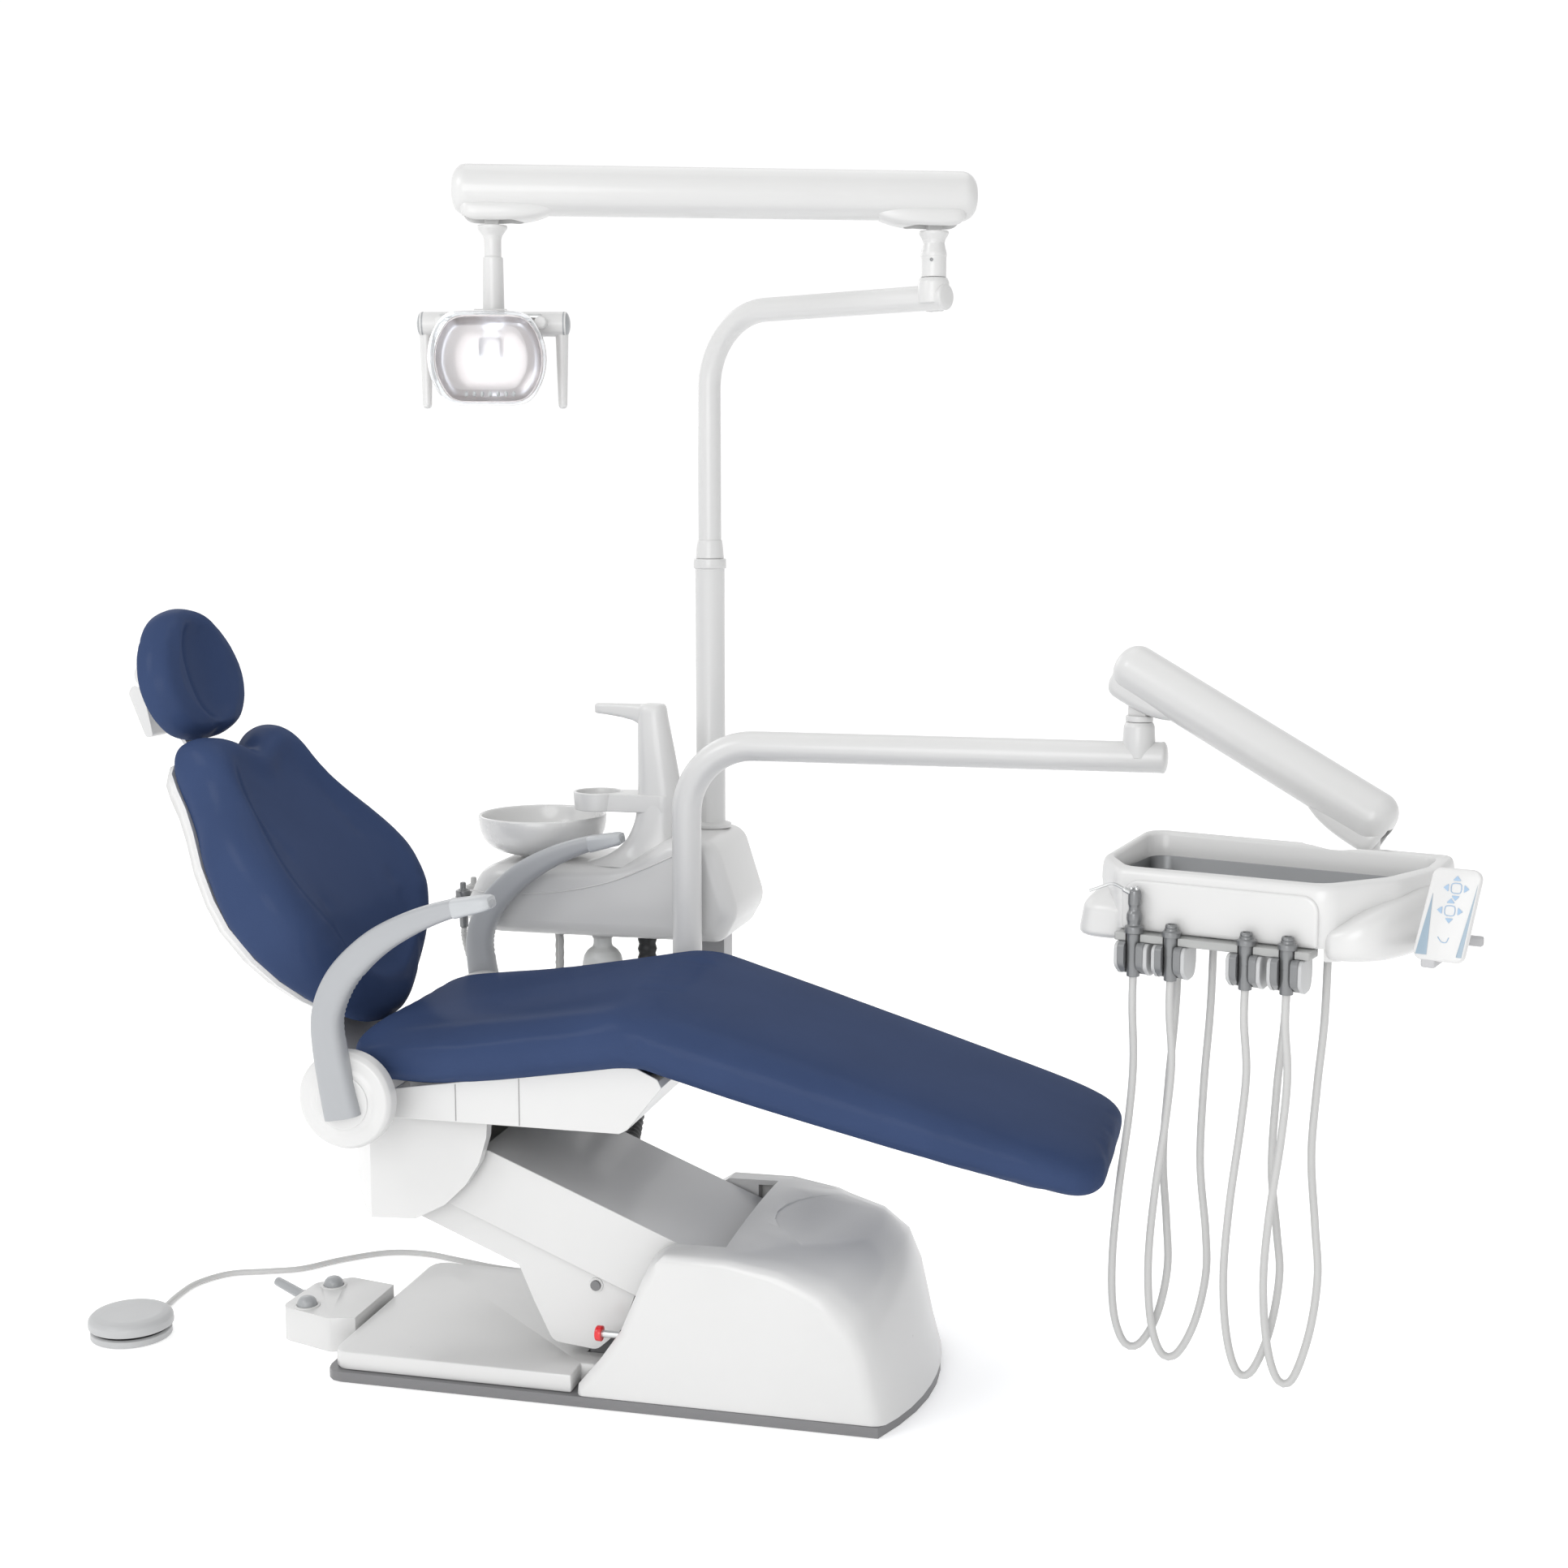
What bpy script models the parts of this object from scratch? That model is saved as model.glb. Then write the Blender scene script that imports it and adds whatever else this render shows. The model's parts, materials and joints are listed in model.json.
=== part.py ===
"""A dental chair with its delivery arm, water unit and operating light.

Metres, +Z up. The origin is on the floor at the middle of the base plate, +X runs towards the patient's
feet and +Y towards the water unit, so that Y = 0 is the middle of the chair.
"""

import math

import bmesh
import bpy
from mathutils import Matrix, Vector

GAP = 0.0003  # clearance that touching pieces keep

# Base
PLATE_X = (-0.515, 0.455)
PLATE_HALF = 0.235
PLATE_TOP = 0.018
END_BULGE = 0.055  # how far the foot end of the base swells past its corners
TRAY_TOP = 0.050
HOOD_HALF = 0.232
POCKET_HALF = 0.178  # half the slot that the lift arms work in

# Lift: two parallel links between the base and the pivot housing
LIFT_ANGLE = math.radians(22.0)
LINK = 0.380
UPPER_PIVOT = Vector((0.0722, 0.0, 0.2162))
LOWER_PIVOT = Vector((-0.048, 0.0, 0.183))
PIN = 0.009
UPPER_HALF, LOWER_HALF = 0.165, 0.154
WALL = 0.004

# Seat
SEAT_Z = 0.470
RECLINE = Vector((-0.434, 0.0, 0.505))
KNEE = (0.042, 0.599)
BEAM_X = (-0.065, 0.005)

# Backrest frame: s runs up the back, n out of its front
BACK_FOOT = Vector((-0.450, 0.0, 0.550))
BACK_TILT = math.radians(123.3)
BACK_PLANE = -0.0425  # n of the board that the cushion is fixed to
HEAD_CENTRE = Vector((-0.841, 0.0, 1.193))
HEAD_TILT = math.radians(105.3)
HEAD_HINGE = Vector((-0.917, 0.0, 1.190))

# Water unit and light
POST = Vector((-0.042, 0.550, 0.0))
POST_RADIUS = 0.0284
UNIT_FLOOR = 0.661
LAMP_ARM_Z = 1.850
LAMP_KNUCKLE = Vector((0.430, 0.327, 0.0))
LAMP_STEM = Vector((-0.290, 0.070, 0.0))
SPRING_Z = 2.023
TILT_Z = 1.996
LAMP_BAR_Z = 1.798
BOWL = Vector((-0.370, 0.490, 0.0))
COLUMN = Vector((-0.115, 0.450, 0.0))
BOTTLE = Vector((-0.235, 0.450, 0.0))

# Delivery arm and instrument tray
SWING = Vector((-0.027, 0.330, 0.0))
SWING_RADIUS = 0.0275
SWING_Z = 1.050
ELBOW = Vector((0.803, 0.330, 0.0))
ARM_A = Vector((0.803, 0.330, 1.199))
ARM_B = Vector((1.200, 0.170, 0.982))
TRAY_CORNER = Vector((0.791, -0.069, 0.0))
TRAY_TURN = math.radians(-17.0)
STATIONS = (0.050, 0.112, 0.233, 0.298)  # instruments along the tray's front, from its left corner
STATION_Y = -0.0155

FINISHES = {}


def material(name, colour, roughness, metallic=0.0, alpha=1.0):
    made = bpy.data.materials.new(name)
    made.use_nodes = True
    shader = made.node_tree.nodes["Principled BSDF"]
    shader.inputs["Base Color"].default_value = (*colour, 1.0)
    shader.inputs["Roughness"].default_value = roughness
    shader.inputs["Metallic"].default_value = metallic
    shader.inputs["Alpha"].default_value = alpha
    made.diffuse_color = (*colour, alpha)
    FINISHES[name] = made


def collection(name):
    made = bpy.data.collections.new(name)
    bpy.context.scene.collection.children.link(made)
    return made


def place(obj, finish):
    """Puts a finished object with the parts, or a tool (finish None) with the cutters."""
    if finish is None:
        CUTTERS.objects.link(obj)
        obj.hide_render = True
        obj.display_type = "WIRE"
        return obj
    PARTS.objects.link(obj)
    obj.data.materials.append(FINISHES[finish])
    if obj.type == "MESH":
        obj.data.shade_smooth()
        obj.data.set_sharp_from_angle(angle=math.radians(35))
    return obj


def from_bmesh(name, bm, finish, centre=Vector()):
    bmesh.ops.recalc_face_normals(bm, faces=bm.faces)
    mesh = bpy.data.meshes.new(name)
    bm.to_mesh(mesh)
    bm.free()
    obj = bpy.data.objects.new(name, mesh)
    obj.location = centre
    return place(obj, finish)


def bevelled(obj, width, segments=2):
    if width > 0.0:
        bevel = obj.modifiers.new("rounding", "BEVEL")
        bevel.width = width
        bevel.segments = segments
        bevel.limit_method = "ANGLE"
        bevel.angle_limit = math.radians(40)
    return obj


def box(name, low, high, finish=None, bevel=0.0):
    low, high = Vector(low), Vector(high)
    bm = bmesh.new()
    bmesh.ops.create_cube(bm, size=1.0)
    bmesh.ops.scale(bm, vec=high - low, verts=bm.verts)
    return bevelled(from_bmesh(name, bm, finish, (low + high) / 2), bevel)


def ball(name, centre, radii, finish=None, segments=12):
    bm = bmesh.new()
    bmesh.ops.create_uvsphere(bm, u_segments=segments, v_segments=segments // 2, radius=1.0)
    bmesh.ops.scale(bm, vec=Vector(radii), verts=bm.verts)
    return from_bmesh(name, bm, finish, Vector(centre))


def rod(name, start, end, radius, finish=None, sides=16, end_radius=None):
    start, end = Vector(start), Vector(end)
    run = end - start
    bm = bmesh.new()
    bmesh.ops.create_cone(bm, cap_ends=True, segments=sides, radius1=radius,
                          radius2=radius if end_radius is None else end_radius, depth=run.length)
    bmesh.ops.rotate(bm, verts=bm.verts, matrix=Vector((0, 0, 1)).rotation_difference(run).to_matrix())
    return from_bmesh(name, bm, finish, (start + end) / 2)


def turned(name, profile, centre, finish=None, steps=24, upright=True):
    """A turned shape: profile holds (radius, height) from its top to its bottom."""
    mesh = bpy.data.meshes.new(name)
    points = [(radius, 0.0, height) for radius, height in profile]
    mesh.from_pydata(points, [(i, i + 1) for i in range(len(points) - 1)], [])
    obj = bpy.data.objects.new(name, mesh)
    obj.location = centre
    screw = obj.modifiers.new("turning", "SCREW")
    screw.steps = screw.render_steps = steps
    screw.use_merge_vertices = True
    screw.merge_threshold = 0.00005
    return place(obj, finish)


def as_mesh(curve, finish):
    """The mesh of a curve, its caps welded, in place of the curve."""
    bpy.context.scene.collection.objects.link(curve)
    bpy.context.view_layer.update()
    graph = bpy.context.evaluated_depsgraph_get()
    mesh = bpy.data.meshes.new_from_object(curve.evaluated_get(graph))
    mesh.transform(curve.matrix_world)
    name = curve.name
    bpy.data.objects.remove(curve, do_unlink=True)
    bm = bmesh.new()
    bm.from_mesh(mesh)
    bmesh.ops.remove_doubles(bm, verts=bm.verts, dist=0.000002)
    bpy.data.meshes.remove(mesh)
    return from_bmesh(name, bm, finish)


def slab(name, outline, low, high, finish=None, upright=True, bevel=0.0):
    """A flat outline with thickness: (x, z) between two Y values, or (x, y) between two Z values."""
    data = bpy.data.curves.new(name, "CURVE")
    data.dimensions = "2D"
    data.fill_mode = "BOTH"
    data.extrude = (high - low) / 2
    spline = data.splines.new("POLY")
    spline.points.add(len(outline) - 1)
    for point, (x, y) in zip(spline.points, outline):
        point.co = (x, y, 0.0, 1.0)
    spline.use_cyclic_u = True
    curve = bpy.data.objects.new(name, data)
    middle = (low + high) / 2
    if upright:
        curve.rotation_euler = (math.pi / 2, 0.0, 0.0)
        curve.location = (0.0, middle, 0.0)
    else:
        curve.location = (0.0, 0.0, middle)
    return bevelled(as_mesh(curve, finish), bevel)


def tube(name, points, radius, finish=None, sides=8, solid=False):
    data = bpy.data.curves.new(name, "CURVE")
    data.dimensions = "3D"
    data.bevel_depth = radius
    data.bevel_resolution = sides // 2 - 2
    data.use_fill_caps = True
    spline = data.splines.new("POLY")
    spline.points.add(len(points) - 1)
    for point, place_at in zip(spline.points, points):
        point.co = (*place_at, 1.0)
    curve = bpy.data.objects.new(name, data)
    return as_mesh(curve, finish) if solid or finish is None else place(curve, finish)


def loft(name, rings, finish=None):
    """A closed skin over rings with equal numbers of points, capped at both ends."""
    bm = bmesh.new()
    rows = [[bm.verts.new(point) for point in ring] for ring in rings]
    for near, far in zip(rows, rows[1:]):
        for i in range(len(near)):
            j = (i + 1) % len(near)
            bm.faces.new((near[i], near[j], far[j], far[i]))
    bm.faces.new(rows[0])
    bm.faces.new(rows[-1])
    return from_bmesh(name, bm, finish)


def boolean(obj, operation, tools):
    for tool in tools:
        modifier = obj.modifiers.new(operation.lower(), "BOOLEAN")
        modifier.operation = operation
        modifier.object = tool
    return obj


def bore(name, start, end, radius, sides=16):
    """A cutter whose flats clear a round of this radius."""
    return rod(name, start, end, radius / math.cos(math.pi / sides), sides=sides)


def cut(obj, *tools):
    return boolean(obj, "DIFFERENCE", tools)


def join(obj, *tools):
    return boolean(obj, "UNION", tools)


def moved(obj, matrix):
    obj.matrix_world = matrix @ obj.matrix_basis
    return obj


def on_axis(name, location, *objects):
    """Hangs pieces from an empty that marks their joint."""
    empty = bpy.data.objects.new(name, None)
    empty.location = location
    PARTS.objects.link(empty)
    bpy.context.view_layer.update()
    for obj in objects:
        obj.parent = empty
        obj.matrix_parent_inverse = empty.matrix_world.inverted()


def rounded(corners, steps=3):
    """An outline whose corners (x, y, radius) become arcs of that radius."""
    outline = []
    count = len(corners)
    for i, corner in enumerate(corners):
        here = Vector(corner[:2])
        radius = corner[2] if len(corner) > 2 else 0.0
        if radius <= 0.0:
            outline.append(tuple(here))
            continue
        back = (Vector(corners[i - 1][:2]) - here).normalized()
        ahead = (Vector(corners[(i + 1) % count][:2]) - here).normalized()
        half = back.angle(ahead) / 2
        centre = here + (back + ahead).normalized() * (radius / math.sin(half))
        start = here + back * (radius / math.tan(half)) - centre
        sweep = start.angle_signed(here + ahead * (radius / math.tan(half)) - centre)
        for k in range(steps + 1):
            arm = start.copy()
            arm.rotate(Matrix.Rotation(-sweep * k / steps, 2))
            outline.append(tuple(centre + arm))
    return outline


def bent(corners, radius, steps=6):
    """A pipe's centre line: straight runs joined by arcs."""
    line = [Vector(corners[0])]
    for before, here, after in zip(corners, corners[1:], corners[2:]):
        here = Vector(here)
        back = (Vector(before) - here).normalized()
        ahead = (Vector(after) - here).normalized()
        half = back.angle(ahead) / 2
        centre = here + (back + ahead).normalized() * (radius / math.sin(half))
        start = here + back * (radius / math.tan(half)) - centre
        end = here + ahead * (radius / math.tan(half)) - centre
        turn, axis = start.angle(end), start.cross(end).normalized()
        for k in range(steps + 1):
            line.append(centre + Matrix.Rotation(turn * k / steps, 3, axis) @ start)
    line.append(Vector(corners[-1]))
    return line


def flowing(points, spacing):
    """Evenly spaced points on a smooth curve through the given ones."""
    given = [Vector(point) for point in points]
    ends = [2 * given[0] - given[1]] + given + [2 * given[-1] - given[-2]]
    fine = []
    for a, b, c, d in zip(ends, ends[1:], ends[2:], ends[3:]):
        for k in range(16):
            t = k / 16
            fine.append(0.5 * (2 * b + (c - a) * t + (2 * a - 5 * b + 4 * c - d) * t * t
                               + (3 * b - a - 3 * c + d) * t ** 3))
    fine.append(given[-1])
    total = sum((q - p).length for p, q in zip(fine, fine[1:]))
    count = max(4, round(total / spacing))
    line, walked = [fine[0]], 0.0
    for p, q in zip(fine, fine[1:]):
        walked += (q - p).length
        if walked >= total * len(line) / count and len(line) < count:
            line.append(q)
    return line + [fine[-1]]


def oval(count, half_width, half_height, power):
    """A rounded rectangle's outline, squarer as power grows."""
    ring = []
    for k in range(count):
        angle = 2 * math.pi * (k + 0.5) / count
        c, s = math.cos(angle), math.sin(angle)
        ring.append((half_width * math.copysign(abs(c) ** (2 / power), c),
                     half_height * math.copysign(abs(s) ** (2 / power), s)))
    return ring


def mirrored(half):
    """A closed outline from its half at y >= 0, whose first and last points are on the middle line."""
    return list(half) + [(s, -y) for s, y in reversed(half[1:-1])]


def pillow(name, outline, layers, to_world, finish):
    """Rings of one outline, each shrunk towards the outline's middle and raised: (scale, n)."""
    middle = sum(s for s, _ in outline) / len(outline)
    rings = []
    for scale, height in layers:
        rings.append([to_world(middle + (s - middle) * scale, y * scale, height(s, y) if callable(height) else height)
                      for s, y in outline])
    return loft(name, rings, finish)


def link_point(pivot, along, above):
    """(x, z) at a place on a lift link: along it towards the seat, and above its line."""
    c, s = math.cos(LIFT_ANGLE), math.sin(LIFT_ANGLE)
    return (pivot.x - along * c + above * s, pivot.z + along * s + above * c)


def link_outline(pivot, corners):
    return rounded([(*link_point(pivot, u, w), *rest) for u, w, *rest in corners])


def back_point(s, y, n):
    c, d = math.cos(BACK_TILT), math.sin(BACK_TILT)
    return BACK_FOOT + Vector((s * c + n * d, y, s * d - n * c))


def head_point(s, y, n):
    c, d = math.cos(HEAD_TILT), math.sin(HEAD_TILT)
    return HEAD_CENTRE + Vector((s * c + n * d, y, s * d - n * c))


def tray_point(x, y, z):
    return TRAY_CORNER + Matrix.Rotation(TRAY_TURN, 3, "Z") @ Vector((x, y, 0.0)) + Vector((0, 0, z))


def in_tray(obj):
    """Moves an object modelled in the tray's own frame to its place."""
    return moved(obj, Matrix.Translation(TRAY_CORNER) @ Matrix.Rotation(TRAY_TURN, 4, "Z"))


def swell(y, half):
    return max(0.0, 1.0 - (y / half) ** 2)


def end_arc(x, half, bulge, steps=8):
    """The curved foot end of an outline, from -half to +half."""
    return [(x + bulge * swell(y, half), y)
            for y in (half * (2 * k / steps - 1) for k in range(steps + 1))]


def two_sided(maker, near, far):
    """A tool and its mirror image across the middle of the chair."""
    return [maker(near, far), maker(-far, -near)]


# --------------------------------------------------------------------------------------------- base

def base_plate():
    outline = rounded([(PLATE_X[0], PLATE_HALF, 0.03), (PLATE_X[0], -PLATE_HALF, 0.03)]
                      + end_arc(PLATE_X[1], PLATE_HALF, END_BULGE))
    plate = slab("base_plate", outline, 0.0, PLATE_TOP, "plinth_grey", upright=False)
    ears = two_sided(lambda a, b: box("ear", (LOWER_PIVOT.x - 0.024, a, 0.010),
                                      (LOWER_PIVOT.x + 0.024, b, LOWER_PIVOT.z + 0.022)), 0.095, 0.120)
    pin = rod("lower_pin", LOWER_PIVOT - Vector((0, 0.160, 0)), LOWER_PIVOT + Vector((0, 0.160, 0)), PIN)
    return join(plate, *ears, pin)


def base_tray():
    outline = rounded([(-0.505, 0.225, 0.03), (-0.505, -0.225, 0.03), (-0.070, -0.225), (-0.070, -0.174),
                       (0.170, -0.174), (0.170, 0.174), (-0.070, 0.174), (-0.070, 0.225)])
    tray = slab("base_tray", outline, PLATE_TOP + GAP, TRAY_TOP, "warm_white", upright=False, bevel=0.006)
    hollow = box("tray_hollow", (-0.495, -0.168, 0.0), (0.160, 0.168, TRAY_TOP - WALL))
    slots = two_sided(lambda a, b: box("tray_slot", (LOWER_PIVOT.x - 0.028, a, 0.0),
                                       (LOWER_PIVOT.x + 0.028, b, 0.1)), 0.091, 0.124)
    return cut(tray, hollow, *slots)


HOOD_SIDE = ((-0.060, 0.0183), (-0.058, 0.035), (-0.022, 0.078), (0.017, 0.134), (0.053, 0.221),
             (0.071, 0.258), (0.095, 0.273), (0.206, 0.273), (0.287, 0.255), (0.355, 0.221),
             (0.402, 0.178), (0.424, 0.132), (0.443, 0.052), (0.456, 0.0183))
HOOD_MIDDLE = ((-0.060, 0.0183), (-0.058, 0.035), (-0.022, 0.078), (0.017, 0.134), (0.053, 0.221),
               (0.071, 0.262), (0.095, 0.279), (0.206, 0.284), (0.320, 0.285), (0.405, 0.277),
               (0.450, 0.245), (0.472, 0.190), (0.495, 0.080), (0.510, 0.0183))


def hood_ring(y, inset=0.0):
    """The hood's outline at one Y, moved inwards by inset."""
    blend = swell(y, HOOD_HALF) ** 0.8
    ring = []
    for (x0, z0), (x1, z1) in zip(HOOD_SIDE, HOOD_MIDDLE):
        x, z = x0 + (x1 - x0) * blend, z0 + (z1 - z0) * blend
        x += inset * (1 if x < 0.09 else -1)
        ring.append(Vector((x, y, max(z - inset, PLATE_TOP + GAP))))
    return ring


def base_hood():
    stations = [(HOOD_HALF, 0.012), (HOOD_HALF - 0.003, 0.005), (HOOD_HALF - 0.012, 0.0),
                (0.19, 0.0), (0.145, 0.0), (0.095, 0.0), (0.045, 0.0)]
    rings = [hood_ring(-y, i) for y, i in stations] + [hood_ring(0.0)]
    rings += [hood_ring(y, i) for y, i in reversed(stations)]
    hood = loft("base_hood", rings, "warm_white")
    pocket = box("pocket", (-0.20, -POCKET_HALF, -0.1), (0.187, POCKET_HALF, 0.40))
    cavity = [hood_ring(y, 0.008) for y in (-0.205, -0.14, -0.07, 0.0, 0.07, 0.14, 0.205)]
    for ring in cavity:
        for point in ring:
            point.x = max(point.x, 0.150)
            if point.z < 0.03:
                point.z = -0.05
    inside = loft("hood_cavity", cavity)
    scoop = turned("scoop", [(0.0, 0.05), (0.155, 0.05), (0.145, 0.0), (0.0, 0.0)], (0.375, 0.0, 0.274))
    scoop.rotation_euler = (0.0, math.radians(3), 0.0)
    bores = two_sided(lambda a, b: rod("hood_bore", (UPPER_PIVOT.x, a, UPPER_PIVOT.z),
                                       (UPPER_PIVOT.x, b, UPPER_PIVOT.z), PIN + GAP), 0.15, 0.192)
    stop = rod("stop_bore", (0.0300, -0.21, 0.122), (-0.0905, -0.21, 0.122), 0.0075, sides=12)
    return cut(hood, pocket, inside, scoop, *bores, stop)


def stop_button():
    base = Vector((-0.032, -0.21, 0.122))
    button = rod("stop_button", base, base + Vector((0.012, 0, 0)), 0.013, "stop_red", sides=16)
    return join(button, rod("stop_stem", base + Vector((0.006, 0, 0)), base + Vector((0.056, 0, 0)), 0.006,
                            sides=12))


def foot_control():
    outline = rounded([(-0.668, -0.085, 0.02), (-0.560, -0.120, 0.02), (-0.516, -0.105), (-0.516, 0.060),
                       (-0.606, 0.078, 0.02), (-0.660, 0.036, 0.02)])
    pod = slab("foot_control", outline, 0.0, 0.062, "warm_white", upright=False, bevel=0.010)
    wells = [rod("button_well", (x, y, 0.040), (x, y, 0.08), 0.0185, sides=16) for x, y in FOOT_BUTTONS]
    socket = rod("stick_well", (-0.612, -0.022, 0.038), (-0.68, 0.004, 0.052), 0.0140, sides=12)
    return cut(pod, *wells, socket)


FOOT_BUTTONS = ((-0.625, -0.072), (-0.622, 0.030))


def foot_button(name, centre):
    x, y = centre
    return turned(name, [(0.0, 0.080), (0.010, 0.078), (0.0165, 0.070), (0.018, 0.064), (0.018, 0.046),
                         (0.0, 0.046)], (x, y, 0.0), "button_grey", steps=16)


def foot_joystick():
    start, end = Vector((-0.620, -0.019, 0.0396)), Vector((-0.735, 0.025, 0.0630))
    stick = rod("foot_joystick", start, end, 0.0095, "button_grey", sides=12, end_radius=0.0085)
    return join(stick, rod("stick_collar", start.lerp(end, 0.30), start.lerp(end, 0.42), 0.0105, sides=12))


PEDAL = Vector((-0.945, -0.130, 0.0))


def pedal_base():
    return turned("pedal_base", [(0.0, 0.014), (0.069, 0.014), (0.072, 0.010), (0.072, 0.0), (0.0, 0.0)],
                  PEDAL, "button_grey", steps=32)


def pedal_disc():
    disc = turned("pedal_disc", [(0.0, 0.046), (0.060, 0.045), (0.072, 0.040), (0.0755, 0.032), (0.0755, 0.0195),
                                 (0.0, 0.0195)], PEDAL, "button_grey", steps=32)
    return disc


PEDAL_CORD = ((-0.9435, -0.0565, 0.0070), (-0.945, -0.020, 0.0058), (-0.953, 0.050, 0.0055),
              (-0.950, 0.115, 0.0055), (-0.915, 0.175, 0.0055), (-0.850, 0.205, 0.0055),
              (-0.790, 0.235, 0.0055), (-0.735, 0.300, 0.0055), (-0.665, 0.357, 0.0055),
              (-0.590, 0.370, 0.0055), (-0.510, 0.352, 0.0055), (-0.420, 0.330, 0.0055),
              (-0.320, 0.322, 0.0055), (-0.220, 0.325, 0.0055), (-0.130, 0.310, 0.0060),
              (-0.065, 0.295, 0.0100), (-0.026, 0.276, 0.0250), (-0.015, 0.252, 0.0360), (-0.015, 0.2326, 0.0370))


def pedal_cord():
    return tube("pedal_cord", flowing(PEDAL_CORD, 0.022), 0.0054, "hose_grey")


# --------------------------------------------------------------------------------------------- lift

def stubs(pivot, inner):
    return two_sided(lambda a, b: rod("stub", (pivot[0], a, pivot[1]), (pivot[0], b, pivot[1]), PIN),
                     inner - 0.003, 0.190)


def lift_arm_upper():
    outer = link_outline(UPPER_PIVOT, [(-0.102, 0.0625, 0.02), (0.405, 0.0625, 0.05), (0.405, -0.057, 0.02),
                                       (-0.102, -0.057)])
    inner = link_outline(UPPER_PIVOT, [(-0.13, 0.0585), (0.47, 0.0585), (0.47, -0.09), (-0.13, -0.09)])
    arm = slab("lift_arm_upper", outer, -UPPER_HALF, UPPER_HALF, "warm_white")
    hollow = slab("upper_hollow", inner, WALL - UPPER_HALF, UPPER_HALF - WALL)
    return join(cut(arm, hollow), *stubs((UPPER_PIVOT.x, UPPER_PIVOT.z), UPPER_HALF),
                *stubs(link_point(UPPER_PIVOT, LINK, 0.0), UPPER_HALF))


def lift_arm_lower():
    outer = link_outline(LOWER_PIVOT, [(-0.035, 0.088, 0.01), (0.405, 0.090, 0.01), (0.412, -0.030, 0.025),
                                       (0.137, -0.030), (0.0896, -0.077, 0.02), (0.033, -0.128, 0.02),
                                       (-0.043, -0.106, 0.02), (-0.070, -0.050, 0.02), (-0.068, 0.017, 0.02)])
    inner = link_outline(LOWER_PIVOT, [(-0.038, 0.130), (0.401, 0.130), (0.408, -0.026, 0.021), (0.135, -0.026),
                                       (0.085, -0.074, 0.018), (0.031, -0.123, 0.018), (-0.040, -0.102, 0.018),
                                       (-0.066, -0.049, 0.018), (-0.064, 0.017)])
    arm = slab("lift_arm_lower", outer, -LOWER_HALF, LOWER_HALF, "warm_white")
    hollow = slab("lower_hollow", inner, WALL - LOWER_HALF, LOWER_HALF - WALL)
    slots = two_sided(lambda a, b: box("ear_slot", (-0.16, a, 0.0), (0.05, b, 0.150)), 0.088, 0.127)
    bore = rod("lower_bore", LOWER_PIVOT - Vector((0, 0.2, 0)), LOWER_PIVOT + Vector((0, 0.2, 0)), PIN + GAP)
    return join(cut(arm, hollow, *slots, bore), *stubs(link_point(LOWER_PIVOT, LINK, 0.0), LOWER_HALF))


def pivot_housing():
    outline = rounded([(-0.500, SEAT_Z - GAP), (-0.500, 0.312, 0.02), (-0.462, 0.284, 0.02), (-0.354, 0.289, 0.02),
                       (-0.300, 0.318), (-0.262, 0.355), (-0.237, 0.395), (-0.223, 0.440), (-0.221, SEAT_Z - GAP)])
    housing = slab("pivot_housing", outline, -0.200, 0.200, "warm_white")
    hollow = box("housing_hollow", (-0.425, -POCKET_HALF, 0.20), (0.10, POCKET_HALF, 0.455))
    rear = box("housing_rear", (-0.455, -0.158, 0.19), (0.0, 0.158, 0.450))
    corners = [slab("corner", [(-0.530, side * 0.0693), (-0.400, side * 0.2466), (-0.530, side * 0.2466)], 0.20, 0.60,
                    upright=False) for side in (-1, 1)]
    bores = []
    for pivot in (UPPER_PIVOT, LOWER_PIVOT):
        x, z = link_point(pivot, LINK, 0.0)
        bores += two_sided(lambda a, b: rod("housing_bore", (x, a, z), (x, b, z), PIN + GAP), 0.15, 0.192)
    return cut(housing, hollow, rear, *corners, *bores)


# --------------------------------------------------------------------------------------------- seat

def seat_frame():
    knee_x, knee_z = KNEE
    plate = slab("seat_frame", [(-0.372, 0.5315), (knee_x, knee_z - 0.0012), (0.705, 0.4430), (0.705, 0.4370),
                                (knee_x + 0.001, knee_z - 0.0072), (-0.372, 0.5255)], -0.195, 0.195, "frame_grey")
    rail = [(-0.372, SEAT_Z), (-0.020, SEAT_Z), (0.015, 0.590), (-0.372, 0.5285), (-0.404, 0.5215),
            (-0.452, 0.5215), (-0.452, 0.487)]
    rails = two_sided(lambda a, b: slab("rail", rail, a, b), 0.135, 0.165)
    shaft = rod("shaft", RECLINE - Vector((0, 0.300, 0)), RECLINE + Vector((0, 0.300, 0)), PIN)
    beam = box("beam", (BEAM_X[0], -0.150, 0.478), (BEAM_X[1], 0.580, 0.512))
    upright = box("upright", (-0.078, 0.520, 0.480), (-0.008, 0.580, UNIT_FLOOR - GAP))
    socket = rod("socket", (SWING.x, SWING.y, 0.500), (SWING.x, SWING.y, 0.600), 0.036, sides=20)
    well = bore("socket_well", (SWING.x, SWING.y, 0.530), (SWING.x, SWING.y, 0.65), SWING_RADIUS + GAP, 20)
    return cut(join(plate, *rails, shaft, beam, upright, socket), well)


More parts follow.
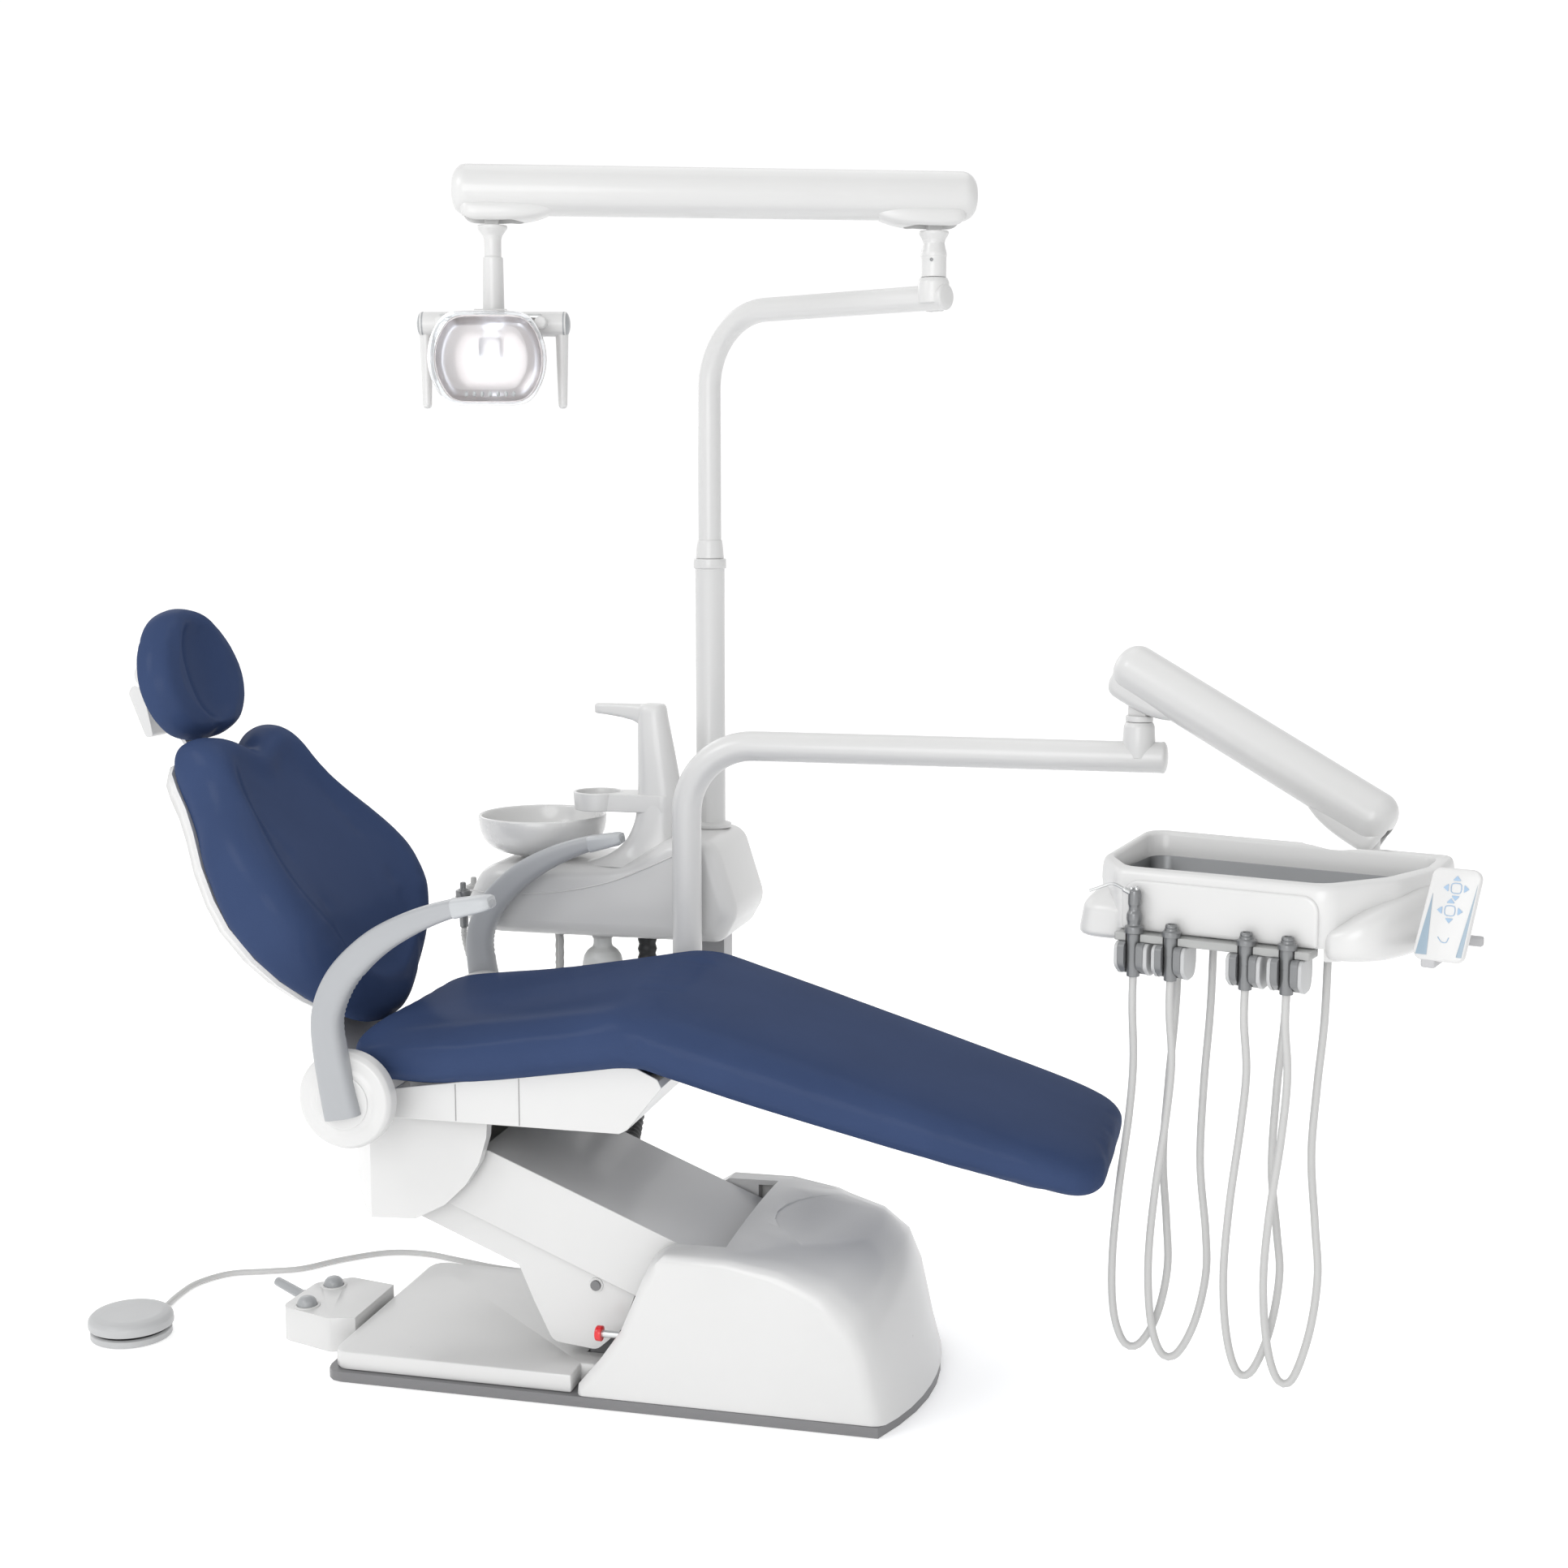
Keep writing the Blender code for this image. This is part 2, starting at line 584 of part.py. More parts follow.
def seat_side_cover():
    outer = [(-0.372, 0.4745), (0.022, 0.4745), (0.036, 0.482), (0.095, 0.556), (0.088, 0.570), (0.042, 0.5910),
             (-0.372, 0.5250)]
    inner = [(-0.368, 0.30), (0.015, 0.30), (0.0185, 0.4785), (0.031, 0.485), (0.0895, 0.557), (0.0865, 0.70),
             (-0.368, 0.70)]
    cover = slab("seat_side_cover", outer, -0.235, 0.235, "warm_white")
    hollow = slab("cover_hollow", inner, -0.231, 0.231)
    notch = box("beam_notch", (BEAM_X[0] - 0.002, 0.20, 0.45), (BEAM_X[1] + 0.002, 0.25, 0.515))
    back = box("back_opening", (-0.40, -0.175, 0.45), (-0.36, 0.175, 0.60))
    return cut(cover, hollow, notch, back)


# station along the cushion: x, top, bottom, half width
SEAT_STATIONS = ((-0.458, 0.598, 0.560, 0.190), (-0.452, 0.612, 0.545, 0.228), (-0.436, 0.621, 0.538, 0.252),
                 (-0.400, 0.628, 0.532, 0.264), (-0.250, 0.646, 0.5525, 0.275), (-0.080, 0.674, 0.580, 0.280),
                 (0.015, 0.692, 0.596, 0.281), (0.050, 0.698, 0.592, 0.281), (0.085, 0.690, 0.578, 0.280),
                 (0.250, 0.640, 0.523, 0.273), (0.480, 0.570, 0.468, 0.260), (0.680, 0.509, 0.420, 0.246),
                 (0.760, 0.484, 0.402, 0.230), (0.795, 0.470, 0.402, 0.205), (0.812, 0.458, 0.412, 0.165))


def seat_cushion():
    rings = []
    for x, top, bottom, half in SEAT_STATIONS:
        ring = oval(16, half, (top - bottom) / 2, 4.0)
        rings.append([Vector((x, y, (top + bottom) / 2 + z)) for y, z in ring])
    pocket = slab("plate_pocket", [(0.010, 0.5941), (KNEE[0], KNEE[1]), (0.7065, 0.4442), (0.7065, 0.34),
                                   (0.010, 0.34)], -0.1965, 0.1965)
    return cut(loft("seat_cushion", rings, "navy_leather"), pocket)


def armrest(name, side):
    """The bar rises from the recline shaft and bends forwards: centre line points and the bar's depth."""
    line = ((-0.418, 0.500, 0.062), (-0.430, 0.560, 0.058), (-0.440, 0.620, 0.054), (-0.441, 0.668, 0.052),
            (-0.426, 0.712, 0.052), (-0.398, 0.752, 0.050), (-0.350, 0.795, 0.046), (-0.290, 0.829, 0.039),
            (-0.228, 0.853, 0.031), (-0.178, 0.864, 0.025), (-0.152, 0.866, 0.020))
    middle, half = side * 0.330, 0.021
    rings = []
    for i, (x, z, deep) in enumerate(line):
        x0, z0, _ = line[max(i - 1, 0)]
        x1, z1, _ = line[min(i + 1, len(line) - 1)]
        run = Vector((x1 - x0, 0, z1 - z0)).normalized()
        side_way = Vector((run.z, 0, -run.x))
        rings.append([Vector((x, middle, z)) + side_way * b + Vector((0, a, 0))
                      for a, b in oval(12, half, deep / 2, 3.2)])
    bar = loft(name, rings, "arm_grey")
    low, high = sorted((side * 0.287, side * 0.326))
    disc = rod("hub", (RECLINE.x, low, RECLINE.z + 0.006), (RECLINE.x, high, RECLINE.z + 0.006), 0.080, sides=32)
    bore = rod("hub_bore", (RECLINE.x, side * 0.20, RECLINE.z), (RECLINE.x, side * 0.302, RECLINE.z), PIN + GAP)
    return cut(join(bar, disc), bore)


# ----------------------------------------------------------------------------------------- backrest

BACK_HALF = ((0.040, 0.0), (0.046, 0.060), (0.072, 0.120), (0.115, 0.180), (0.165, 0.228), (0.225, 0.264),
             (0.300, 0.284), (0.360, 0.276), (0.430, 0.250), (0.500, 0.208), (0.550, 0.184), (0.595, 0.172),
             (0.627, 0.158), (0.643, 0.132), (0.638, 0.096), (0.622, 0.056), (0.606, 0.024), (0.600, 0.0))


def lumbar(s):
    """How far the front of the backrest stands forward at a height."""
    return 0.012 + 0.042 * math.exp(-((s - 0.27) / 0.19) ** 2) + 0.020 * min(1.0, max(0.0, (s - 0.08) / 0.15))


def back_front(lift):
    return lambda s, y: lumbar(s) + lift


def backrest_cushion():
    layers = [(0.20, back_front(0.0)), (0.55, back_front(0.0)), (0.74, back_front(0.004)),
              (0.86, back_front(0.012)), (0.95, back_front(0.004)), (0.99, back_front(-0.018)),
              (1.00, -0.004), (0.965, -0.027), (0.90, BACK_PLANE), (0.30, BACK_PLANE)]
    return pillow("backrest_cushion", mirrored(BACK_HALF), layers, back_point, "navy_leather")


def backrest_shell():
    layers = [(0.30, BACK_PLANE - GAP), (0.885, BACK_PLANE - GAP), (0.890, BACK_PLANE - 0.008),
              (0.84, BACK_PLANE - 0.026), (0.70, BACK_PLANE - 0.034), (0.30, BACK_PLANE - 0.036)]
    shell = pillow("backrest_shell", mirrored(BACK_HALF), layers, back_point, "warm_white")
    channel = box("bar_channel", (0.10, -0.027, BACK_PLANE - 0.0135), (0.90, 0.027, BACK_PLANE + 0.02))
    spine = box("spine_channel", (-0.05, -0.112, BACK_PLANE - 0.0233), (0.42, 0.112, BACK_PLANE - 0.0133))
    for tool in (channel, spine):
        moved(tool, back_matrix())
    return cut(shell, channel, spine)


def back_matrix():
    c, d = math.cos(BACK_TILT), math.sin(BACK_TILT)
    return Matrix(((c, 0, d, BACK_FOOT.x), (0, 1, 0, 0), (d, 0, -c, BACK_FOOT.z), (0, 0, 0, 1)))


def backrest_frame():
    """A steel spine plate in the shell, with two arms that turn on the recline shaft."""
    plate = box("backrest_frame", (-0.01, -0.110, BACK_PLANE - 0.0230), (0.40, 0.110, BACK_PLANE - 0.0140),
                "frame_grey")
    moved(plate, back_matrix())
    back = [back_point(s, 0, n) for s, n in ((0.020, BACK_PLANE - 0.030), (0.020, BACK_PLANE - 0.004))]
    arm = rounded([(RECLINE.x + 0.022, RECLINE.z - 0.022, 0.020), (RECLINE.x - 0.024, RECLINE.z - 0.024, 0.02),
                   (back[0].x, back[0].z), (back[1].x, back[1].z), (RECLINE.x + 0.0, RECLINE.z + 0.024, 0.01),
                   (RECLINE.x + 0.022, RECLINE.z + 0.018, 0.010)])
    arms = two_sided(lambda a, b: slab("recline_arm", arm, a, b), 0.080, 0.108)
    bore = rod("recline_bore", RECLINE - Vector((0, 0.2, 0)), RECLINE + Vector((0, 0.2, 0)), PIN + GAP)
    return cut(join(plate, *arms), bore)


# ----------------------------------------------------------------------------------------- headrest

def headrest_bar():
    bar = box("headrest_bar", (0.46, -0.026, BACK_PLANE - 0.0125), (0.800, 0.026, BACK_PLANE - 0.0060), "warm_white")
    moved(bar, back_matrix())
    hinge = HEAD_HINGE
    ears = two_sided(lambda a, b: rod("bar_ear", (hinge.x, a, hinge.z), (hinge.x, b, hinge.z), 0.020), 0.014, 0.024)
    slot = moved(box("hub_slot", (0.745, -0.0138, BACK_PLANE - 0.05), (0.85, 0.0138, BACK_PLANE + 0.03)), back_matrix())
    return join(cut(bar, slot), *ears, rod("hinge_pin", hinge - Vector((0, 0.0265, 0)), hinge + Vector((0, 0.0375, 0)), 0.006))


HEAD_HALF = ((-0.120, 0.0), (-0.117, 0.050), (-0.100, 0.096), (-0.062, 0.132), (-0.012, 0.145), (0.040, 0.130),
             (0.082, 0.098), (0.112, 0.055), (0.123, 0.0))


def headrest_cushion():
    layers = [(0.15, -0.004), (0.40, 0.002), (0.62, 0.016), (0.80, 0.022), (0.93, 0.014), (1.00, -0.008),
              (0.97, -0.030), (0.90, -0.042), (0.30, -0.043)]
    return pillow("headrest_cushion", mirrored(HEAD_HALF), layers, head_point, "navy_leather")


def headrest_mount():
    plate = rod("headrest_mount", head_point(0, 0, -0.0433), head_point(0, 0, -0.052), 0.055, "warm_white", sides=20)
    neck = rod("neck", head_point(0, 0, -0.050), HEAD_HINGE, 0.012, sides=12)
    hub = rod("hinge_hub", HEAD_HINGE - Vector((0, 0.0135, 0)), HEAD_HINGE + Vector((0, 0.0135, 0)), 0.018)
    bore = rod("hinge_bore", HEAD_HINGE - Vector((0, 0.05, 0)), HEAD_HINGE + Vector((0, 0.05, 0)), 0.0063)
    return cut(join(plate, neck, hub), bore)


KNOB = Vector((-0.917, -0.0245, 1.190))


def headrest_knob():
    knob = rod("headrest_knob", KNOB + Vector((0, -0.0025, 0)), KNOB + Vector((0, -0.024, 0)), 0.022, "warm_white",
               sides=16, end_radius=0.019)
    return bevelled(knob, 0.003)


def headrest_lever():
    """A release lever on the far end of the headrest's hinge pin, its handle behind the bar."""
    x, z = HEAD_HINGE.x, HEAD_HINGE.z
    handle = slab("headrest_lever", rounded([(x - 0.021, z - 0.025, 0.006), (x - 0.041, z - 0.020, 0.01),
                                             (x - 0.049, z - 0.035, 0.01), (x - 0.017, z - 0.115, 0.008),
                                             (x - 0.003, z - 0.112, 0.006)]), -0.018, 0.036, "warm_white")
    arm = slab("lever_arm", [(x - 0.004, z - 0.012), (x - 0.012, z + 0.004), (x - 0.044, z - 0.028),
                             (x - 0.026, z - 0.044)], 0.0265, 0.0357)
    hub = rod("lever_hub", (x, 0.0264, z), (x, 0.0366, z), 0.0145)
    way = bore("lever_bore", (x, 0.0, z), (x, 0.06, z), 0.006 + GAP)
    return cut(join(handle, arm, hub), way)


# --------------------------------------------------------------------------------------- water unit

def unit_outline():
    return rounded([(-0.505, 0.700, 0.02), (-0.470, 0.668, 0.02), (-0.420, UNIT_FLOOR + 0.003, 0.02),
                    (0.024, UNIT_FLOOR + 0.003, 0.02), (0.056, 0.722, 0.03), (0.012, 0.862, 0.03),
                    (-0.080, 0.862, 0.03), (-0.170, 0.806), (-0.455, 0.800, 0.05)])


def unit_body():
    body = slab("unit_body", unit_outline(), 0.372, 0.618, "warm_white", bevel=0.014)
    hollow = box("unit_hollow", (-0.440, 0.392, 0.60), (0.008, 0.598, 0.780))
    post = rod("post_bore", (POST.x, POST.y, 0.6), (POST.x, POST.y, 0.9), POST_RADIUS + GAP, sides=20)
    holder = box("handpiece_holder", (-0.541, 0.415, 0.706), (-0.490, 0.525, 0.7195))
    wells = []
    for x, y in HANDPIECES:
        wells.append(bore("handpiece_well", (x, y, 0.65), (x, y, 0.80), 0.0115, 12))
        wells.append(box("handpiece_mouth", (x - 0.06, y - 0.0068, 0.65), (x, y + 0.0068, 0.80)))
    return cut(join(body, holder), hollow, post, *wells)


def spout_column():
    """The tower with the bowl-rinse and cup-fill nozzle, and the shelf that the cup stands on."""
    rings = []
    for z, left, right, half in ((0.790, -0.165, -0.088, 0.040), (0.900, -0.158, -0.078, 0.038),
                                 (0.935, -0.156, -0.072, 0.036), (1.020, -0.156, -0.088, 0.033),
                                 (1.085, -0.156, -0.100, 0.028), (1.112, -0.152, -0.108, 0.024)):
        middle = (left + right) / 2
        rings.append([Vector((middle + a, COLUMN.y + b, z)) for a, b in oval(12, (right - left) / 2, half, 3.0)])
    column = loft("spout_column", rings, "warm_white")
    nozzle = box("nozzle", (-0.243, COLUMN.y - 0.011, 1.089), (-0.140, COLUMN.y + 0.011, 1.110), bevel=0.004)
    ring = rod("cup_ring", (-0.240, COLUMN.y, 0.905), (-0.240, COLUMN.y, 0.940), 0.048, sides=24)
    arm = box("cup_arm", (-0.220, COLUMN.y - 0.030, 0.906), (-0.120, COLUMN.y + 0.030, 0.938), bevel=0.004)
    well = rod("cup_well", (-0.240, COLUMN.y, 0.911), (-0.240, COLUMN.y, 0.99), 0.041, sides=24)
    unit = slab("unit_block", [(x - 2 * GAP, z + GAP) for x, z in unit_outline()], 0.36, 0.63)
    return cut(join(column, nozzle, arm, ring), well, unit)


def bowl():
    profile = [(0.122, 0.885), (0.126, 0.882), (0.124, 0.868), (0.112, 0.838), (0.086, 0.817), (0.052, 0.8085),
               (0.044, 0.8080), (0.044, 0.8034), (0.0, 0.8034)]
    inside = [(0.0, 0.8145), (0.050, 0.8145), (0.082, 0.822), (0.107, 0.842), (0.1185, 0.868), (0.120, 0.885)]
    return turned("bowl", inside + profile, (BOWL.x, BOWL.y, 0.0), "ceramic_white", steps=32)


def water_bottle():
    return turned("water_bottle", [(0.0, 0.7796), (0.016, 0.7796), (0.018, 0.640), (0.036, 0.622), (0.040, 0.600),
                                   (0.040, 0.470), (0.034, 0.458), (0.0, 0.458)],
                  (BOTTLE.x, BOTTLE.y, 0.0), "bottle_white", steps=20)


DRAIN_HOSE = ((-0.150, 0.470, 0.7796), (-0.150, 0.470, 0.700), (-0.150, 0.470, 0.620), (-0.151, 0.469, 0.560), (-0.152, 0.464, 0.500),
              (-0.153, 0.450, 0.440), (-0.152, 0.424, 0.385), (-0.148, 0.384, 0.336), (-0.141, 0.336, 0.303),
              (-0.131, 0.284, 0.290), (-0.116, 0.235, 0.2885), (-0.108, 0.195, 0.2890), (-0.108, 0.1655, 0.2890))
SUCTION_HOSES = (
    ((-0.315, 0.432, 0.7796), (-0.315, 0.432, 0.700), (-0.315, 0.432, 0.610), (-0.318, 0.432, 0.540), (-0.330, 0.432, 0.475),
     (-0.358, 0.432, 0.432), (-0.395, 0.433, 0.420), (-0.432, 0.434, 0.437), (-0.462, 0.436, 0.485),
     (-0.486, 0.438, 0.550), (-0.510, 0.440, 0.600), (-0.520, 0.440, 0.640), (-0.520, 0.440, 0.6598)),
    ((-0.345, 0.500, 0.7796), (-0.345, 0.500, 0.700), (-0.345, 0.500, 0.610), (-0.347, 0.500, 0.550), (-0.357, 0.500, 0.500),
     (-0.380, 0.500, 0.468), (-0.410, 0.500, 0.460), (-0.440, 0.500, 0.474), (-0.466, 0.500, 0.515),
     (-0.490, 0.500, 0.560), (-0.512, 0.500, 0.602), (-0.522, 0.500, 0.640), (-0.522, 0.500, 0.6598)),
)
HANDPIECES = ((-0.5200, 0.440), (-0.5220, 0.500))


def suction_handpiece(name, x, y):
    foot, head = Vector((x, y, 0.6603)), Vector((x - 0.001, y, 0.736))
    body = rod(name, foot, head, 0.0085, "hose_grey", sides=12, end_radius=0.0105)
    collar = rod("handpiece_collar", (x, y, 0.7200), (x, y, 0.734), 0.0150, sides=12)
    return join(body, collar, rod("tip", head - Vector((0, 0, 0.005)), head + Vector((0, 0, 0.014)), 0.006, sides=12))


# -------------------------------------------------------------------------------------------- light

def lamp_post():
    post = rod("lamp_post", (POST.x, POST.y, UNIT_FLOOR), (POST.x, POST.y, 1.386), POST_RADIUS, "warm_white", sides=20)
    ring = rod("post_ring", (POST.x, POST.y, 1.368), (POST.x, POST.y, 1.386), 0.0315, sides=20)
    flange = rod("post_flange", (POST.x, POST.y, 0.8625), (POST.x, POST.y, 0.872), 0.040, sides=20)
    well = rod("post_well", (POST.x, POST.y, 1.20), (POST.x, POST.y, 1.45), 0.0223, sides=20)
    return cut(join(post, ring, flange), well)


def lamp_tube():
    away = (LAMP_KNUCKLE - POST).normalized()
    end = Vector((*LAMP_KNUCKLE.xy, LAMP_ARM_Z)) + away * 0.026
    line = bent([(POST.x, POST.y, 1.250), (POST.x, POST.y, LAMP_ARM_Z), end], 0.140)
    pipe = tube("lamp_tube", line, 0.0220, "warm_white", sides=16, solid=True)
    collar = rod("collar", (POST.x, POST.y, 1.3863), (POST.x, POST.y, 1.422), 0.0270, end_radius=0.0245, sides=20)
    socket = rod("knuckle_socket", (*LAMP_KNUCKLE.xy, LAMP_ARM_Z - 0.012), (*LAMP_KNUCKLE.xy, LAMP_ARM_Z + 0.034),
                 0.0275, sides=20)
    well = rod("knuckle_well", (*LAMP_KNUCKLE.xy, LAMP_ARM_Z + 0.002), (*LAMP_KNUCKLE.xy, LAMP_ARM_Z + 0.1), 0.0168)
    return cut(join(pipe, collar, socket), well)


def lamp_knuckle():
    x, y = LAMP_KNUCKLE.xy
    return turned("lamp_knuckle", [(0.0, 1.964), (0.026, 1.964), (0.026, 1.959), (0.019, 1.946), (0.0225, 1.926),
                                   (0.0225, LAMP_ARM_Z + 0.0345), (0.0160, LAMP_ARM_Z + 0.0345),
                                   (0.0160, LAMP_ARM_Z + 0.003), (0.0, LAMP_ARM_Z + 0.003)],
                  (x, y, 0.0), "warm_white", steps=20)


def spring_way():
    return Vector((*(LAMP_STEM - LAMP_KNUCKLE).xy, 0.0)).normalized()


def lamp_arm():
    """The long spring arm: a tube with rounded ends, and an open fork below each end."""
    way = spring_way()
    right = Vector((*LAMP_KNUCKLE.xy, SPRING_Z)) - way * 0.074
    left = Vector((*LAMP_STEM.xy, SPRING_Z)) + way * 0.069
    arm = rod("lamp_arm", right, left, 0.0425, "warm_white", sides=20)
    bevelled(arm, 0.018, 3)
    forks = []
    for centre in (Vector((*LAMP_KNUCKLE.xy, 0.0)), Vector((*LAMP_STEM.xy, 0.0))):
        slot = box("fork_slot", (-0.034, -0.0135, -0.05), (0.034, 0.0135, 0.020))
        slot.location += Vector((centre.x, centre.y, TILT_Z))
        slot.rotation_euler = (0.0, 0.0, math.atan2(way.y, way.x))
        forks.append(slot)
    return cut(arm, *forks)


def fork_tongue(name, centre):
    """A disc and its neck that stand in the arm's fork, on the tilt axis."""
    way = spring_way()
    across = Vector((-way.y, way.x, 0.0)) * 0.0120
    pivot = Vector((centre.x, centre.y, TILT_Z))
    neck = box(name, (-0.012, -0.0120, -0.042), (0.012, 0.0120, 0.0))
    neck.location += pivot
    neck.rotation_euler = (0.0, 0.0, math.atan2(way.y, way.x))
    return [rod("tongue", pivot - across, pivot + across, 0.0160), neck]


def lamp_stem():
    x, y = LAMP_STEM.xy
    stem = turned("lamp_stem", [(0.0, 1.964), (0.026, 1.964), (0.026, 1.959), (0.0155, 1.946), (0.0155, 1.911),
                                (0.0185, 1.909), (0.0185, 1.821), (0.0120, 1.821), (0.0120, 1.8025),
                                (0.0, 1.8025)], (x, y, 0.0), "warm_white", steps=20)
    return join(stem, *fork_tongue("stem_tongue", LAMP_STEM))


LAMP_WAY = Vector((0.971, 0.239, 0.0))  # along the handle bar


def lamp_yoke():
    centre = Vector((*LAMP_STEM.xy, LAMP_BAR_Z))
    ends = centre - LAMP_WAY * 0.131, centre + LAMP_WAY * 0.131
    bar = bevelled(rod("lamp_yoke", *ends, 0.0212, "warm_white", sides=20), 0.006)
    handles = []
    for sign in (-1, 1):
        top = centre + LAMP_WAY * (0.117 * sign)
        handles.append(rod("handle", top, top - Vector((0, 0, 0.143)), 0.0115, sides=12,
                           end_radius=0.0075))
    cheeks = [rod("cheek", centre + LAMP_WAY * (0.085 * s), LAMP_AXIS + LAMP_WAY * (0.085 * s) + LAMP_FRONT * 0.010,
                  0.010, sides=12) for s in (-1, 1)]
    pin = rod("nod_pin", LAMP_AXIS - LAMP_WAY * 0.086, LAMP_AXIS + LAMP_WAY * 0.086, 0.006, sides=12)
    well = bore("stem_well", centre + Vector((0, 0, 0.004)), centre + Vector((0, 0, 0.05)), 0.0120 + GAP, 24)
    return cut(join(bar, *handles, *cheeks, pin), well)


LAMP_FRONT = Vector((0.239, -0.971, 0.0))  # out of the lamp, across the handle bar
LAMP_AXIS = Vector((*LAMP_STEM.xy, 1.807)) + LAMP_FRONT * 0.040


def lamp_ring(width, height, depth, count=16):
    """An outline across the lamp's beam, depth in front of the bar's middle."""
    centre = Vector((*LAMP_STEM.xy, 1.735)) + LAMP_FRONT * depth
    return [centre + LAMP_WAY * a + Vector((0, 0, b)) for a, b in oval(count, width / 2, height / 2, 2.8)]


def lamp_head():
    """The reflector dish and its housing, open at the front."""
    rings = [lamp_ring(0.080, 0.070, 0.030), lamp_ring(0.150, 0.120, 0.036), lamp_ring(0.184, 0.142, 0.050),
             lamp_ring(0.192, 0.150, 0.072), lamp_ring(0.184, 0.142, 0.072), lamp_ring(0.174, 0.132, 0.056),
             lamp_ring(0.140, 0.110, 0.044), lamp_ring(0.060, 0.050, 0.040)]
    head = loft("lamp_head", rings, "reflector")
    lug = rod("lamp_lug", LAMP_AXIS - LAMP_WAY * 0.028, LAMP_AXIS + LAMP_WAY * 0.028, 0.0135)
    bulb = rod("bulb_tube", LAMP_AXIS - LAMP_FRONT * 0.006 - Vector((0, 0, 0.072)), LAMP_AXIS + LAMP_FRONT * 0.030
               - Vector((0, 0, 0.072)), 0.016, sides=12)
    pin_way = bore("pin_way", LAMP_AXIS - LAMP_WAY * 0.14, LAMP_AXIS + LAMP_WAY * 0.14, 0.006 + GAP, 12)
    return cut(join(head, lug, bulb), pin_way)


def lamp_shield():
    """A clear barrel-shaped cover over the front of the lamp."""
    rings = [lamp_ring(0.194, 0.152, 0.0725), lamp_ring(0.204, 0.158, 0.086), lamp_ring(0.198, 0.152, 0.108),
             lamp_ring(0.170, 0.130, 0.118), lamp_ring(0.166, 0.126, 0.115), lamp_ring(0.193, 0.147, 0.106),
             lamp_ring(0.199, 0.153, 0.086), lamp_ring(0.189, 0.147, 0.0725)]
    bm = bmesh.new()
    rows = [[bm.verts.new(point) for point in ring] for ring in rings[:4]]
    inner = [[bm.verts.new(point) for point in ring] for ring in rings[4:]]
    order = rows + inner
    for near, far in zip(order, order[1:]):
        if near is rows[3]:
            continue
        for i in range(len(near)):
            j = (i + 1) % len(near)
            bm.faces.new((near[i], near[j], far[j], far[i]))
    count = len(rows[0])
    for i in range(count):
        j = (i + 1) % count
        bm.faces.new((inner[-1][i], inner[-1][j], rows[0][j], rows[0][i]))
    bm.faces.new(rows[3])
    bm.faces.new(inner[0])
    return from_bmesh("lamp_shield", bm, "clear_plastic")


# ----------------------------------------------------------------------------------------- delivery

def delivery_tube():
    end = Vector((ELBOW.x + 0.049, ELBOW.y, SWING_Z))
    line = bent([(SWING.x, SWING.y, 0.5310), (SWING.x, SWING.y, SWING_Z), end], 0.130)
    pipe = tube("delivery_tube", line, SWING_RADIUS, "warm_white", sides=16, solid=True)
    cup = rod("elbow_cup", (*ELBOW.xy, SWING_Z), (*ELBOW.xy, 1.113), 0.0275, sides=20)
    well = rod("elbow_well", (*ELBOW.xy, 1.066), (*ELBOW.xy, 1.2), 0.0198)
    return cut(join(pipe, cup), well)


def arm_way():
    return Vector((*(ARM_B - ARM_A).xy, 0.0)).normalized()


def tongue(name, pivot, radius, half):
    """A disc on a tilt axis, which runs level across the arm."""
    across = Vector((-arm_way().y, arm_way().x, 0.0))
    return rod(name, pivot - across * half, pivot + across * half, radius, sides=16)


def delivery_knuckle():
    stem = rod("delivery_knuckle", (*ELBOW.xy, 1.068), (*ELBOW.xy, 1.120), 0.0190, "warm_white", sides=16)
    collar = rod("knuckle_collar", (*ELBOW.xy, 1.1133), (*ELBOW.xy, 1.1280), 0.0240, sides=20)
    neck = box("elbow_neck", (-0.017, -0.0115, 1.118 - ARM_A.z), (0.017, 0.0115, 0.0))
    neck.location += ARM_A
    neck.rotation_euler = (0.0, 0.0, math.atan2(arm_way().y, arm_way().x))
    return join(stem, collar, neck, tongue("elbow_tongue", ARM_A, 0.019, 0.0115))


def delivery_arm():
    """The balanced arm that carries the tray, with a slot at each end for the tilting tongues."""
    run = (ARM_B - ARM_A).normalized()
    arm = rod("delivery_arm", ARM_A - run * 0.044, ARM_B + run * 0.036, 0.0435, "warm_white", sides=20)
    bevelled(arm, 0.020, 3)
    slots = []
    angle = math.atan2(arm_way().y, arm_way().x)
    for pivot, back in ((ARM_A, -0.090), (ARM_B, -0.060)):
        for low, high in (((-0.030, -0.0135, -0.12), (0.030, 0.0135, 0.024)),
                          ((back, -0.0137, -0.13), (0.010, 0.0137, -0.008))):
            slot = box("tongue_slot", low, high)
            slots.append(moved(slot, Matrix.Translation(pivot) @ Matrix.Rotation(angle, 4, "Z")))
    return cut(arm, *slots)


def tray_mount():
    top = ARM_B
    stem = rod("tray_mount", (top.x, top.y, 0.842), (top.x, top.y, top.z), 0.0130, "warm_white", sides=16)
    return join(stem, tongue("mount_tongue", top, 0.019, 0.0115))


TRAY_RISE = 0.077  # how steeply the table's rim rises towards its back
RAIL_TOP = 0.8212


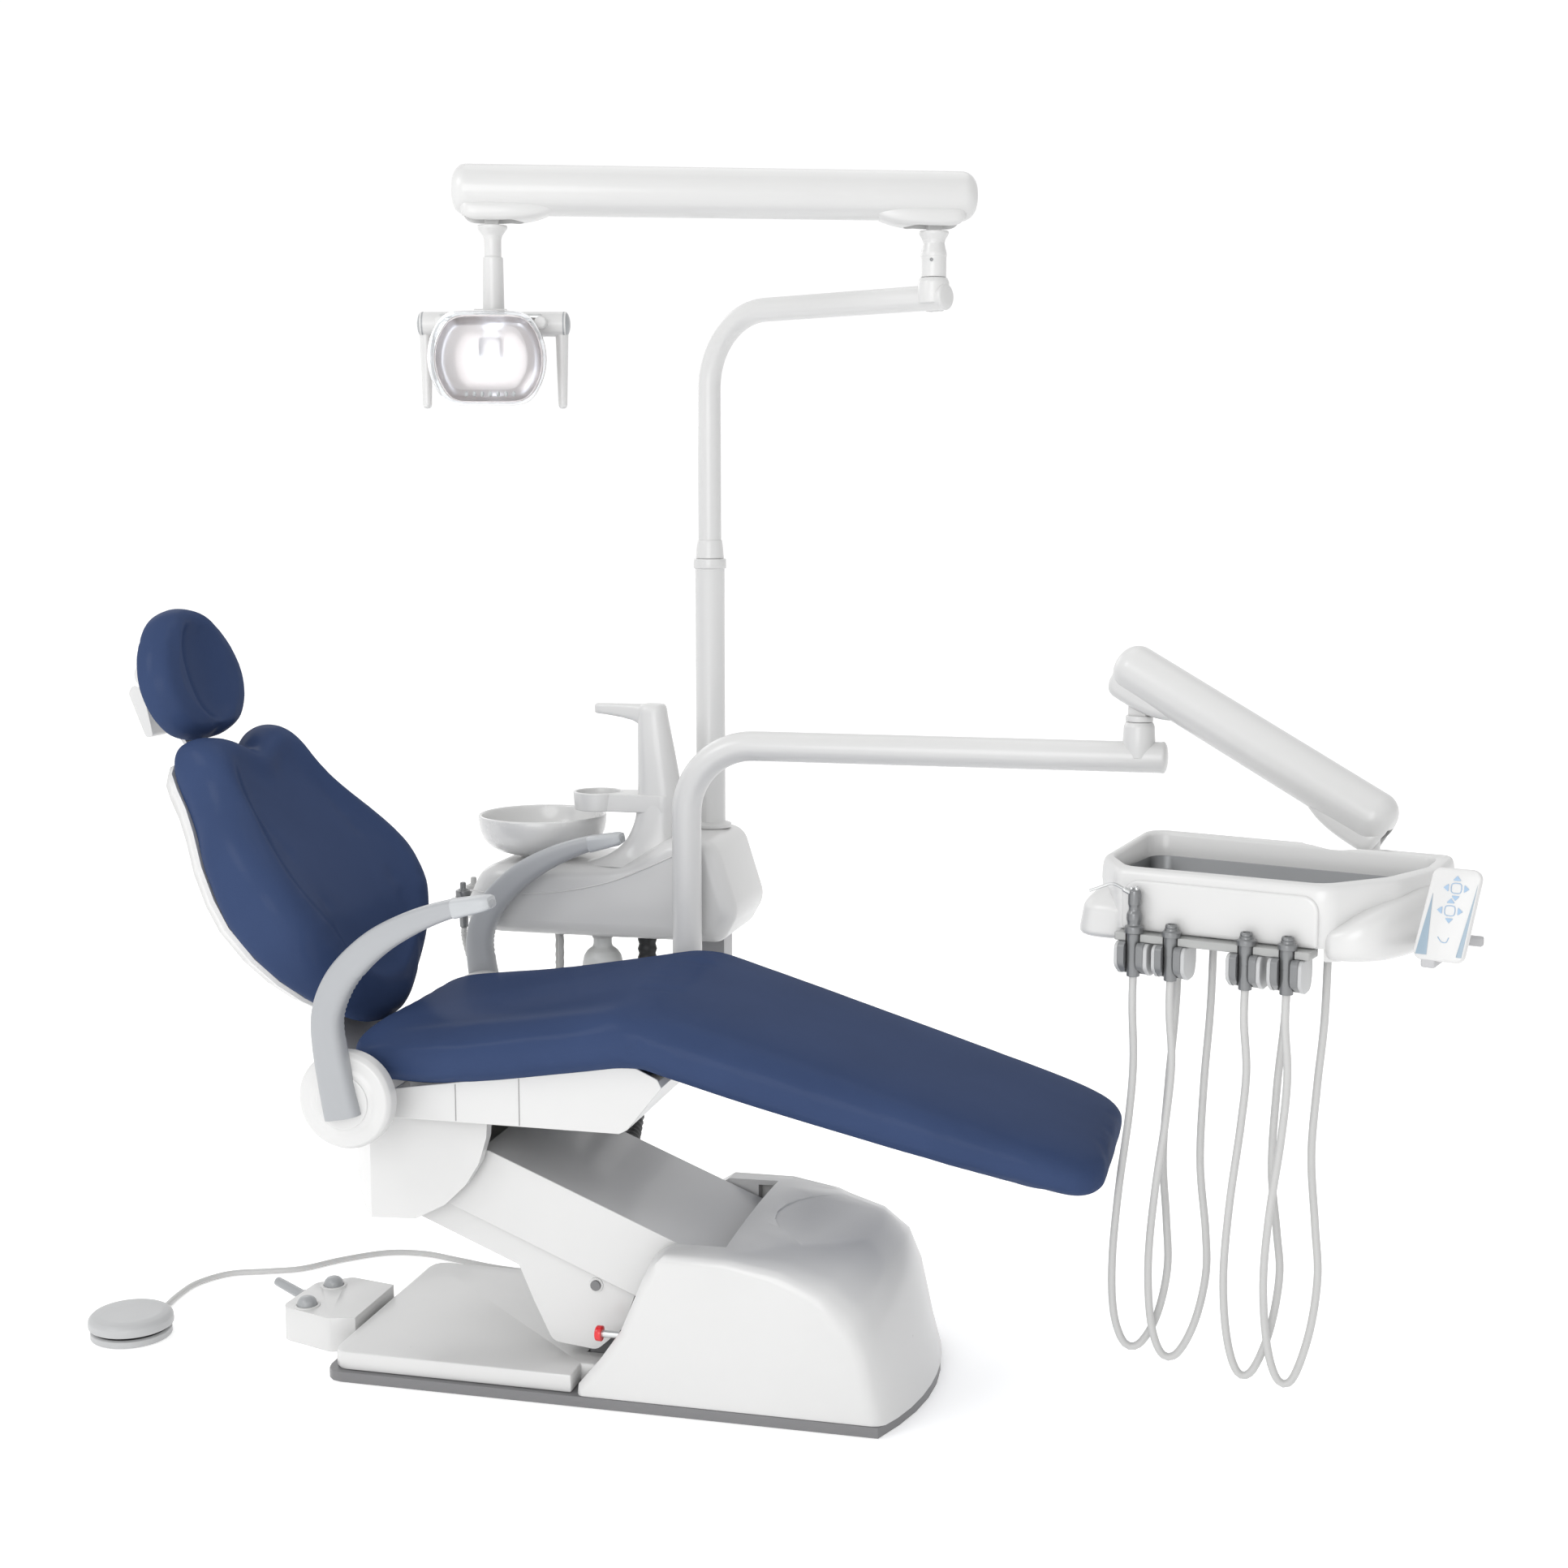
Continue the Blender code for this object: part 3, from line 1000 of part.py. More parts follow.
def tray_body():
    """The instrument table: a deep shell with a recess for the steel liner."""
    outline = rounded([(-0.050, 0.298, 0.03), (-0.046, 0.075, 0.03), (0.006, 0.004, 0.02), (0.352, 0.004, 0.03),
                       (0.440, 0.090, 0.05), (0.476, 0.180, 0.03), (0.476, 0.280, 0.02)])
    lower = rounded([(-0.040, 0.286, 0.03), (-0.039, 0.080, 0.03), (0.010, 0.010, 0.02), (0.348, 0.010, 0.03),
                     (0.425, 0.095, 0.05), (0.454, 0.185, 0.03), (0.454, 0.268, 0.02)])
    rings = [[Vector((x, y, z + rise * y)) for x, y in ring] for z, rise, ring in
             ((0.800, 0.0, lower), (0.806, 0.0, outline), (0.904, TRAY_RISE, outline), (0.917, TRAY_RISE, outline))]
    body = loft("tray_body", rings, "warm_white")
    bowl_cut = slab("tray_recess", rounded([(-0.032, 0.276, 0.03), (-0.026, 0.090, 0.03), (0.020, 0.034, 0.03),
                                            (0.335, 0.034, 0.04), (0.410, 0.110, 0.05), (0.448, 0.190, 0.03),
                                            (0.448, 0.258, 0.02)]), 0.872, 0.99, upright=False)
    under = box("tray_under", (0.030, 0.030, 0.70), (0.350, 0.250, 0.850))
    notch = box("rail_notch", (0.012, -0.02, 0.79), (0.345, 0.034, RAIL_TOP + 0.0013))
    boss = rod("mount_boss", (0.0, 0.0, 0.0), (0.0, 0.0, 0.082), 0.022, sides=20)
    bracket = box("mount_bracket", (0.296, 0.262, 0.802), (0.346, 0.350, 0.858))
    well = rod("mount_well", (0.0, 0.0, 0.040), (0.0, 0.0, 0.20), 0.0133)
    for tool in (bowl_cut, under, notch, bracket):
        in_tray(tool)
    in_tray(body)
    boss.location = (ARM_B.x, ARM_B.y, 0.801 + 0.041)
    well.location = (ARM_B.x, ARM_B.y, 0.8415 + 0.08)
    return cut(join(body, boss, bracket), bowl_cut, under, notch, well)


def tray_liner():
    """A lift-out steel tray."""
    outline = rounded([(-0.026, 0.270, 0.03), (-0.021, 0.094, 0.03), (0.023, 0.040, 0.03), (0.332, 0.040, 0.04),
                       (0.404, 0.113, 0.05), (0.441, 0.192, 0.03), (0.441, 0.252, 0.02)])
    inner = [(0.203 + (x - 0.203) * 0.992, 0.155 + (y - 0.155) * 0.985) for x, y in outline]
    liner = slab("tray_liner", outline, 0.8723, 0.900, "steel", upright=False)
    return cut(in_tray(liner), in_tray(slab("liner_inside", inner, 0.8739, 0.99, upright=False)))


def instrument_holders():
    """A rail under the tray's front with four open cradles."""
    rail = box("instrument_holders", (0.018, -0.020, RAIL_TOP - 0.0132), (0.334, 0.024, RAIL_TOP), "holder_grey",
               bevel=0.002)
    blocks, wells = [], []
    for x in STATIONS:
        blocks.append(rod("cradle", (x, -0.008, RAIL_TOP - 0.0432), (x, -0.008, RAIL_TOP - 0.0092), 0.0240, sides=16))
        wells.append(rod("cradle_well", (x, STATION_Y, 0.70), (x, STATION_Y, 0.85), 0.0128))
        wells.append(box("cradle_mouth", (x - 0.0095, -0.06, 0.70), (x + 0.0095, STATION_Y, 0.85)))
    for tool in blocks + wells:
        in_tray(tool)
    return cut(join(in_tray(rail), *blocks), *wells)


def keypad():
    """The control panel at the tray's right, leaning back."""
    outline = rounded([(-0.046, -0.070, 0.012), (0.030, -0.070, 0.012), (0.046, 0.070, 0.012), (-0.026, 0.070, 0.012)])
    panel = slab("keypad", outline, -0.007, 0.007, "warm_white", bevel=0.003)
    moved(panel, Matrix.Translation((0.524, 0.030, 0.890)) @ Matrix.Rotation(math.radians(-16), 4, "X"))
    bracket = box("keypad_bracket", (0.4766, 0.190, 0.8135), (0.540, 0.204, 0.8295))
    arm = box("keypad_arm", (0.510, 0.0055, 0.812), (0.538, 0.2065, 0.838))
    for tool in (bracket, arm):
        in_tray(tool)
    return join(in_tray(panel), arm, bracket)


INSTRUMENT_FOOT = 0.752


def syringe(x):
    """A three-way syringe: body, buttons block and a bent metal nozzle."""
    body = rod("syringe", (x, STATION_Y, INSTRUMENT_FOOT), (x, STATION_Y, 0.860), 0.0105, "tool_grey", sides=14)
    head = rod("syringe_head", (x, STATION_Y, 0.850), (x, STATION_Y, 0.892), 0.0090, sides=14)
    collar = rod("syringe_collar", (x, STATION_Y, RAIL_TOP + 0.0004), (x, STATION_Y, 0.834), 0.0150, sides=14)
    nozzle = tube("nozzle", bent([(x, STATION_Y, 0.885), (x - 0.030, STATION_Y - 0.018, 0.900), (x - 0.062, STATION_Y - 0.036, 0.888)], 0.010, 3),
                  0.0022, sides=6)
    for piece in (body, head, collar, nozzle):
        in_tray(piece)
    return join(body, collar, head, nozzle)


def coupling(name, x):
    """A handpiece coupling: a tapered body with a collar that rests on the cradle."""
    return in_tray(turned(name, [(0.0, 0.842), (0.0085, 0.842), (0.0105, 0.839), (0.0105, 0.832), (0.0150, 0.830),
                                 (0.0150, RAIL_TOP + 0.0004), (0.0112, RAIL_TOP + 0.0003), (0.0105, INSTRUMENT_FOOT),
                                 (0.0, INSTRUMENT_FOOT)], (x, STATION_Y, 0.0), "tool_grey", steps=14))


# each instrument hose: x along the tray, distance behind its front, z
HOSES = (
    ((0.050, -0.0155, 0.7517), (0.050, -0.0155, 0.700), (0.050, -0.006, 0.610), (0.043, -0.002, 0.520),
     (0.026, 0.003, 0.390), (0.015, 0.010, 0.270), (0.016, 0.018, 0.180), (0.032, 0.026, 0.128),
     (0.056, 0.034, 0.128), (0.082, 0.042, 0.180), (0.095, 0.050, 0.260), (0.088, 0.058, 0.340),
     (0.077, 0.066, 0.440), (0.080, 0.074, 0.560), (0.087, 0.082, 0.700), (0.088, 0.086, 0.8492)),
    ((0.112, -0.0155, 0.7517), (0.112, -0.0155, 0.700), (0.114, -0.006, 0.620), (0.106, -0.002, 0.530),
     (0.088, 0.003, 0.400), (0.077, 0.010, 0.280), (0.080, 0.018, 0.180), (0.096, 0.026, 0.124),
     (0.120, 0.034, 0.124), (0.146, 0.042, 0.180), (0.160, 0.050, 0.260), (0.155, 0.058, 0.330),
     (0.140, 0.066, 0.440), (0.140, 0.074, 0.570), (0.145, 0.082, 0.700), (0.146, 0.086, 0.8492)),
    ((0.233, -0.0155, 0.7517), (0.233, -0.0155, 0.700), (0.236, -0.006, 0.620), (0.228, -0.002, 0.530),
     (0.212, 0.003, 0.400), (0.203, 0.010, 0.280), (0.208, 0.018, 0.180), (0.224, 0.026, 0.120),
     (0.246, 0.034, 0.122), (0.270, 0.042, 0.190), (0.281, 0.050, 0.280), (0.272, 0.058, 0.350),
     (0.258, 0.066, 0.450), (0.260, 0.074, 0.580), (0.267, 0.082, 0.700), (0.268, 0.086, 0.8492)),
    ((0.298, -0.0155, 0.7517), (0.298, -0.0155, 0.700), (0.301, -0.006, 0.620), (0.293, -0.002, 0.520),
     (0.276, 0.003, 0.390), (0.268, 0.010, 0.280), (0.274, 0.018, 0.180), (0.290, 0.026, 0.121),
     (0.312, 0.034, 0.123), (0.334, 0.042, 0.200), (0.342, 0.050, 0.290), (0.333, 0.058, 0.370),
     (0.321, 0.066, 0.480), (0.324, 0.074, 0.590), (0.330, 0.082, 0.700), (0.331, 0.086, 0.8492)),
)


def instrument_hose(number, route):
    line = [tray_point(*point) for point in flowing(route, 0.030)]
    return tube(f"instrument_hose_{number}", line, 0.0062, "hose_grey")


# ---------------------------------------------------------------------------------------------- all

for stale in list(bpy.data.objects):
    bpy.data.objects.remove(stale, do_unlink=True)
PARTS = collection("dental_chair")
CUTTERS = collection("cutters")
material("warm_white", (0.80, 0.80, 0.79), 0.30)
material("ceramic_white", (0.86, 0.86, 0.85), 0.15)
material("bottle_white", (0.82, 0.83, 0.82), 0.35)
material("plinth_grey", (0.20, 0.20, 0.21), 0.45)
material("frame_grey", (0.30, 0.31, 0.32), 0.45)
material("arm_grey", (0.45, 0.46, 0.47), 0.40)
material("navy_leather", (0.045, 0.075, 0.17), 0.42)
material("button_grey", (0.34, 0.35, 0.36), 0.40)
material("holder_grey", (0.22, 0.23, 0.24), 0.40)
material("tool_grey", (0.20, 0.21, 0.22), 0.35, 0.4)
material("hose_grey", (0.42, 0.42, 0.43), 0.50)
material("hose_black", (0.03, 0.03, 0.035), 0.55)
material("stop_red", (0.60, 0.02, 0.02), 0.35)
material("steel", (0.56, 0.57, 0.58), 0.28, 1.0)
material("reflector", (0.80, 0.80, 0.82), 0.12, 0.9)
material("clear_plastic", (0.92, 0.95, 0.96), 0.05, 0.0, 0.3)

base_plate()
base_tray()
base_hood()
foot_control()
pedal_base()
pedal_cord()
on_axis("stop_travel", (-0.026, -0.21, 0.122), stop_button())
on_axis("foot_button_near_travel", (*FOOT_BUTTONS[0], 0.07), foot_button("foot_button_near", FOOT_BUTTONS[0]))
on_axis("foot_button_far_travel", (*FOOT_BUTTONS[1], 0.07), foot_button("foot_button_far", FOOT_BUTTONS[1]))
on_axis("joystick_pivot", (-0.630, -0.0152, 0.0416), foot_joystick())
on_axis("pedal_travel", PEDAL, pedal_disc())
on_axis("lift_pivot", UPPER_PIVOT, lift_arm_upper())
on_axis("lower_link_pivot", LOWER_PIVOT, lift_arm_lower())

TOP_PIVOT = Vector((link_point(UPPER_PIVOT, LINK, 0.0)[0], 0.0, link_point(UPPER_PIVOT, LINK, 0.0)[1]))
column = spout_column()
on_axis("seat_level", TOP_PIVOT, pivot_housing(), seat_frame(), seat_side_cover(), seat_cushion(), unit_body(),
        column, lamp_post())
on_axis("armrest_near_pivot", RECLINE, armrest("armrest_near", -1))
on_axis("armrest_far_pivot", RECLINE, armrest("armrest_far", 1))
on_axis("recline_pivot", RECLINE, backrest_frame(), backrest_shell(), backrest_cushion())
on_axis("headrest_travel", HEAD_HINGE, headrest_bar())
on_axis("headrest_pivot", HEAD_HINGE, headrest_mount(), headrest_cushion())
on_axis("knob_axis", KNOB, headrest_knob())
on_axis("lever_pivot", HEAD_HINGE, headrest_lever())
on_axis("bowl_lift", BOWL, bowl())
on_axis("bottle_travel", BOTTLE, water_bottle())
tube("drain_hose", flowing(DRAIN_HOSE, 0.030), 0.0190, "hose_black", sides=10)
for label, route, (hx, hy) in zip(("near", "far"), SUCTION_HOSES, HANDPIECES):
    tube(f"suction_hose_{label}", flowing(route, 0.020), 0.0065, "hose_grey")
    on_axis(f"suction_{label}_travel", (hx, hy, 0.66), suction_handpiece(f"suction_handpiece_{label}", hx, hy))

on_axis("lamp_swing", POST, lamp_tube())
on_axis("lamp_elbow", LAMP_KNUCKLE, join(lamp_knuckle(), *fork_tongue("knuckle_tongue", LAMP_KNUCKLE)))
on_axis("lamp_tilt", (*LAMP_KNUCKLE.xy, TILT_Z), lamp_arm())
on_axis("lamp_drop", (*LAMP_STEM.xy, TILT_Z), lamp_stem())
on_axis("lamp_turn", (*LAMP_STEM.xy, LAMP_BAR_Z), lamp_yoke())
on_axis("lamp_nod", LAMP_AXIS, lamp_head(), lamp_shield())

on_axis("delivery_swing", SWING, delivery_tube())
on_axis("delivery_elbow", ELBOW, delivery_knuckle())
on_axis("delivery_tilt", ARM_A, delivery_arm())
on_axis("tray_level", ARM_B, tray_mount())
on_axis("tray_turn", (*ARM_B.xy, 0.9), tray_body(), instrument_holders(), keypad())
on_axis("liner_lift", tray_point(0.2, 0.17, 0.872), tray_liner())
on_axis("syringe_lift", tray_point(STATIONS[0], STATION_Y, 0.8), syringe(STATIONS[0]))
for index, station in enumerate(STATIONS[1:], 1):
    on_axis(f"coupling_{index}_lift", tray_point(station, STATION_Y, 0.8), coupling(f"handpiece_coupling_{index}", station))
for index, route in enumerate(HOSES, 1):
    instrument_hose(index, route)
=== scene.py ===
"""A dental chair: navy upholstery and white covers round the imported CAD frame, in the frame's metres."""

import json
import math

import bmesh
import bpy
from mathutils import Matrix, Vector

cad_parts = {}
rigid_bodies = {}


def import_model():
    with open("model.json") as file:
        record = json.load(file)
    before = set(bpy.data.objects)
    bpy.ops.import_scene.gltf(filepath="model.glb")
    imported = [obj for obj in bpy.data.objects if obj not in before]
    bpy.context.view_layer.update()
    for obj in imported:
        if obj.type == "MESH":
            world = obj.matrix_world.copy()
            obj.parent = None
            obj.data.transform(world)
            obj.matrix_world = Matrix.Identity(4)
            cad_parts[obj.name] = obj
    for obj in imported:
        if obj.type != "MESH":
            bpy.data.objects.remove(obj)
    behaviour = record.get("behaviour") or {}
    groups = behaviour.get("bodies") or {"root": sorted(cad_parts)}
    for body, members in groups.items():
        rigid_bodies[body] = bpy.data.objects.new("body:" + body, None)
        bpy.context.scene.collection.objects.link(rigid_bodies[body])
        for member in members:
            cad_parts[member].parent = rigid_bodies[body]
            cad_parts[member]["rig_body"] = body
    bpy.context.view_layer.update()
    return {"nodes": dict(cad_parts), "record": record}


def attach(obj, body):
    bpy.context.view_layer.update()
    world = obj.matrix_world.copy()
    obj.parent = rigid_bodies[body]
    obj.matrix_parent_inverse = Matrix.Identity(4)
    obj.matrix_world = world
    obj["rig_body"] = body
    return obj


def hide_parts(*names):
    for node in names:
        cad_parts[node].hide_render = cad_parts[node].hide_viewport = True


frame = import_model()
NODES = frame["nodes"]

BACK_FOOT = Vector((-0.450, 0.0, 0.550))
BACK_TILT = math.radians(123.3)
HEAD_CENTRE = Vector((-0.841, 0.0, 1.193))
HEAD_TILT = math.radians(105.3)
RECLINE = Vector((-0.434, 0.0, 0.505))
POST = Vector((-0.042, 0.550, 0.0))
LAMP_ARM_Z = 1.850
LAMP_KNUCKLE = Vector((0.430, 0.327, 0.0))
LAMP_STEM = Vector((-0.290, 0.070, 0.0))
SPRING_Z = 2.023
TILT_Z = 1.996
LAMP_BAR_Z = 1.798
LAMP_WAY = Vector((0.971, 0.239, 0.0))
LAMP_FRONT = Vector((0.239, -0.971, 0.0))
LAMP_HEAD = Vector((*LAMP_STEM.xy, 1.735))
BOWL = Vector((-0.370, 0.490, 0.0))
COLUMN = Vector((-0.115, 0.450, 0.0))
BOTTLE = Vector((-0.235, 0.450, 0.0))
SUCTION_SEATS = ((-0.5200, 0.440), (-0.5220, 0.500))
SWING = Vector((-0.027, 0.330, 0.0))
SWING_Z = 1.050
ELBOW = Vector((0.803, 0.330, 0.0))
ARM_A = Vector((0.803, 0.330, 1.199))
ARM_B = Vector((1.200, 0.170, 0.982))
TRAY_CORNER = Vector((0.791, -0.069, 0.0))
TRAY_TURN = math.radians(-17.0)
STATIONS = (0.050, 0.112, 0.233, 0.298)
STATION_Y = -0.0155
RAIL_TOP = 0.8212
RAIL_WELL = 0.0132
CHEEK_WELL = 0.0150
RISE = 0.077
PEDAL = Vector((-0.945, -0.130, 0.0))
CLOTH_FRAMES = 20


# ---------------------------------------------------------------------------------------- materials

def new_material(name):
    made = bpy.data.materials.new(name)
    made.use_nodes = True
    tree = made.node_tree
    return made, tree, tree.nodes["Principled BSDF"]


def add(tree, kind, **values):
    node = tree.nodes.new(kind)
    for key, value in values.items():
        if key in node.inputs:
            node.inputs[key].default_value = value
        else:
            setattr(node, key, value)
    return node


def varied_colour(tree, shader, source, colour, tone, scale):
    """Slow, slight changes of colour over the surface."""
    cloud = add(tree, "ShaderNodeTexNoise", Scale=scale, Detail=3.0)
    mix = add(tree, "ShaderNodeMix", data_type="RGBA")
    mix.inputs["A"].default_value = (*(c * (1 - tone) for c in colour), 1.0)
    mix.inputs["B"].default_value = (*(min(1.0, c * (1 + tone)) for c in colour), 1.0)
    tree.links.new(source, cloud.inputs["Vector"])
    tree.links.new(cloud.outputs["Fac"], mix.inputs["Factor"])
    tree.links.new(mix.outputs["Result"], shader.inputs["Base Color"])


def varied_roughness(tree, shader, source, roughness, spread, scale):
    cloud = add(tree, "ShaderNodeTexNoise", Scale=scale, Detail=4.0)
    span = add(tree, "ShaderNodeMapRange")
    span.inputs["To Min"].default_value = roughness - spread
    span.inputs["To Max"].default_value = roughness + spread
    tree.links.new(source, cloud.inputs["Vector"])
    tree.links.new(cloud.outputs["Fac"], span.inputs["Value"])
    tree.links.new(span.outputs["Result"], shader.inputs["Roughness"])


def bumped(tree, shader, height, strength, distance):
    bump = add(tree, "ShaderNodeBump", Strength=strength, Distance=distance)
    tree.links.new(height, bump.inputs["Height"])
    tree.links.new(bump.outputs["Normal"], shader.inputs["Normal"])
    return bump


def moulded(name, colour, roughness, tone=0.02, grain=420.0, strength=0.10, coat=0.0, metallic=0.0):
    """Moulded plastic or enamel: orange-peel grain, slight clouds of tone and of gloss."""
    made, tree, shader = new_material(name)
    place = add(tree, "ShaderNodeTexCoord").outputs["Object"]
    varied_colour(tree, shader, place, colour, tone, 5.0)
    varied_roughness(tree, shader, place, roughness, 0.05, 30.0)
    peel = add(tree, "ShaderNodeTexNoise", Scale=grain, Detail=2.0)
    tree.links.new(place, peel.inputs["Vector"])
    bumped(tree, shader, peel.outputs["Fac"], strength, 0.0004)
    shader.inputs["Metallic"].default_value = metallic
    shader.inputs["Coat Weight"].default_value = coat
    shader.inputs["Coat Roughness"].default_value = 0.12
    return made


def upholstery(name, colour):
    """Smooth vinyl with a fine pebble grain and broad, soft creases."""
    made, tree, shader = new_material(name)
    place = add(tree, "ShaderNodeTexCoord").outputs["Object"]
    varied_colour(tree, shader, place, colour, 0.10, 7.0)
    varied_roughness(tree, shader, place, 0.40, 0.05, 55.0)
    pebble = add(tree, "ShaderNodeTexVoronoi", Scale=650.0, feature="SMOOTH_F1")
    soft = add(tree, "ShaderNodeTexNoise", Scale=28.0, Detail=4.0)
    tree.links.new(place, pebble.inputs["Vector"])
    tree.links.new(place, soft.inputs["Vector"])
    fine = add(tree, "ShaderNodeBump", Strength=0.22, Distance=0.0006)
    tree.links.new(pebble.outputs["Distance"], fine.inputs["Height"])
    broad = bumped(tree, shader, soft.outputs["Fac"], 0.10, 0.003)
    tree.links.new(fine.outputs["Normal"], broad.inputs["Normal"])
    shader.inputs["Coat Weight"].default_value = 0.09
    shader.inputs["Coat Roughness"].default_value = 0.24
    shader.inputs["Specular IOR Level"].default_value = 0.0
    return made


def brushed(name, colour, roughness):
    made, tree, shader = new_material(name)
    place = add(tree, "ShaderNodeTexCoord").outputs["Object"]
    stretch = add(tree, "ShaderNodeMapping")
    stretch.inputs["Scale"].default_value = (6.0, 260.0, 260.0)
    lines = add(tree, "ShaderNodeTexNoise", Scale=6.0, Detail=3.0)
    tree.links.new(place, stretch.inputs["Vector"])
    tree.links.new(stretch.outputs["Vector"], lines.inputs["Vector"])
    varied_colour(tree, shader, place, colour, 0.04, 8.0)
    span = add(tree, "ShaderNodeMapRange")
    span.inputs["To Min"].default_value = roughness - 0.06
    span.inputs["To Max"].default_value = roughness + 0.08
    tree.links.new(lines.outputs["Fac"], span.inputs["Value"])
    tree.links.new(span.outputs["Result"], shader.inputs["Roughness"])
    bumped(tree, shader, lines.outputs["Fac"], 0.08, 0.0003)
    shader.inputs["Metallic"].default_value = 1.0
    return made


def clear(name, roughness):
    made, tree, shader = new_material(name)
    place = add(tree, "ShaderNodeTexCoord").outputs["Object"]
    varied_roughness(tree, shader, place, roughness, 0.015, 60.0)
    shader.inputs["Base Color"].default_value = (0.97, 0.985, 1.0, 1.0)
    shader.inputs["Transmission Weight"].default_value = 1.0
    shader.inputs["IOR"].default_value = 1.35
    return made


def glowing(name, colour, strength):
    made, tree, shader = new_material(name)
    place = add(tree, "ShaderNodeTexCoord").outputs["Object"]
    varied_colour(tree, shader, place, colour, 0.02, 60.0)
    shader.inputs["Emission Color"].default_value = (*colour, 1.0)
    shader.inputs["Emission Strength"].default_value = strength
    return made


M = {
    "warm_white": moulded("white_plastic", (0.585, 0.585, 0.582), 0.30, coat=0.25),
    "matt_white": moulded("white_satin", (0.58, 0.58, 0.575), 0.45),
    "ceramic_white": moulded("white_glaze", (0.60, 0.60, 0.597), 0.26, coat=0.4),
    "bottle_white": moulded("bottle_plastic", (0.66, 0.67, 0.66), 0.35),
    "plinth_grey": moulded("plinth_enamel", (0.16, 0.16, 0.165), 0.42, tone=0.08, strength=0.25),
    "frame_grey": moulded("frame_enamel", (0.42, 0.42, 0.43), 0.42, tone=0.06, strength=0.2),
    "arm_grey": moulded("armrest_plastic", (0.335, 0.345, 0.36), 0.40, tone=0.03, strength=0.16),
    "tip_grey": moulded("armrest_tip", (0.42, 0.435, 0.45), 0.38, strength=0.14),
    "button_grey": moulded("button_plastic", (0.30, 0.31, 0.32), 0.36, coat=0.3),
    "pedal_grey": moulded("pedal_plastic", (0.42, 0.425, 0.43), 0.38, tone=0.03, strength=0.2),
    "holder_grey": moulded("holder_plastic", (0.33, 0.335, 0.33), 0.34, tone=0.05, coat=0.3),
    "tool_grey": moulded("tool_metal", (0.20, 0.205, 0.21), 0.30, tone=0.08, metallic=0.55),
    "hose_grey": moulded("hose_rubber", (0.46, 0.46, 0.455), 0.42, tone=0.05, strength=0.2),
    "hose_black": moulded("hose_black", (0.030, 0.031, 0.033), 0.48, tone=0.10, strength=0.3),
    "stop_red": moulded("stop_red", (0.62, 0.012, 0.018), 0.28, coat=0.5),
    "green": moulded("marker_green", (0.01, 0.42, 0.08), 0.40),
    "seam": moulded("seam_shadow", (0.30, 0.30, 0.30), 0.60),
    "pad_blue": moulded("keypad_strip", (0.25, 0.33, 0.40), 0.30, coat=0.3),
    "pad_icon": moulded("keypad_icon", (0.30, 0.42, 0.56), 0.45),
    "navy_leather": upholstery("navy_vinyl", (0.034, 0.054, 0.120)),
    "steel": brushed("brushed_steel", (0.60, 0.61, 0.61), 0.30),
    "reflector": moulded("reflector_mirror", (0.52, 0.475, 0.465), 0.30, tone=0.08, metallic=0.45, grain=90.0),
    "clear_plastic": clear("clear_shield", 0.04),
    "led": glowing("light_source", (0.80, 0.90, 1.0), 7.0),
    "cradle": moulded("cradle_plastic", (0.17, 0.175, 0.18), 0.34, tone=0.06, coat=0.3),
    "cheek": moulded("cheek_plastic", (0.43, 0.435, 0.44), 0.36, tone=0.04, coat=0.2),
    "liner_steel": brushed("liner_steel", (0.20, 0.205, 0.21), 0.40),
}


# ------------------------------------------------------------------------------------ shape helpers

def finish(obj, body, slot, material=None, nodes=(), angle=35.0):
    bpy.context.scene.collection.objects.link(obj)
    obj.data.materials.clear()
    obj.data.materials.append(M[material or slot])
    if obj.type == "MESH":
        obj.data.shade_smooth()
        if angle:
            obj.data.set_sharp_from_angle(angle=math.radians(angle))
    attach(obj, body)
    if nodes:
        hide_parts(*nodes)
    return obj


def to_object(name, bm):
    bmesh.ops.recalc_face_normals(bm, faces=bm.faces)
    mesh = bpy.data.meshes.new(name)
    bm.to_mesh(mesh)
    bm.free()
    return bpy.data.objects.new(name, mesh)


def bevel(obj, width, segments=3, angle=35.0):
    modifier = obj.modifiers.new("edges", "BEVEL")
    modifier.width = width
    modifier.segments = segments
    modifier.limit_method = "ANGLE"
    modifier.angle_limit = math.radians(angle)
    modifier.harden_normals = True
    return obj


def softened(node, width, material=None, segments=2, angle=32.0):
    """The CAD solid again, with rounded edges."""
    source = NODES[node]
    bm = bmesh.new()
    bm.from_mesh(source.data)
    bmesh.ops.remove_doubles(bm, verts=bm.verts, dist=0.00002)
    bmesh.ops.dissolve_limit(bm, angle_limit=math.radians(1.0), verts=bm.verts, edges=bm.edges)
    obj = to_object(node + "_skin", bm)
    slot = SLOT[node]
    finish(obj, source["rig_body"], slot, material, (node,), angle)
    if width:
        bevel(obj, width, segments, angle)
    return obj


SLOT = {entry["node"]: entry["material_slot"] for entry in frame["record"]["subparts"]}


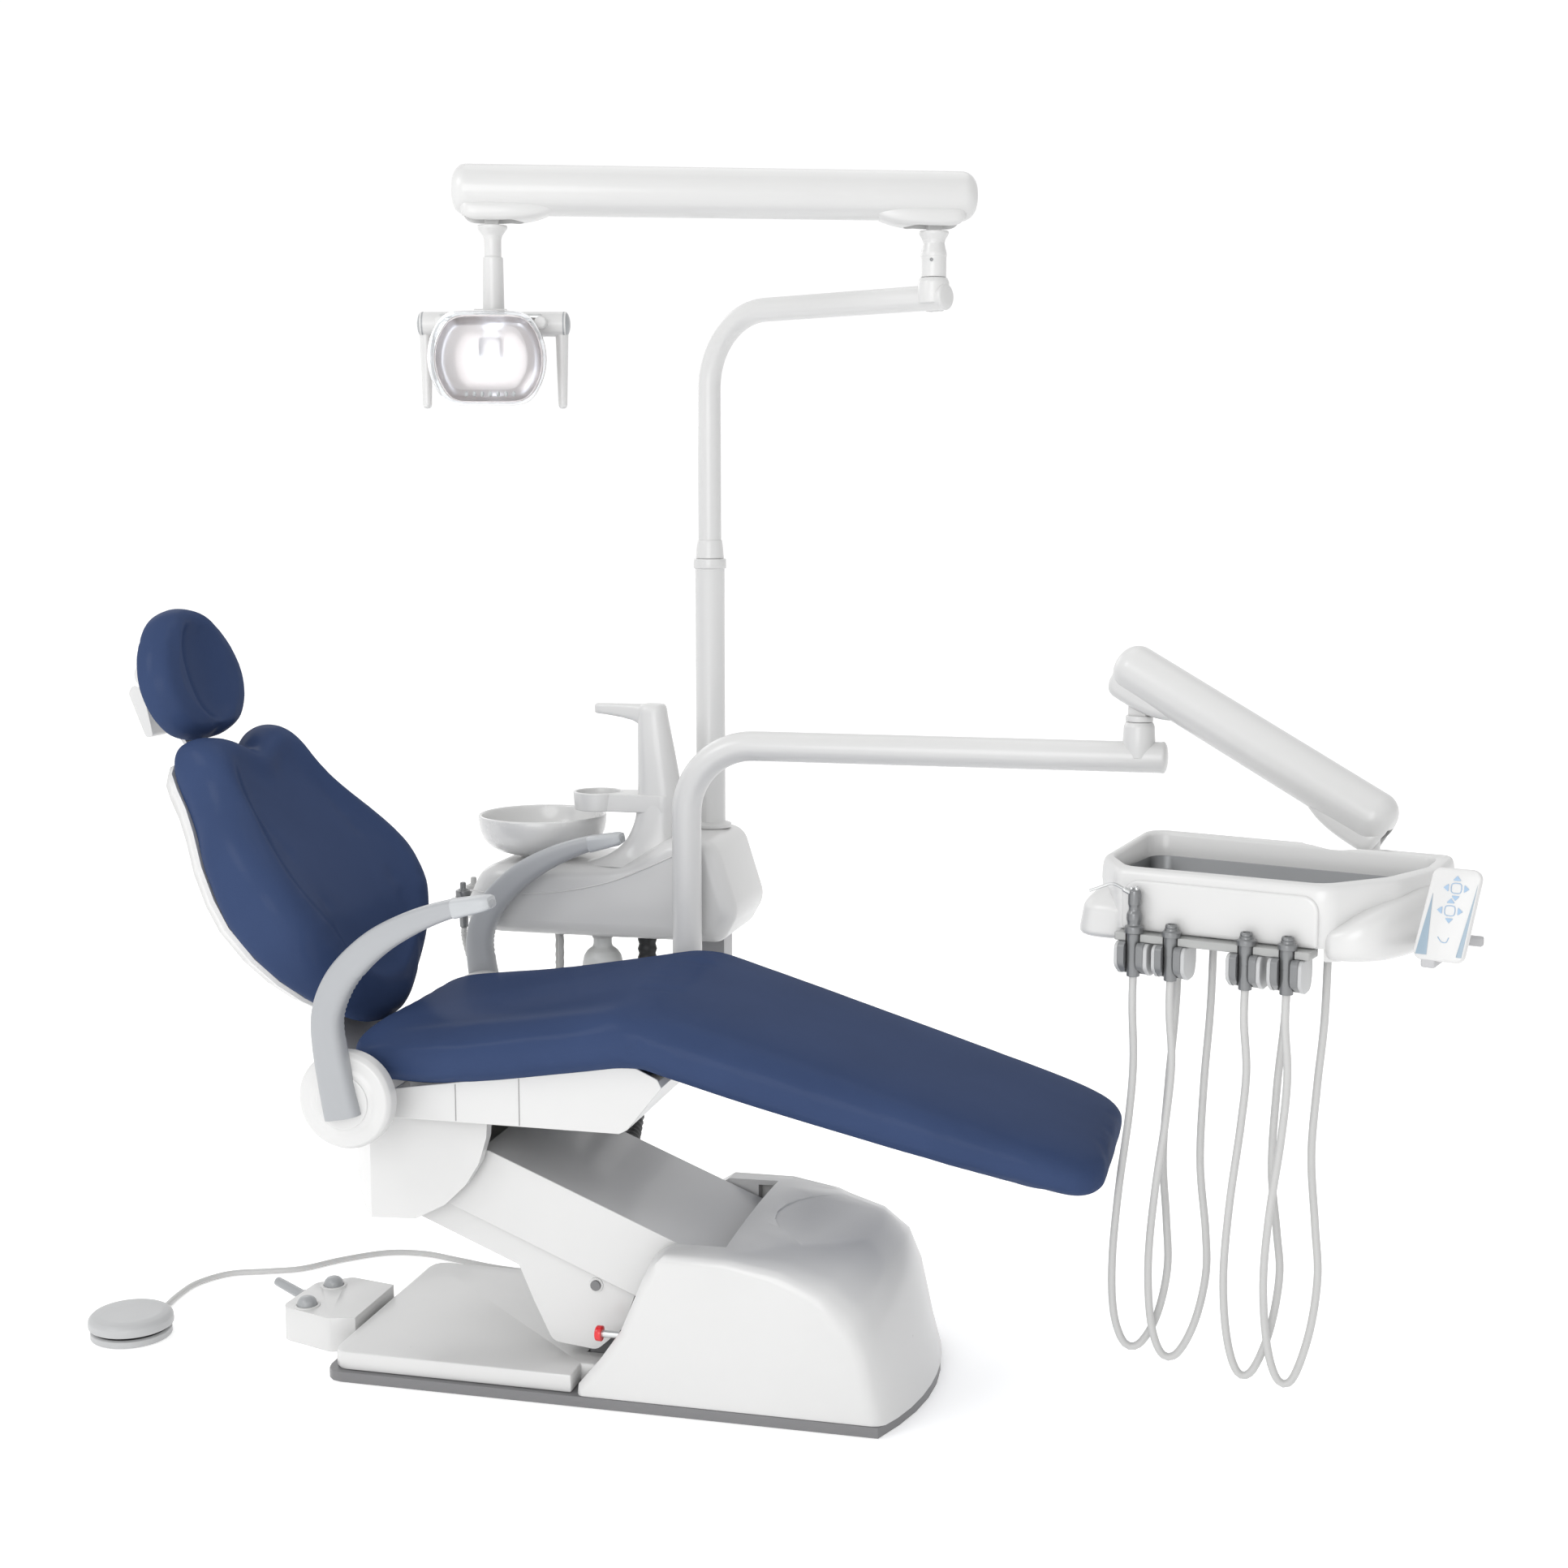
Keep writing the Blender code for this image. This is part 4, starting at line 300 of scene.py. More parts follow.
def lathe(name, profile, place=Vector(), steps=48, tilt=None):
    """A turned shape: (radius, height) from top to bottom, about its own Z, or about tilt."""
    bm = bmesh.new()
    turn = Matrix() if tilt is None else Vector((0, 0, 1)).rotation_difference(tilt).to_matrix().to_4x4()
    rows = []
    for radius, height in profile:
        if radius <= 0.0:
            rows.append([bm.verts.new(turn @ Vector((0, 0, height)) + place)])
            continue
        rows.append([bm.verts.new(turn @ Vector((radius * math.cos(2 * math.pi * k / steps),
                                                  radius * math.sin(2 * math.pi * k / steps), height)) + place)
                     for k in range(steps)])
    for near, far in zip(rows, rows[1:]):
        for k in range(steps):
            j = (k + 1) % steps
            if len(near) == len(far) == 1:
                break
            if len(near) == 1:
                bm.faces.new((near[0], far[j], far[k]))
            elif len(far) == 1:
                bm.faces.new((near[k], near[j], far[0]))
            else:
                bm.faces.new((near[k], near[j], far[j], far[k]))
    return to_object(name, bm)


def rounded_profile(profile, radius=0.002, steps=3):
    """A lathe profile whose corners are rounded."""
    made = [profile[0]]
    for before, here, after in zip(profile, profile[1:], profile[2:]):
        p, q, r = Vector(before), Vector(here), Vector(after)
        back, ahead = (p - q), (r - q)
        reach = min(radius, back.length * 0.45, ahead.length * 0.45)
        start, end = q + back.normalized() * reach, q + ahead.normalized() * reach
        for k in range(steps + 1):
            t = k / steps
            made.append(tuple(start * (1 - t) ** 2 + q * 2 * t * (1 - t) + end * t * t))
    made.append(profile[-1])
    return made


def skin(name, rings, caps=True):
    """A closed skin over rings with equal numbers of points."""
    bm = bmesh.new()
    rows = [[bm.verts.new(point) for point in ring] for ring in rings]
    for near, far in zip(rows, rows[1:]):
        for i in range(len(near)):
            j = (i + 1) % len(near)
            bm.faces.new((near[i], near[j], far[j], far[i]))
    if caps:
        bm.faces.new(rows[0])
        bm.faces.new(rows[-1])
    return to_object(name, bm)


def curve_between(a, b, c, d, t):
    """The point at t on the Catmull-Rom curve from b to c, for vectors or numbers."""
    return 0.5 * (2 * b + (c - a) * t + (2 * a - 5 * b + 4 * c - d) * t * t
                  + (3 * b - a - 3 * c + d) * t ** 3)


def smooth_row(values, count):
    """A smooth run through vectors or numbers, evenly by index."""
    ends = [2 * values[0] - values[1], *values, 2 * values[-1] - values[-2]]
    made = []
    for k in range(count):
        place = k * (len(values) - 1) / (count - 1)
        i = min(int(place), len(values) - 2)
        made.append(curve_between(*ends[i:i + 4], place - i))
    return made


def smooth_vectors(rows, count):
    return smooth_row([Vector(row) for row in rows], count)


def smooth_numbers(rows, count):
    return list(zip(*(smooth_row(column, count) for column in zip(*rows))))


def flowing(points, spacing):
    """Evenly spaced points on a smooth curve through the given ones."""
    given = [Vector(point) for point in points]
    ends = [2 * given[0] - given[1]] + given + [2 * given[-1] - given[-2]]
    fine = []
    for a, b, c, d in zip(ends, ends[1:], ends[2:], ends[3:]):
        fine += [curve_between(a, b, c, d, k / 16) for k in range(16)]
    fine.append(given[-1])
    total = sum((q - p).length for p, q in zip(fine, fine[1:]))
    count = max(4, round(total / spacing))
    line, walked = [fine[0]], 0.0
    for p, q in zip(fine, fine[1:]):
        walked += (q - p).length
        if walked >= total * len(line) / count and len(line) < count:
            line.append(q)
    return line + [fine[-1]]


def bent(corners, radius, steps=16):
    line = [Vector(corners[0])]
    for before, here, after in zip(corners, corners[1:], corners[2:]):
        here = Vector(here)
        back = (Vector(before) - here).normalized()
        ahead = (Vector(after) - here).normalized()
        half = back.angle(ahead) / 2
        centre = here + (back + ahead).normalized() * (radius / math.sin(half))
        start = here + back * (radius / math.tan(half)) - centre
        end = here + ahead * (radius / math.tan(half)) - centre
        turn, axis = start.angle(end), start.cross(end).normalized()
        for k in range(steps + 1):
            line.append(centre + Matrix.Rotation(turn * k / steps, 3, axis) @ start)
    line.append(Vector(corners[-1]))
    return line


def pipe(name, line, radii, sides=24, domed=0.0):
    """A tube on a centre line; radii is one number or one for each point. domed rounds its ends."""
    if not hasattr(radii, "__len__"):
        radii = [radii] * len(line)
    rings = []
    side = None
    for i, point in enumerate(line):
        run = (line[min(i + 1, len(line) - 1)] - line[max(i - 1, 0)]).normalized()
        if side is None:
            side = run.orthogonal().normalized()
        side = (side - run * side.dot(run)).normalized()
        other = run.cross(side)
        rings.append([point + (side * math.cos(2 * math.pi * k / sides) + other * math.sin(2 * math.pi * k / sides))
                      * radii[i] for k in range(sides)])
        if domed and i in (0, len(line) - 1):
            middle, reach = point, run * (-domed if i == 0 else domed)
            caps = []
            for step in (1, 2, 3, 4):
                angle = step * math.pi / 10
                caps.append([middle + reach * math.sin(angle) + (p - middle) * math.cos(angle) for p in rings[-1]])
            rings = list(reversed(caps)) + rings if i == 0 else rings + caps
    return skin(name, rings)


def cutter(name, low, high, matrix=None):
    bm = bmesh.new()
    bmesh.ops.create_cube(bm, size=1.0)
    low, high = Vector(low), Vector(high)
    bmesh.ops.scale(bm, vec=high - low, verts=bm.verts)
    bmesh.ops.translate(bm, vec=(low + high) / 2, verts=bm.verts)
    obj = to_object(name, bm)
    if matrix:
        obj.data.transform(matrix)
    return obj


def boolean(obj, tool, operation="DIFFERENCE"):
    """Applies a Boolean at once and removes its tool."""
    scene = bpy.context.scene.collection
    for each in (obj, tool):
        if each.name not in scene.objects:
            scene.objects.link(each)
    modifier = obj.modifiers.new("boolean", "BOOLEAN")
    modifier.operation = operation
    modifier.object = tool
    bpy.context.view_layer.update()
    graph = bpy.context.evaluated_depsgraph_get()
    mesh = bpy.data.meshes.new_from_object(obj.evaluated_get(graph))
    obj.modifiers.clear()
    obj.data = mesh
    bpy.data.objects.remove(tool, do_unlink=True)
    scene.objects.unlink(obj)
    return obj


def oval(count, half_width, half_height, power):
    ring = []
    for k in range(count):
        angle = 2 * math.pi * (k + 0.5) / count
        c, s = math.cos(angle), math.sin(angle)
        ring.append((half_width * math.copysign(abs(c) ** (2 / power), c),
                     half_height * math.copysign(abs(s) ** (2 / power), s)))
    return ring


def rounded(corners, steps=8):
    outline = []
    count = len(corners)
    for i, corner in enumerate(corners):
        here = Vector(corner[:2])
        radius = corner[2] if len(corner) > 2 else 0.0
        if radius <= 0.0:
            outline.append(tuple(here))
            continue
        back = (Vector(corners[i - 1][:2]) - here).normalized()
        ahead = (Vector(corners[(i + 1) % count][:2]) - here).normalized()
        half = back.angle(ahead) / 2
        centre = here + (back + ahead).normalized() * (radius / math.sin(half))
        start = here + back * (radius / math.tan(half)) - centre
        sweep = start.angle_signed(here + ahead * (radius / math.tan(half)) - centre)
        for k in range(steps + 1):
            arm = start.copy()
            arm.rotate(Matrix.Rotation(-sweep * k / steps, 2))
            outline.append(tuple(centre + arm))
    return outline


def back_point(s, y, n):
    c, d = math.cos(BACK_TILT), math.sin(BACK_TILT)
    return BACK_FOOT + Vector((s * c + n * d, y, s * d - n * c))


def head_point(s, y, n):
    c, d = math.cos(HEAD_TILT), math.sin(HEAD_TILT)
    return HEAD_CENTRE + Vector((s * c + n * d, y, s * d - n * c))


TRAY = Matrix.Translation(TRAY_CORNER) @ Matrix.Rotation(TRAY_TURN, 4, "Z")


def tray_point(x, y, z):
    return TRAY @ Vector((x, y, z))


# ------------------------------------------------------------------------------------ camera, cords

def camera_and_light():
    data = bpy.data.cameras.new("camera")
    data.lens = 49.0
    data.sensor_width = 36.0
    camera = bpy.data.objects.new("camera", data)
    camera.location = (1.09, -3.443, 1.50)
    camera.rotation_euler = (math.radians(82.4), 0.0, math.radians(13.85))
    bpy.context.scene.collection.objects.link(camera)
    bpy.context.scene.camera = camera
    for name, place, aim, size, power in (("key", (-2.6, -2.6, 3.6), (0, 0, 0.8), 1.8, 34.0),
                                          ("fill", (3.4, -2.0, 2.0), (0.3, 0, 0.8), 2.4, 4.0),
                                          ("front", (0.2, -4.6, 1.9), (0.0, 0, 0.8), 3.0, 64.0),
                                          ("top", (0.2, 1.0, 4.2), (0.2, 0, 0.8), 2.6, 14.0),
                                          ("rim", (-2.6, 2.6, 2.6), (-0.3, 0, 0.9), 2.0, 12.0)):
        light = bpy.data.lights.new(name, "AREA")
        light.shape = "DISK"
        light.size = size
        light.energy = power
        lamp = bpy.data.objects.new(name, light)
        lamp.location = place
        lamp.rotation_euler = (Vector(aim) - Vector(place)).to_track_quat("-Z", "Y").to_euler()
        bpy.context.scene.collection.objects.link(lamp)
    world = bpy.data.worlds.new("studio")
    world.use_nodes = True
    world.node_tree.nodes["Background"].inputs["Color"].default_value = (1.0, 1.0, 1.0, 1.0)
    tree = world.node_tree
    split = tree.nodes.new("ShaderNodeSeparateXYZ")
    tree.links.new(tree.nodes.new("ShaderNodeTexCoord").outputs["Generated"], split.inputs[0])
    total = tree.nodes.new("ShaderNodeMath")
    total.operation = "MULTIPLY"
    for place, (axis, start, low, high) in enumerate((("X", 0.20, 1.04, 0.60), ("Z", 0.30, 1.0, 0.82))):
        fade = tree.nodes.new("ShaderNodeMapRange")
        for label, value in (("From Min", start), ("From Max", 1.0), ("To Min", low), ("To Max", high)):
            fade.inputs[label].default_value = value
        tree.links.new(split.outputs[axis], fade.inputs["Value"])
        tree.links.new(fade.outputs["Result"], total.inputs[place])
    tree.links.new(total.outputs[0], tree.nodes["Background"].inputs["Strength"])
    bpy.context.scene.world = world
    bpy.context.scene.view_settings.view_transform = "Standard"
    bm = bmesh.new()
    bmesh.ops.create_grid(bm, x_segments=8, y_segments=8, size=30.0)
    floor = to_object("floor", bm)
    floor.location.z = -0.0005
    bpy.context.scene.collection.objects.link(floor)
    paper = moulded("floor_paper", (0.96, 0.96, 0.96), 0.60, tone=0.005, strength=0.02)
    shader = next(node for node in paper.node_tree.nodes if node.type == "BSDF_PRINCIPLED")
    shader.inputs["Emission Color"].default_value = (1.0, 1.0, 1.0, 1.0)
    shader.inputs["Emission Strength"].default_value = 0.30
    floor.data.materials.append(paper)


PEDAL_CORD = ((-0.9435, -0.0565, 0.0070), (-0.945, -0.020, 0.0058), (-0.953, 0.050, 0.0055),
              (-0.950, 0.115, 0.0055), (-0.915, 0.175, 0.0055), (-0.850, 0.205, 0.0055),
              (-0.790, 0.235, 0.0055), (-0.735, 0.300, 0.0055), (-0.665, 0.357, 0.0055),
              (-0.590, 0.370, 0.0055), (-0.510, 0.352, 0.0055), (-0.420, 0.330, 0.0055),
              (-0.320, 0.322, 0.0055), (-0.220, 0.325, 0.0055), (-0.130, 0.310, 0.0060),
              (-0.065, 0.295, 0.0100), (-0.026, 0.276, 0.0250), (-0.015, 0.252, 0.0360), (-0.015, 0.2326, 0.0370))
DRAIN_HOSE = ((-0.150, 0.470, 0.7796), (-0.150, 0.470, 0.700), (-0.150, 0.470, 0.620), (-0.151, 0.469, 0.560),
              (-0.152, 0.464, 0.500), (-0.153, 0.450, 0.440), (-0.152, 0.424, 0.385), (-0.148, 0.384, 0.336),
              (-0.141, 0.336, 0.303), (-0.131, 0.284, 0.290), (-0.116, 0.235, 0.2885), (-0.108, 0.195, 0.2890),
              (-0.108, 0.1655, 0.2890))
SUCTION_HOSES = (
    ((-0.315, 0.432, 0.7796), (-0.315, 0.432, 0.700), (-0.315, 0.432, 0.610), (-0.318, 0.432, 0.540),
     (-0.330, 0.432, 0.475), (-0.358, 0.432, 0.432), (-0.395, 0.433, 0.420), (-0.432, 0.434, 0.437),
     (-0.462, 0.436, 0.485), (-0.486, 0.438, 0.550), (-0.510, 0.440, 0.600), (-0.520, 0.440, 0.640),
     (-0.520, 0.440, 0.6598)),
    ((-0.345, 0.500, 0.7796), (-0.345, 0.500, 0.700), (-0.345, 0.500, 0.610), (-0.347, 0.500, 0.550),
     (-0.357, 0.500, 0.500), (-0.380, 0.500, 0.468), (-0.410, 0.500, 0.460), (-0.440, 0.500, 0.474),
     (-0.466, 0.500, 0.515), (-0.490, 0.500, 0.560), (-0.512, 0.500, 0.602), (-0.522, 0.500, 0.640),
     (-0.522, 0.500, 0.6598)),
)
HOSES = (
    ((0.050, -0.0155, 0.7517), (0.050, -0.0155, 0.700), (0.050, -0.006, 0.610), (0.043, -0.002, 0.520),
     (0.026, 0.003, 0.390), (0.015, 0.010, 0.270), (0.016, 0.018, 0.180), (0.032, 0.026, 0.128),
     (0.056, 0.034, 0.128), (0.082, 0.042, 0.180), (0.095, 0.050, 0.260), (0.088, 0.058, 0.340),
     (0.077, 0.066, 0.440), (0.080, 0.074, 0.560), (0.087, 0.082, 0.700), (0.088, 0.086, 0.8492)),
    ((0.112, -0.0155, 0.7517), (0.112, -0.0155, 0.700), (0.114, -0.006, 0.620), (0.106, -0.002, 0.530),
     (0.088, 0.003, 0.400), (0.077, 0.010, 0.280), (0.080, 0.018, 0.180), (0.096, 0.026, 0.124),
     (0.120, 0.034, 0.124), (0.146, 0.042, 0.180), (0.160, 0.050, 0.260), (0.155, 0.058, 0.330),
     (0.140, 0.066, 0.440), (0.140, 0.074, 0.570), (0.145, 0.082, 0.700), (0.146, 0.086, 0.8492)),
    ((0.233, -0.0155, 0.7517), (0.233, -0.0155, 0.700), (0.236, -0.006, 0.620), (0.228, -0.002, 0.530),
     (0.212, 0.003, 0.400), (0.203, 0.010, 0.280), (0.208, 0.018, 0.180), (0.224, 0.026, 0.120),
     (0.246, 0.034, 0.122), (0.270, 0.042, 0.190), (0.281, 0.050, 0.280), (0.272, 0.058, 0.350),
     (0.258, 0.066, 0.450), (0.260, 0.074, 0.580), (0.267, 0.082, 0.700), (0.268, 0.086, 0.8492)),
    ((0.298, -0.0155, 0.7517), (0.298, -0.0155, 0.700), (0.301, -0.006, 0.620), (0.293, -0.002, 0.520),
     (0.276, 0.003, 0.390), (0.268, 0.010, 0.280), (0.274, 0.018, 0.180), (0.290, 0.026, 0.121),
     (0.312, 0.034, 0.123), (0.334, 0.042, 0.200), (0.342, 0.050, 0.290), (0.333, 0.058, 0.370),
     (0.321, 0.066, 0.480), (0.324, 0.074, 0.590), (0.330, 0.082, 0.700), (0.331, 0.086, 0.8492)),
)


def hose(name, node, body, slot, line, radius, rib=0.0, pitch=0.0, sides=20):
    """A cord: a smooth tube, or a corrugated one with ribs of this depth and pitch."""
    if rib:
        line = flowing(line, pitch / 4)
        radii = [radius - rib * (0.5 + 0.5 * math.cos(math.pi / 2 * i)) for i in range(len(line))]
    else:
        line = flowing(line, 0.008)
        radii = radius
    piece = finish(pipe(name, line, radii, sides), body, slot, nodes=(node,), angle=70)
    return piece


def cords():
    hose("pedal_lead", "pedal_cord", "base", "hose_grey", PEDAL_CORD, 0.0054)
    hose("drain_pipe", "drain_hose", "seat", "hose_black", DRAIN_HOSE, 0.0190,
         0.0028, 0.0075, 28)
    for label, route in zip(("near", "far"), SUCTION_HOSES):
        hose(f"suction_pipe_{label}", f"suction_hose_{label}", "seat", "hose_grey", route, 0.0065,
             0.0011, 0.0040)
    for number, route in enumerate(HOSES, 1):
        hose(f"instrument_pipe_{number}", f"instrument_hose_{number}", "tray", "hose_grey",
             [tray_point(*point) for point in route], 0.0062)


# ----------------------------------------------------------------------------------------- cushions

def swollen(obj, pressure, cap, voxel):
    """Fills a cushion with air by a short cloth simulation, no point moving further than cap."""
    scene = bpy.context.scene
    scene.collection.objects.link(obj)
    remesh = obj.modifiers.new("remesh", "REMESH")
    remesh.mode = "VOXEL"
    remesh.voxel_size = voxel
    apply_all(obj)
    start = [v.co.copy() for v in obj.data.vertices]
    cloth = obj.modifiers.new("cloth", "CLOTH")
    cloth.settings.use_pressure = True
    cloth.settings.uniform_pressure_force = pressure
    cloth.settings.effector_weights.gravity = 0.0
    cloth.settings.quality = 4
    cloth.settings.mass = 0.35
    cloth.settings.tension_stiffness = 25
    cloth.settings.compression_stiffness = 25
    cloth.settings.bending_stiffness = 6.0
    cloth.point_cache.frame_start, cloth.point_cache.frame_end = 1, CLOTH_FRAMES
    for number in range(1, CLOTH_FRAMES + 1):
        scene.frame_set(number)
    apply_all(obj)
    for vertex, before in zip(obj.data.vertices, start):
        moved = vertex.co - before
        if moved.length > cap:
            vertex.co = before + moved * (cap / moved.length)
    scene.frame_set(1)
    scene.collection.objects.unlink(obj)
    return obj


def apply_all(obj):
    bpy.context.view_layer.update()
    graph = bpy.context.evaluated_depsgraph_get()
    mesh = bpy.data.meshes.new_from_object(obj.evaluated_get(graph))
    obj.modifiers.clear()
    obj.data = mesh


def eased(obj, turns=1, factor=0.5):
    """Evens a mesh out after its simulation."""
    bm = bmesh.new()
    bm.from_mesh(obj.data)
    for _ in range(turns):
        bmesh.ops.smooth_vert(bm, verts=bm.verts, factor=factor, use_axis_x=True, use_axis_y=True, use_axis_z=True)
    bm.to_mesh(obj.data)
    bm.free()


def cushion(obj, node):
    finish(obj, NODES[node]["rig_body"], "navy_leather", nodes=(node,), angle=0)
    smooth = obj.modifiers.new("subdivision", "SUBSURF")
    smooth.levels = smooth.render_levels = 1
    return obj


# along the chair: x, top, bottom, half width
SEAT_STATIONS = ((-0.452, 0.598, 0.560, 0.190), (-0.447, 0.610, 0.545, 0.228), (-0.434, 0.618, 0.538, 0.250),
                 (-0.400, 0.625, 0.527, 0.262), (-0.250, 0.643, 0.5350, 0.272), (-0.080, 0.671, 0.561, 0.277),
                 (-0.010, 0.684, 0.5725, 0.279), (0.020, 0.6895, 0.5770, 0.279), (0.045, 0.6925, 0.5785, 0.279),
                 (0.070, 0.6890, 0.5755, 0.278), (0.110, 0.6770, 0.5660, 0.277), (0.250, 0.637, 0.5275, 0.270),
                 (0.480, 0.567, 0.4715, 0.257), (0.680, 0.506, 0.4235, 0.243), (0.756, 0.481, 0.4050, 0.228),
                 (0.789, 0.467, 0.4050, 0.203), (0.806, 0.456, 0.4145, 0.165))


def seat_pad():
    """One long pad, broken at the knee, with a shallow dish, a rolled edge and gathers below the knee."""
    rings = []
    for x, top, bottom, half in smooth_vectors(SEAT_STATIONS, 96):
        middle, thick = (top + bottom) / 2, (top - bottom) / 2
        knee = math.exp(-((x - 0.045) / 0.016) ** 2)
        dish = 0.010 * math.exp(-((x + 0.20) / 0.16) ** 2)
        ring = []
        for y, z in oval(72, half, thick, 3.4):
            over = max(0.0, 1 - (y / (half * 0.86)) ** 2)
            if z > 0:
                z -= dish * over ** 1.3 * (z / thick) + 0.0035 * knee * (z / thick) ** 3
            fold = math.exp(-((x - 0.050 - 0.16 * (z + 0.02)) / 0.055) ** 2) * max(0.0, 1 - abs(z / thick) ** 4)
            gather = math.cos((x - 0.050 + z * 1.3) * 210.0) * fold * max(0.0, (abs(y) / half - 0.93) / 0.07)
            ring.append(Vector((x, y * (1 - 0.016 * gather), middle + z)))
        rings.append(ring)
    pad = swollen(skin("seat_pad", rings), 2.5, 0.006, 0.0060)
    eased(pad, 9)
    return cushion(pad, "seat_cushion")


BACK_HALF = ((0.044, 0.0), (0.050, 0.060), (0.075, 0.118), (0.117, 0.177), (0.167, 0.225), (0.226, 0.261),
             (0.300, 0.280), (0.360, 0.272), (0.430, 0.246), (0.498, 0.205), (0.548, 0.181), (0.592, 0.168),
             (0.623, 0.154), (0.638, 0.131), (0.634, 0.096), (0.618, 0.056), (0.602, 0.024), (0.597, 0.0))


def lumbar(s):
    swell = 0.042 * math.exp(-((s - 0.27) / 0.19) ** 2)
    return 0.012 + swell + 0.020 * min(1.0, max(0.0, (s - 0.08) / 0.15))


def outline_of(half, count):
    """A closed, evenly walked smooth outline from its half at y >= 0."""
    points = [Vector((s, y, 0.0)) for s, y in half]
    before = Vector((points[1].x, -points[1].y, 0.0))
    after = Vector((points[-2].x, -points[-2].y, 0.0))
    row = [before] + points + [after]
    fine = []
    for a, b, c, d in zip(row, row[1:], row[2:], row[3:]):
        fine += [curve_between(a, b, c, d, k / 12) for k in range(12)]
    fine.append(points[-1])
    total = sum((q - p).length for p, q in zip(fine, fine[1:]))
    line, walked, wanted = [fine[0]], 0.0, 1
    for p, q in zip(fine, fine[1:]):
        step = (q - p).length
        while wanted < count and walked + step >= total * wanted / count:
            line.append(p.lerp(q, (total * wanted / count - walked) / step))
            wanted += 1
        walked += step
    line.append(fine[-1])
    flat = [(p.x, p.y) for p in line]
    return flat + [(s, -y) for s, y in reversed(flat[1:-1])]


def pillow(name, outline, layers, to_world, middle):
    rings = []
    for scale, height in layers:
        ring = []
        for s, y in outline:
            a, b = middle + (s - middle) * scale, y * scale
            ring.append(to_world(a, b, height(a, b, scale) if callable(height) else height))
        rings.append(ring)
    return skin(name, rings)


def back_pad():
    """A flat middle between side bolsters, and two lobes at the top with a notch between them."""
    outline = outline_of(BACK_HALF, 84)
    middle = 0.335

    def front(extra):
        def height(s, y, scale):
            side = min(1.0, abs(y) / 0.24)
            roll = 0.017 * math.exp(-((scale - 0.84) / 0.10) ** 2)
            dish = -0.010 * max(0.0, 1 - (side / 0.75) ** 2) * math.exp(-((s - 0.25) / 0.22) ** 2)
            lobes = 0.010 * math.exp(-((s - 0.575) / 0.050) ** 2) * min(1.0, (abs(y) / 0.085) ** 2)
            seam = -0.0045 * math.exp(-((side - 0.58) / 0.035) ** 2) * math.exp(-((s - 0.33) / 0.21) ** 4)
            return lumbar(s) + roll + dish + lobes + seam + extra
        return height

    layers = [(t, front(0.0)) for t in (0.06, 0.16, 0.26, 0.36, 0.46, 0.55, 0.63, 0.70, 0.76, 0.81, 0.86, 0.90)]
    layers += [(0.935, front(-0.002)), (0.960, front(-0.007)), (0.978, front(-0.014)), (0.990, front(-0.021)),
               (0.998, -0.003), (0.996, -0.012), (0.982, -0.020), (0.960, -0.028), (0.930, -0.036),
               (0.895, -0.0422), (0.60, -0.0422), (0.25, -0.0422)]
    pad = swollen(pillow("back_pad", outline, layers, back_point, middle), 2.5, 0.006, 0.0060)
    eased(pad, 6)
    return cushion(pad, "backrest_cushion")


HEAD_HALF = ((-0.117, 0.0), (-0.114, 0.050), (-0.098, 0.094), (-0.061, 0.129), (-0.012, 0.142), (0.040, 0.127),
             (0.080, 0.096), (0.109, 0.054), (0.120, 0.0))


def head_pad():
    """A padded dish, its middle an upright oval ringed by a thick bolster."""
    outline = outline_of(HEAD_HALF, 56)

    def front(extra):
        def height(s, y, scale):
            across = (y / 0.062) ** 2 + ((s - 0.004) / 0.098) ** 2
            dish = -0.021 * math.exp(-across ** 1.6)
            lip = 0.004 * math.exp(-((across ** 0.5 - 1.12) / 0.22) ** 2)
            return 0.020 + dish + lip + 0.006 * math.exp(-((scale - 0.78) / 0.12) ** 2) + extra
        return height

    layers = [(t, front(0.0)) for t in (0.08, 0.20, 0.31, 0.41, 0.50, 0.58, 0.66, 0.74, 0.81, 0.87)]
    layers += [(0.92, front(-0.004)), (0.955, front(-0.011)), (0.98, front(-0.019)), (0.995, -0.004),
               (1.0, -0.012), (0.995, -0.021), (0.98, -0.030), (0.95, -0.037), (0.91, -0.0415), (0.50, -0.0425),
               (0.20, -0.0425)]
    pad = swollen(pillow("head_pad", outline, layers, head_point, 0.0), 2.5, 0.004, 0.0045)
    eased(pad, 2)
    return cushion(pad, "headrest_cushion")


# ---------------------------------------------------------------------------------------- base, seat

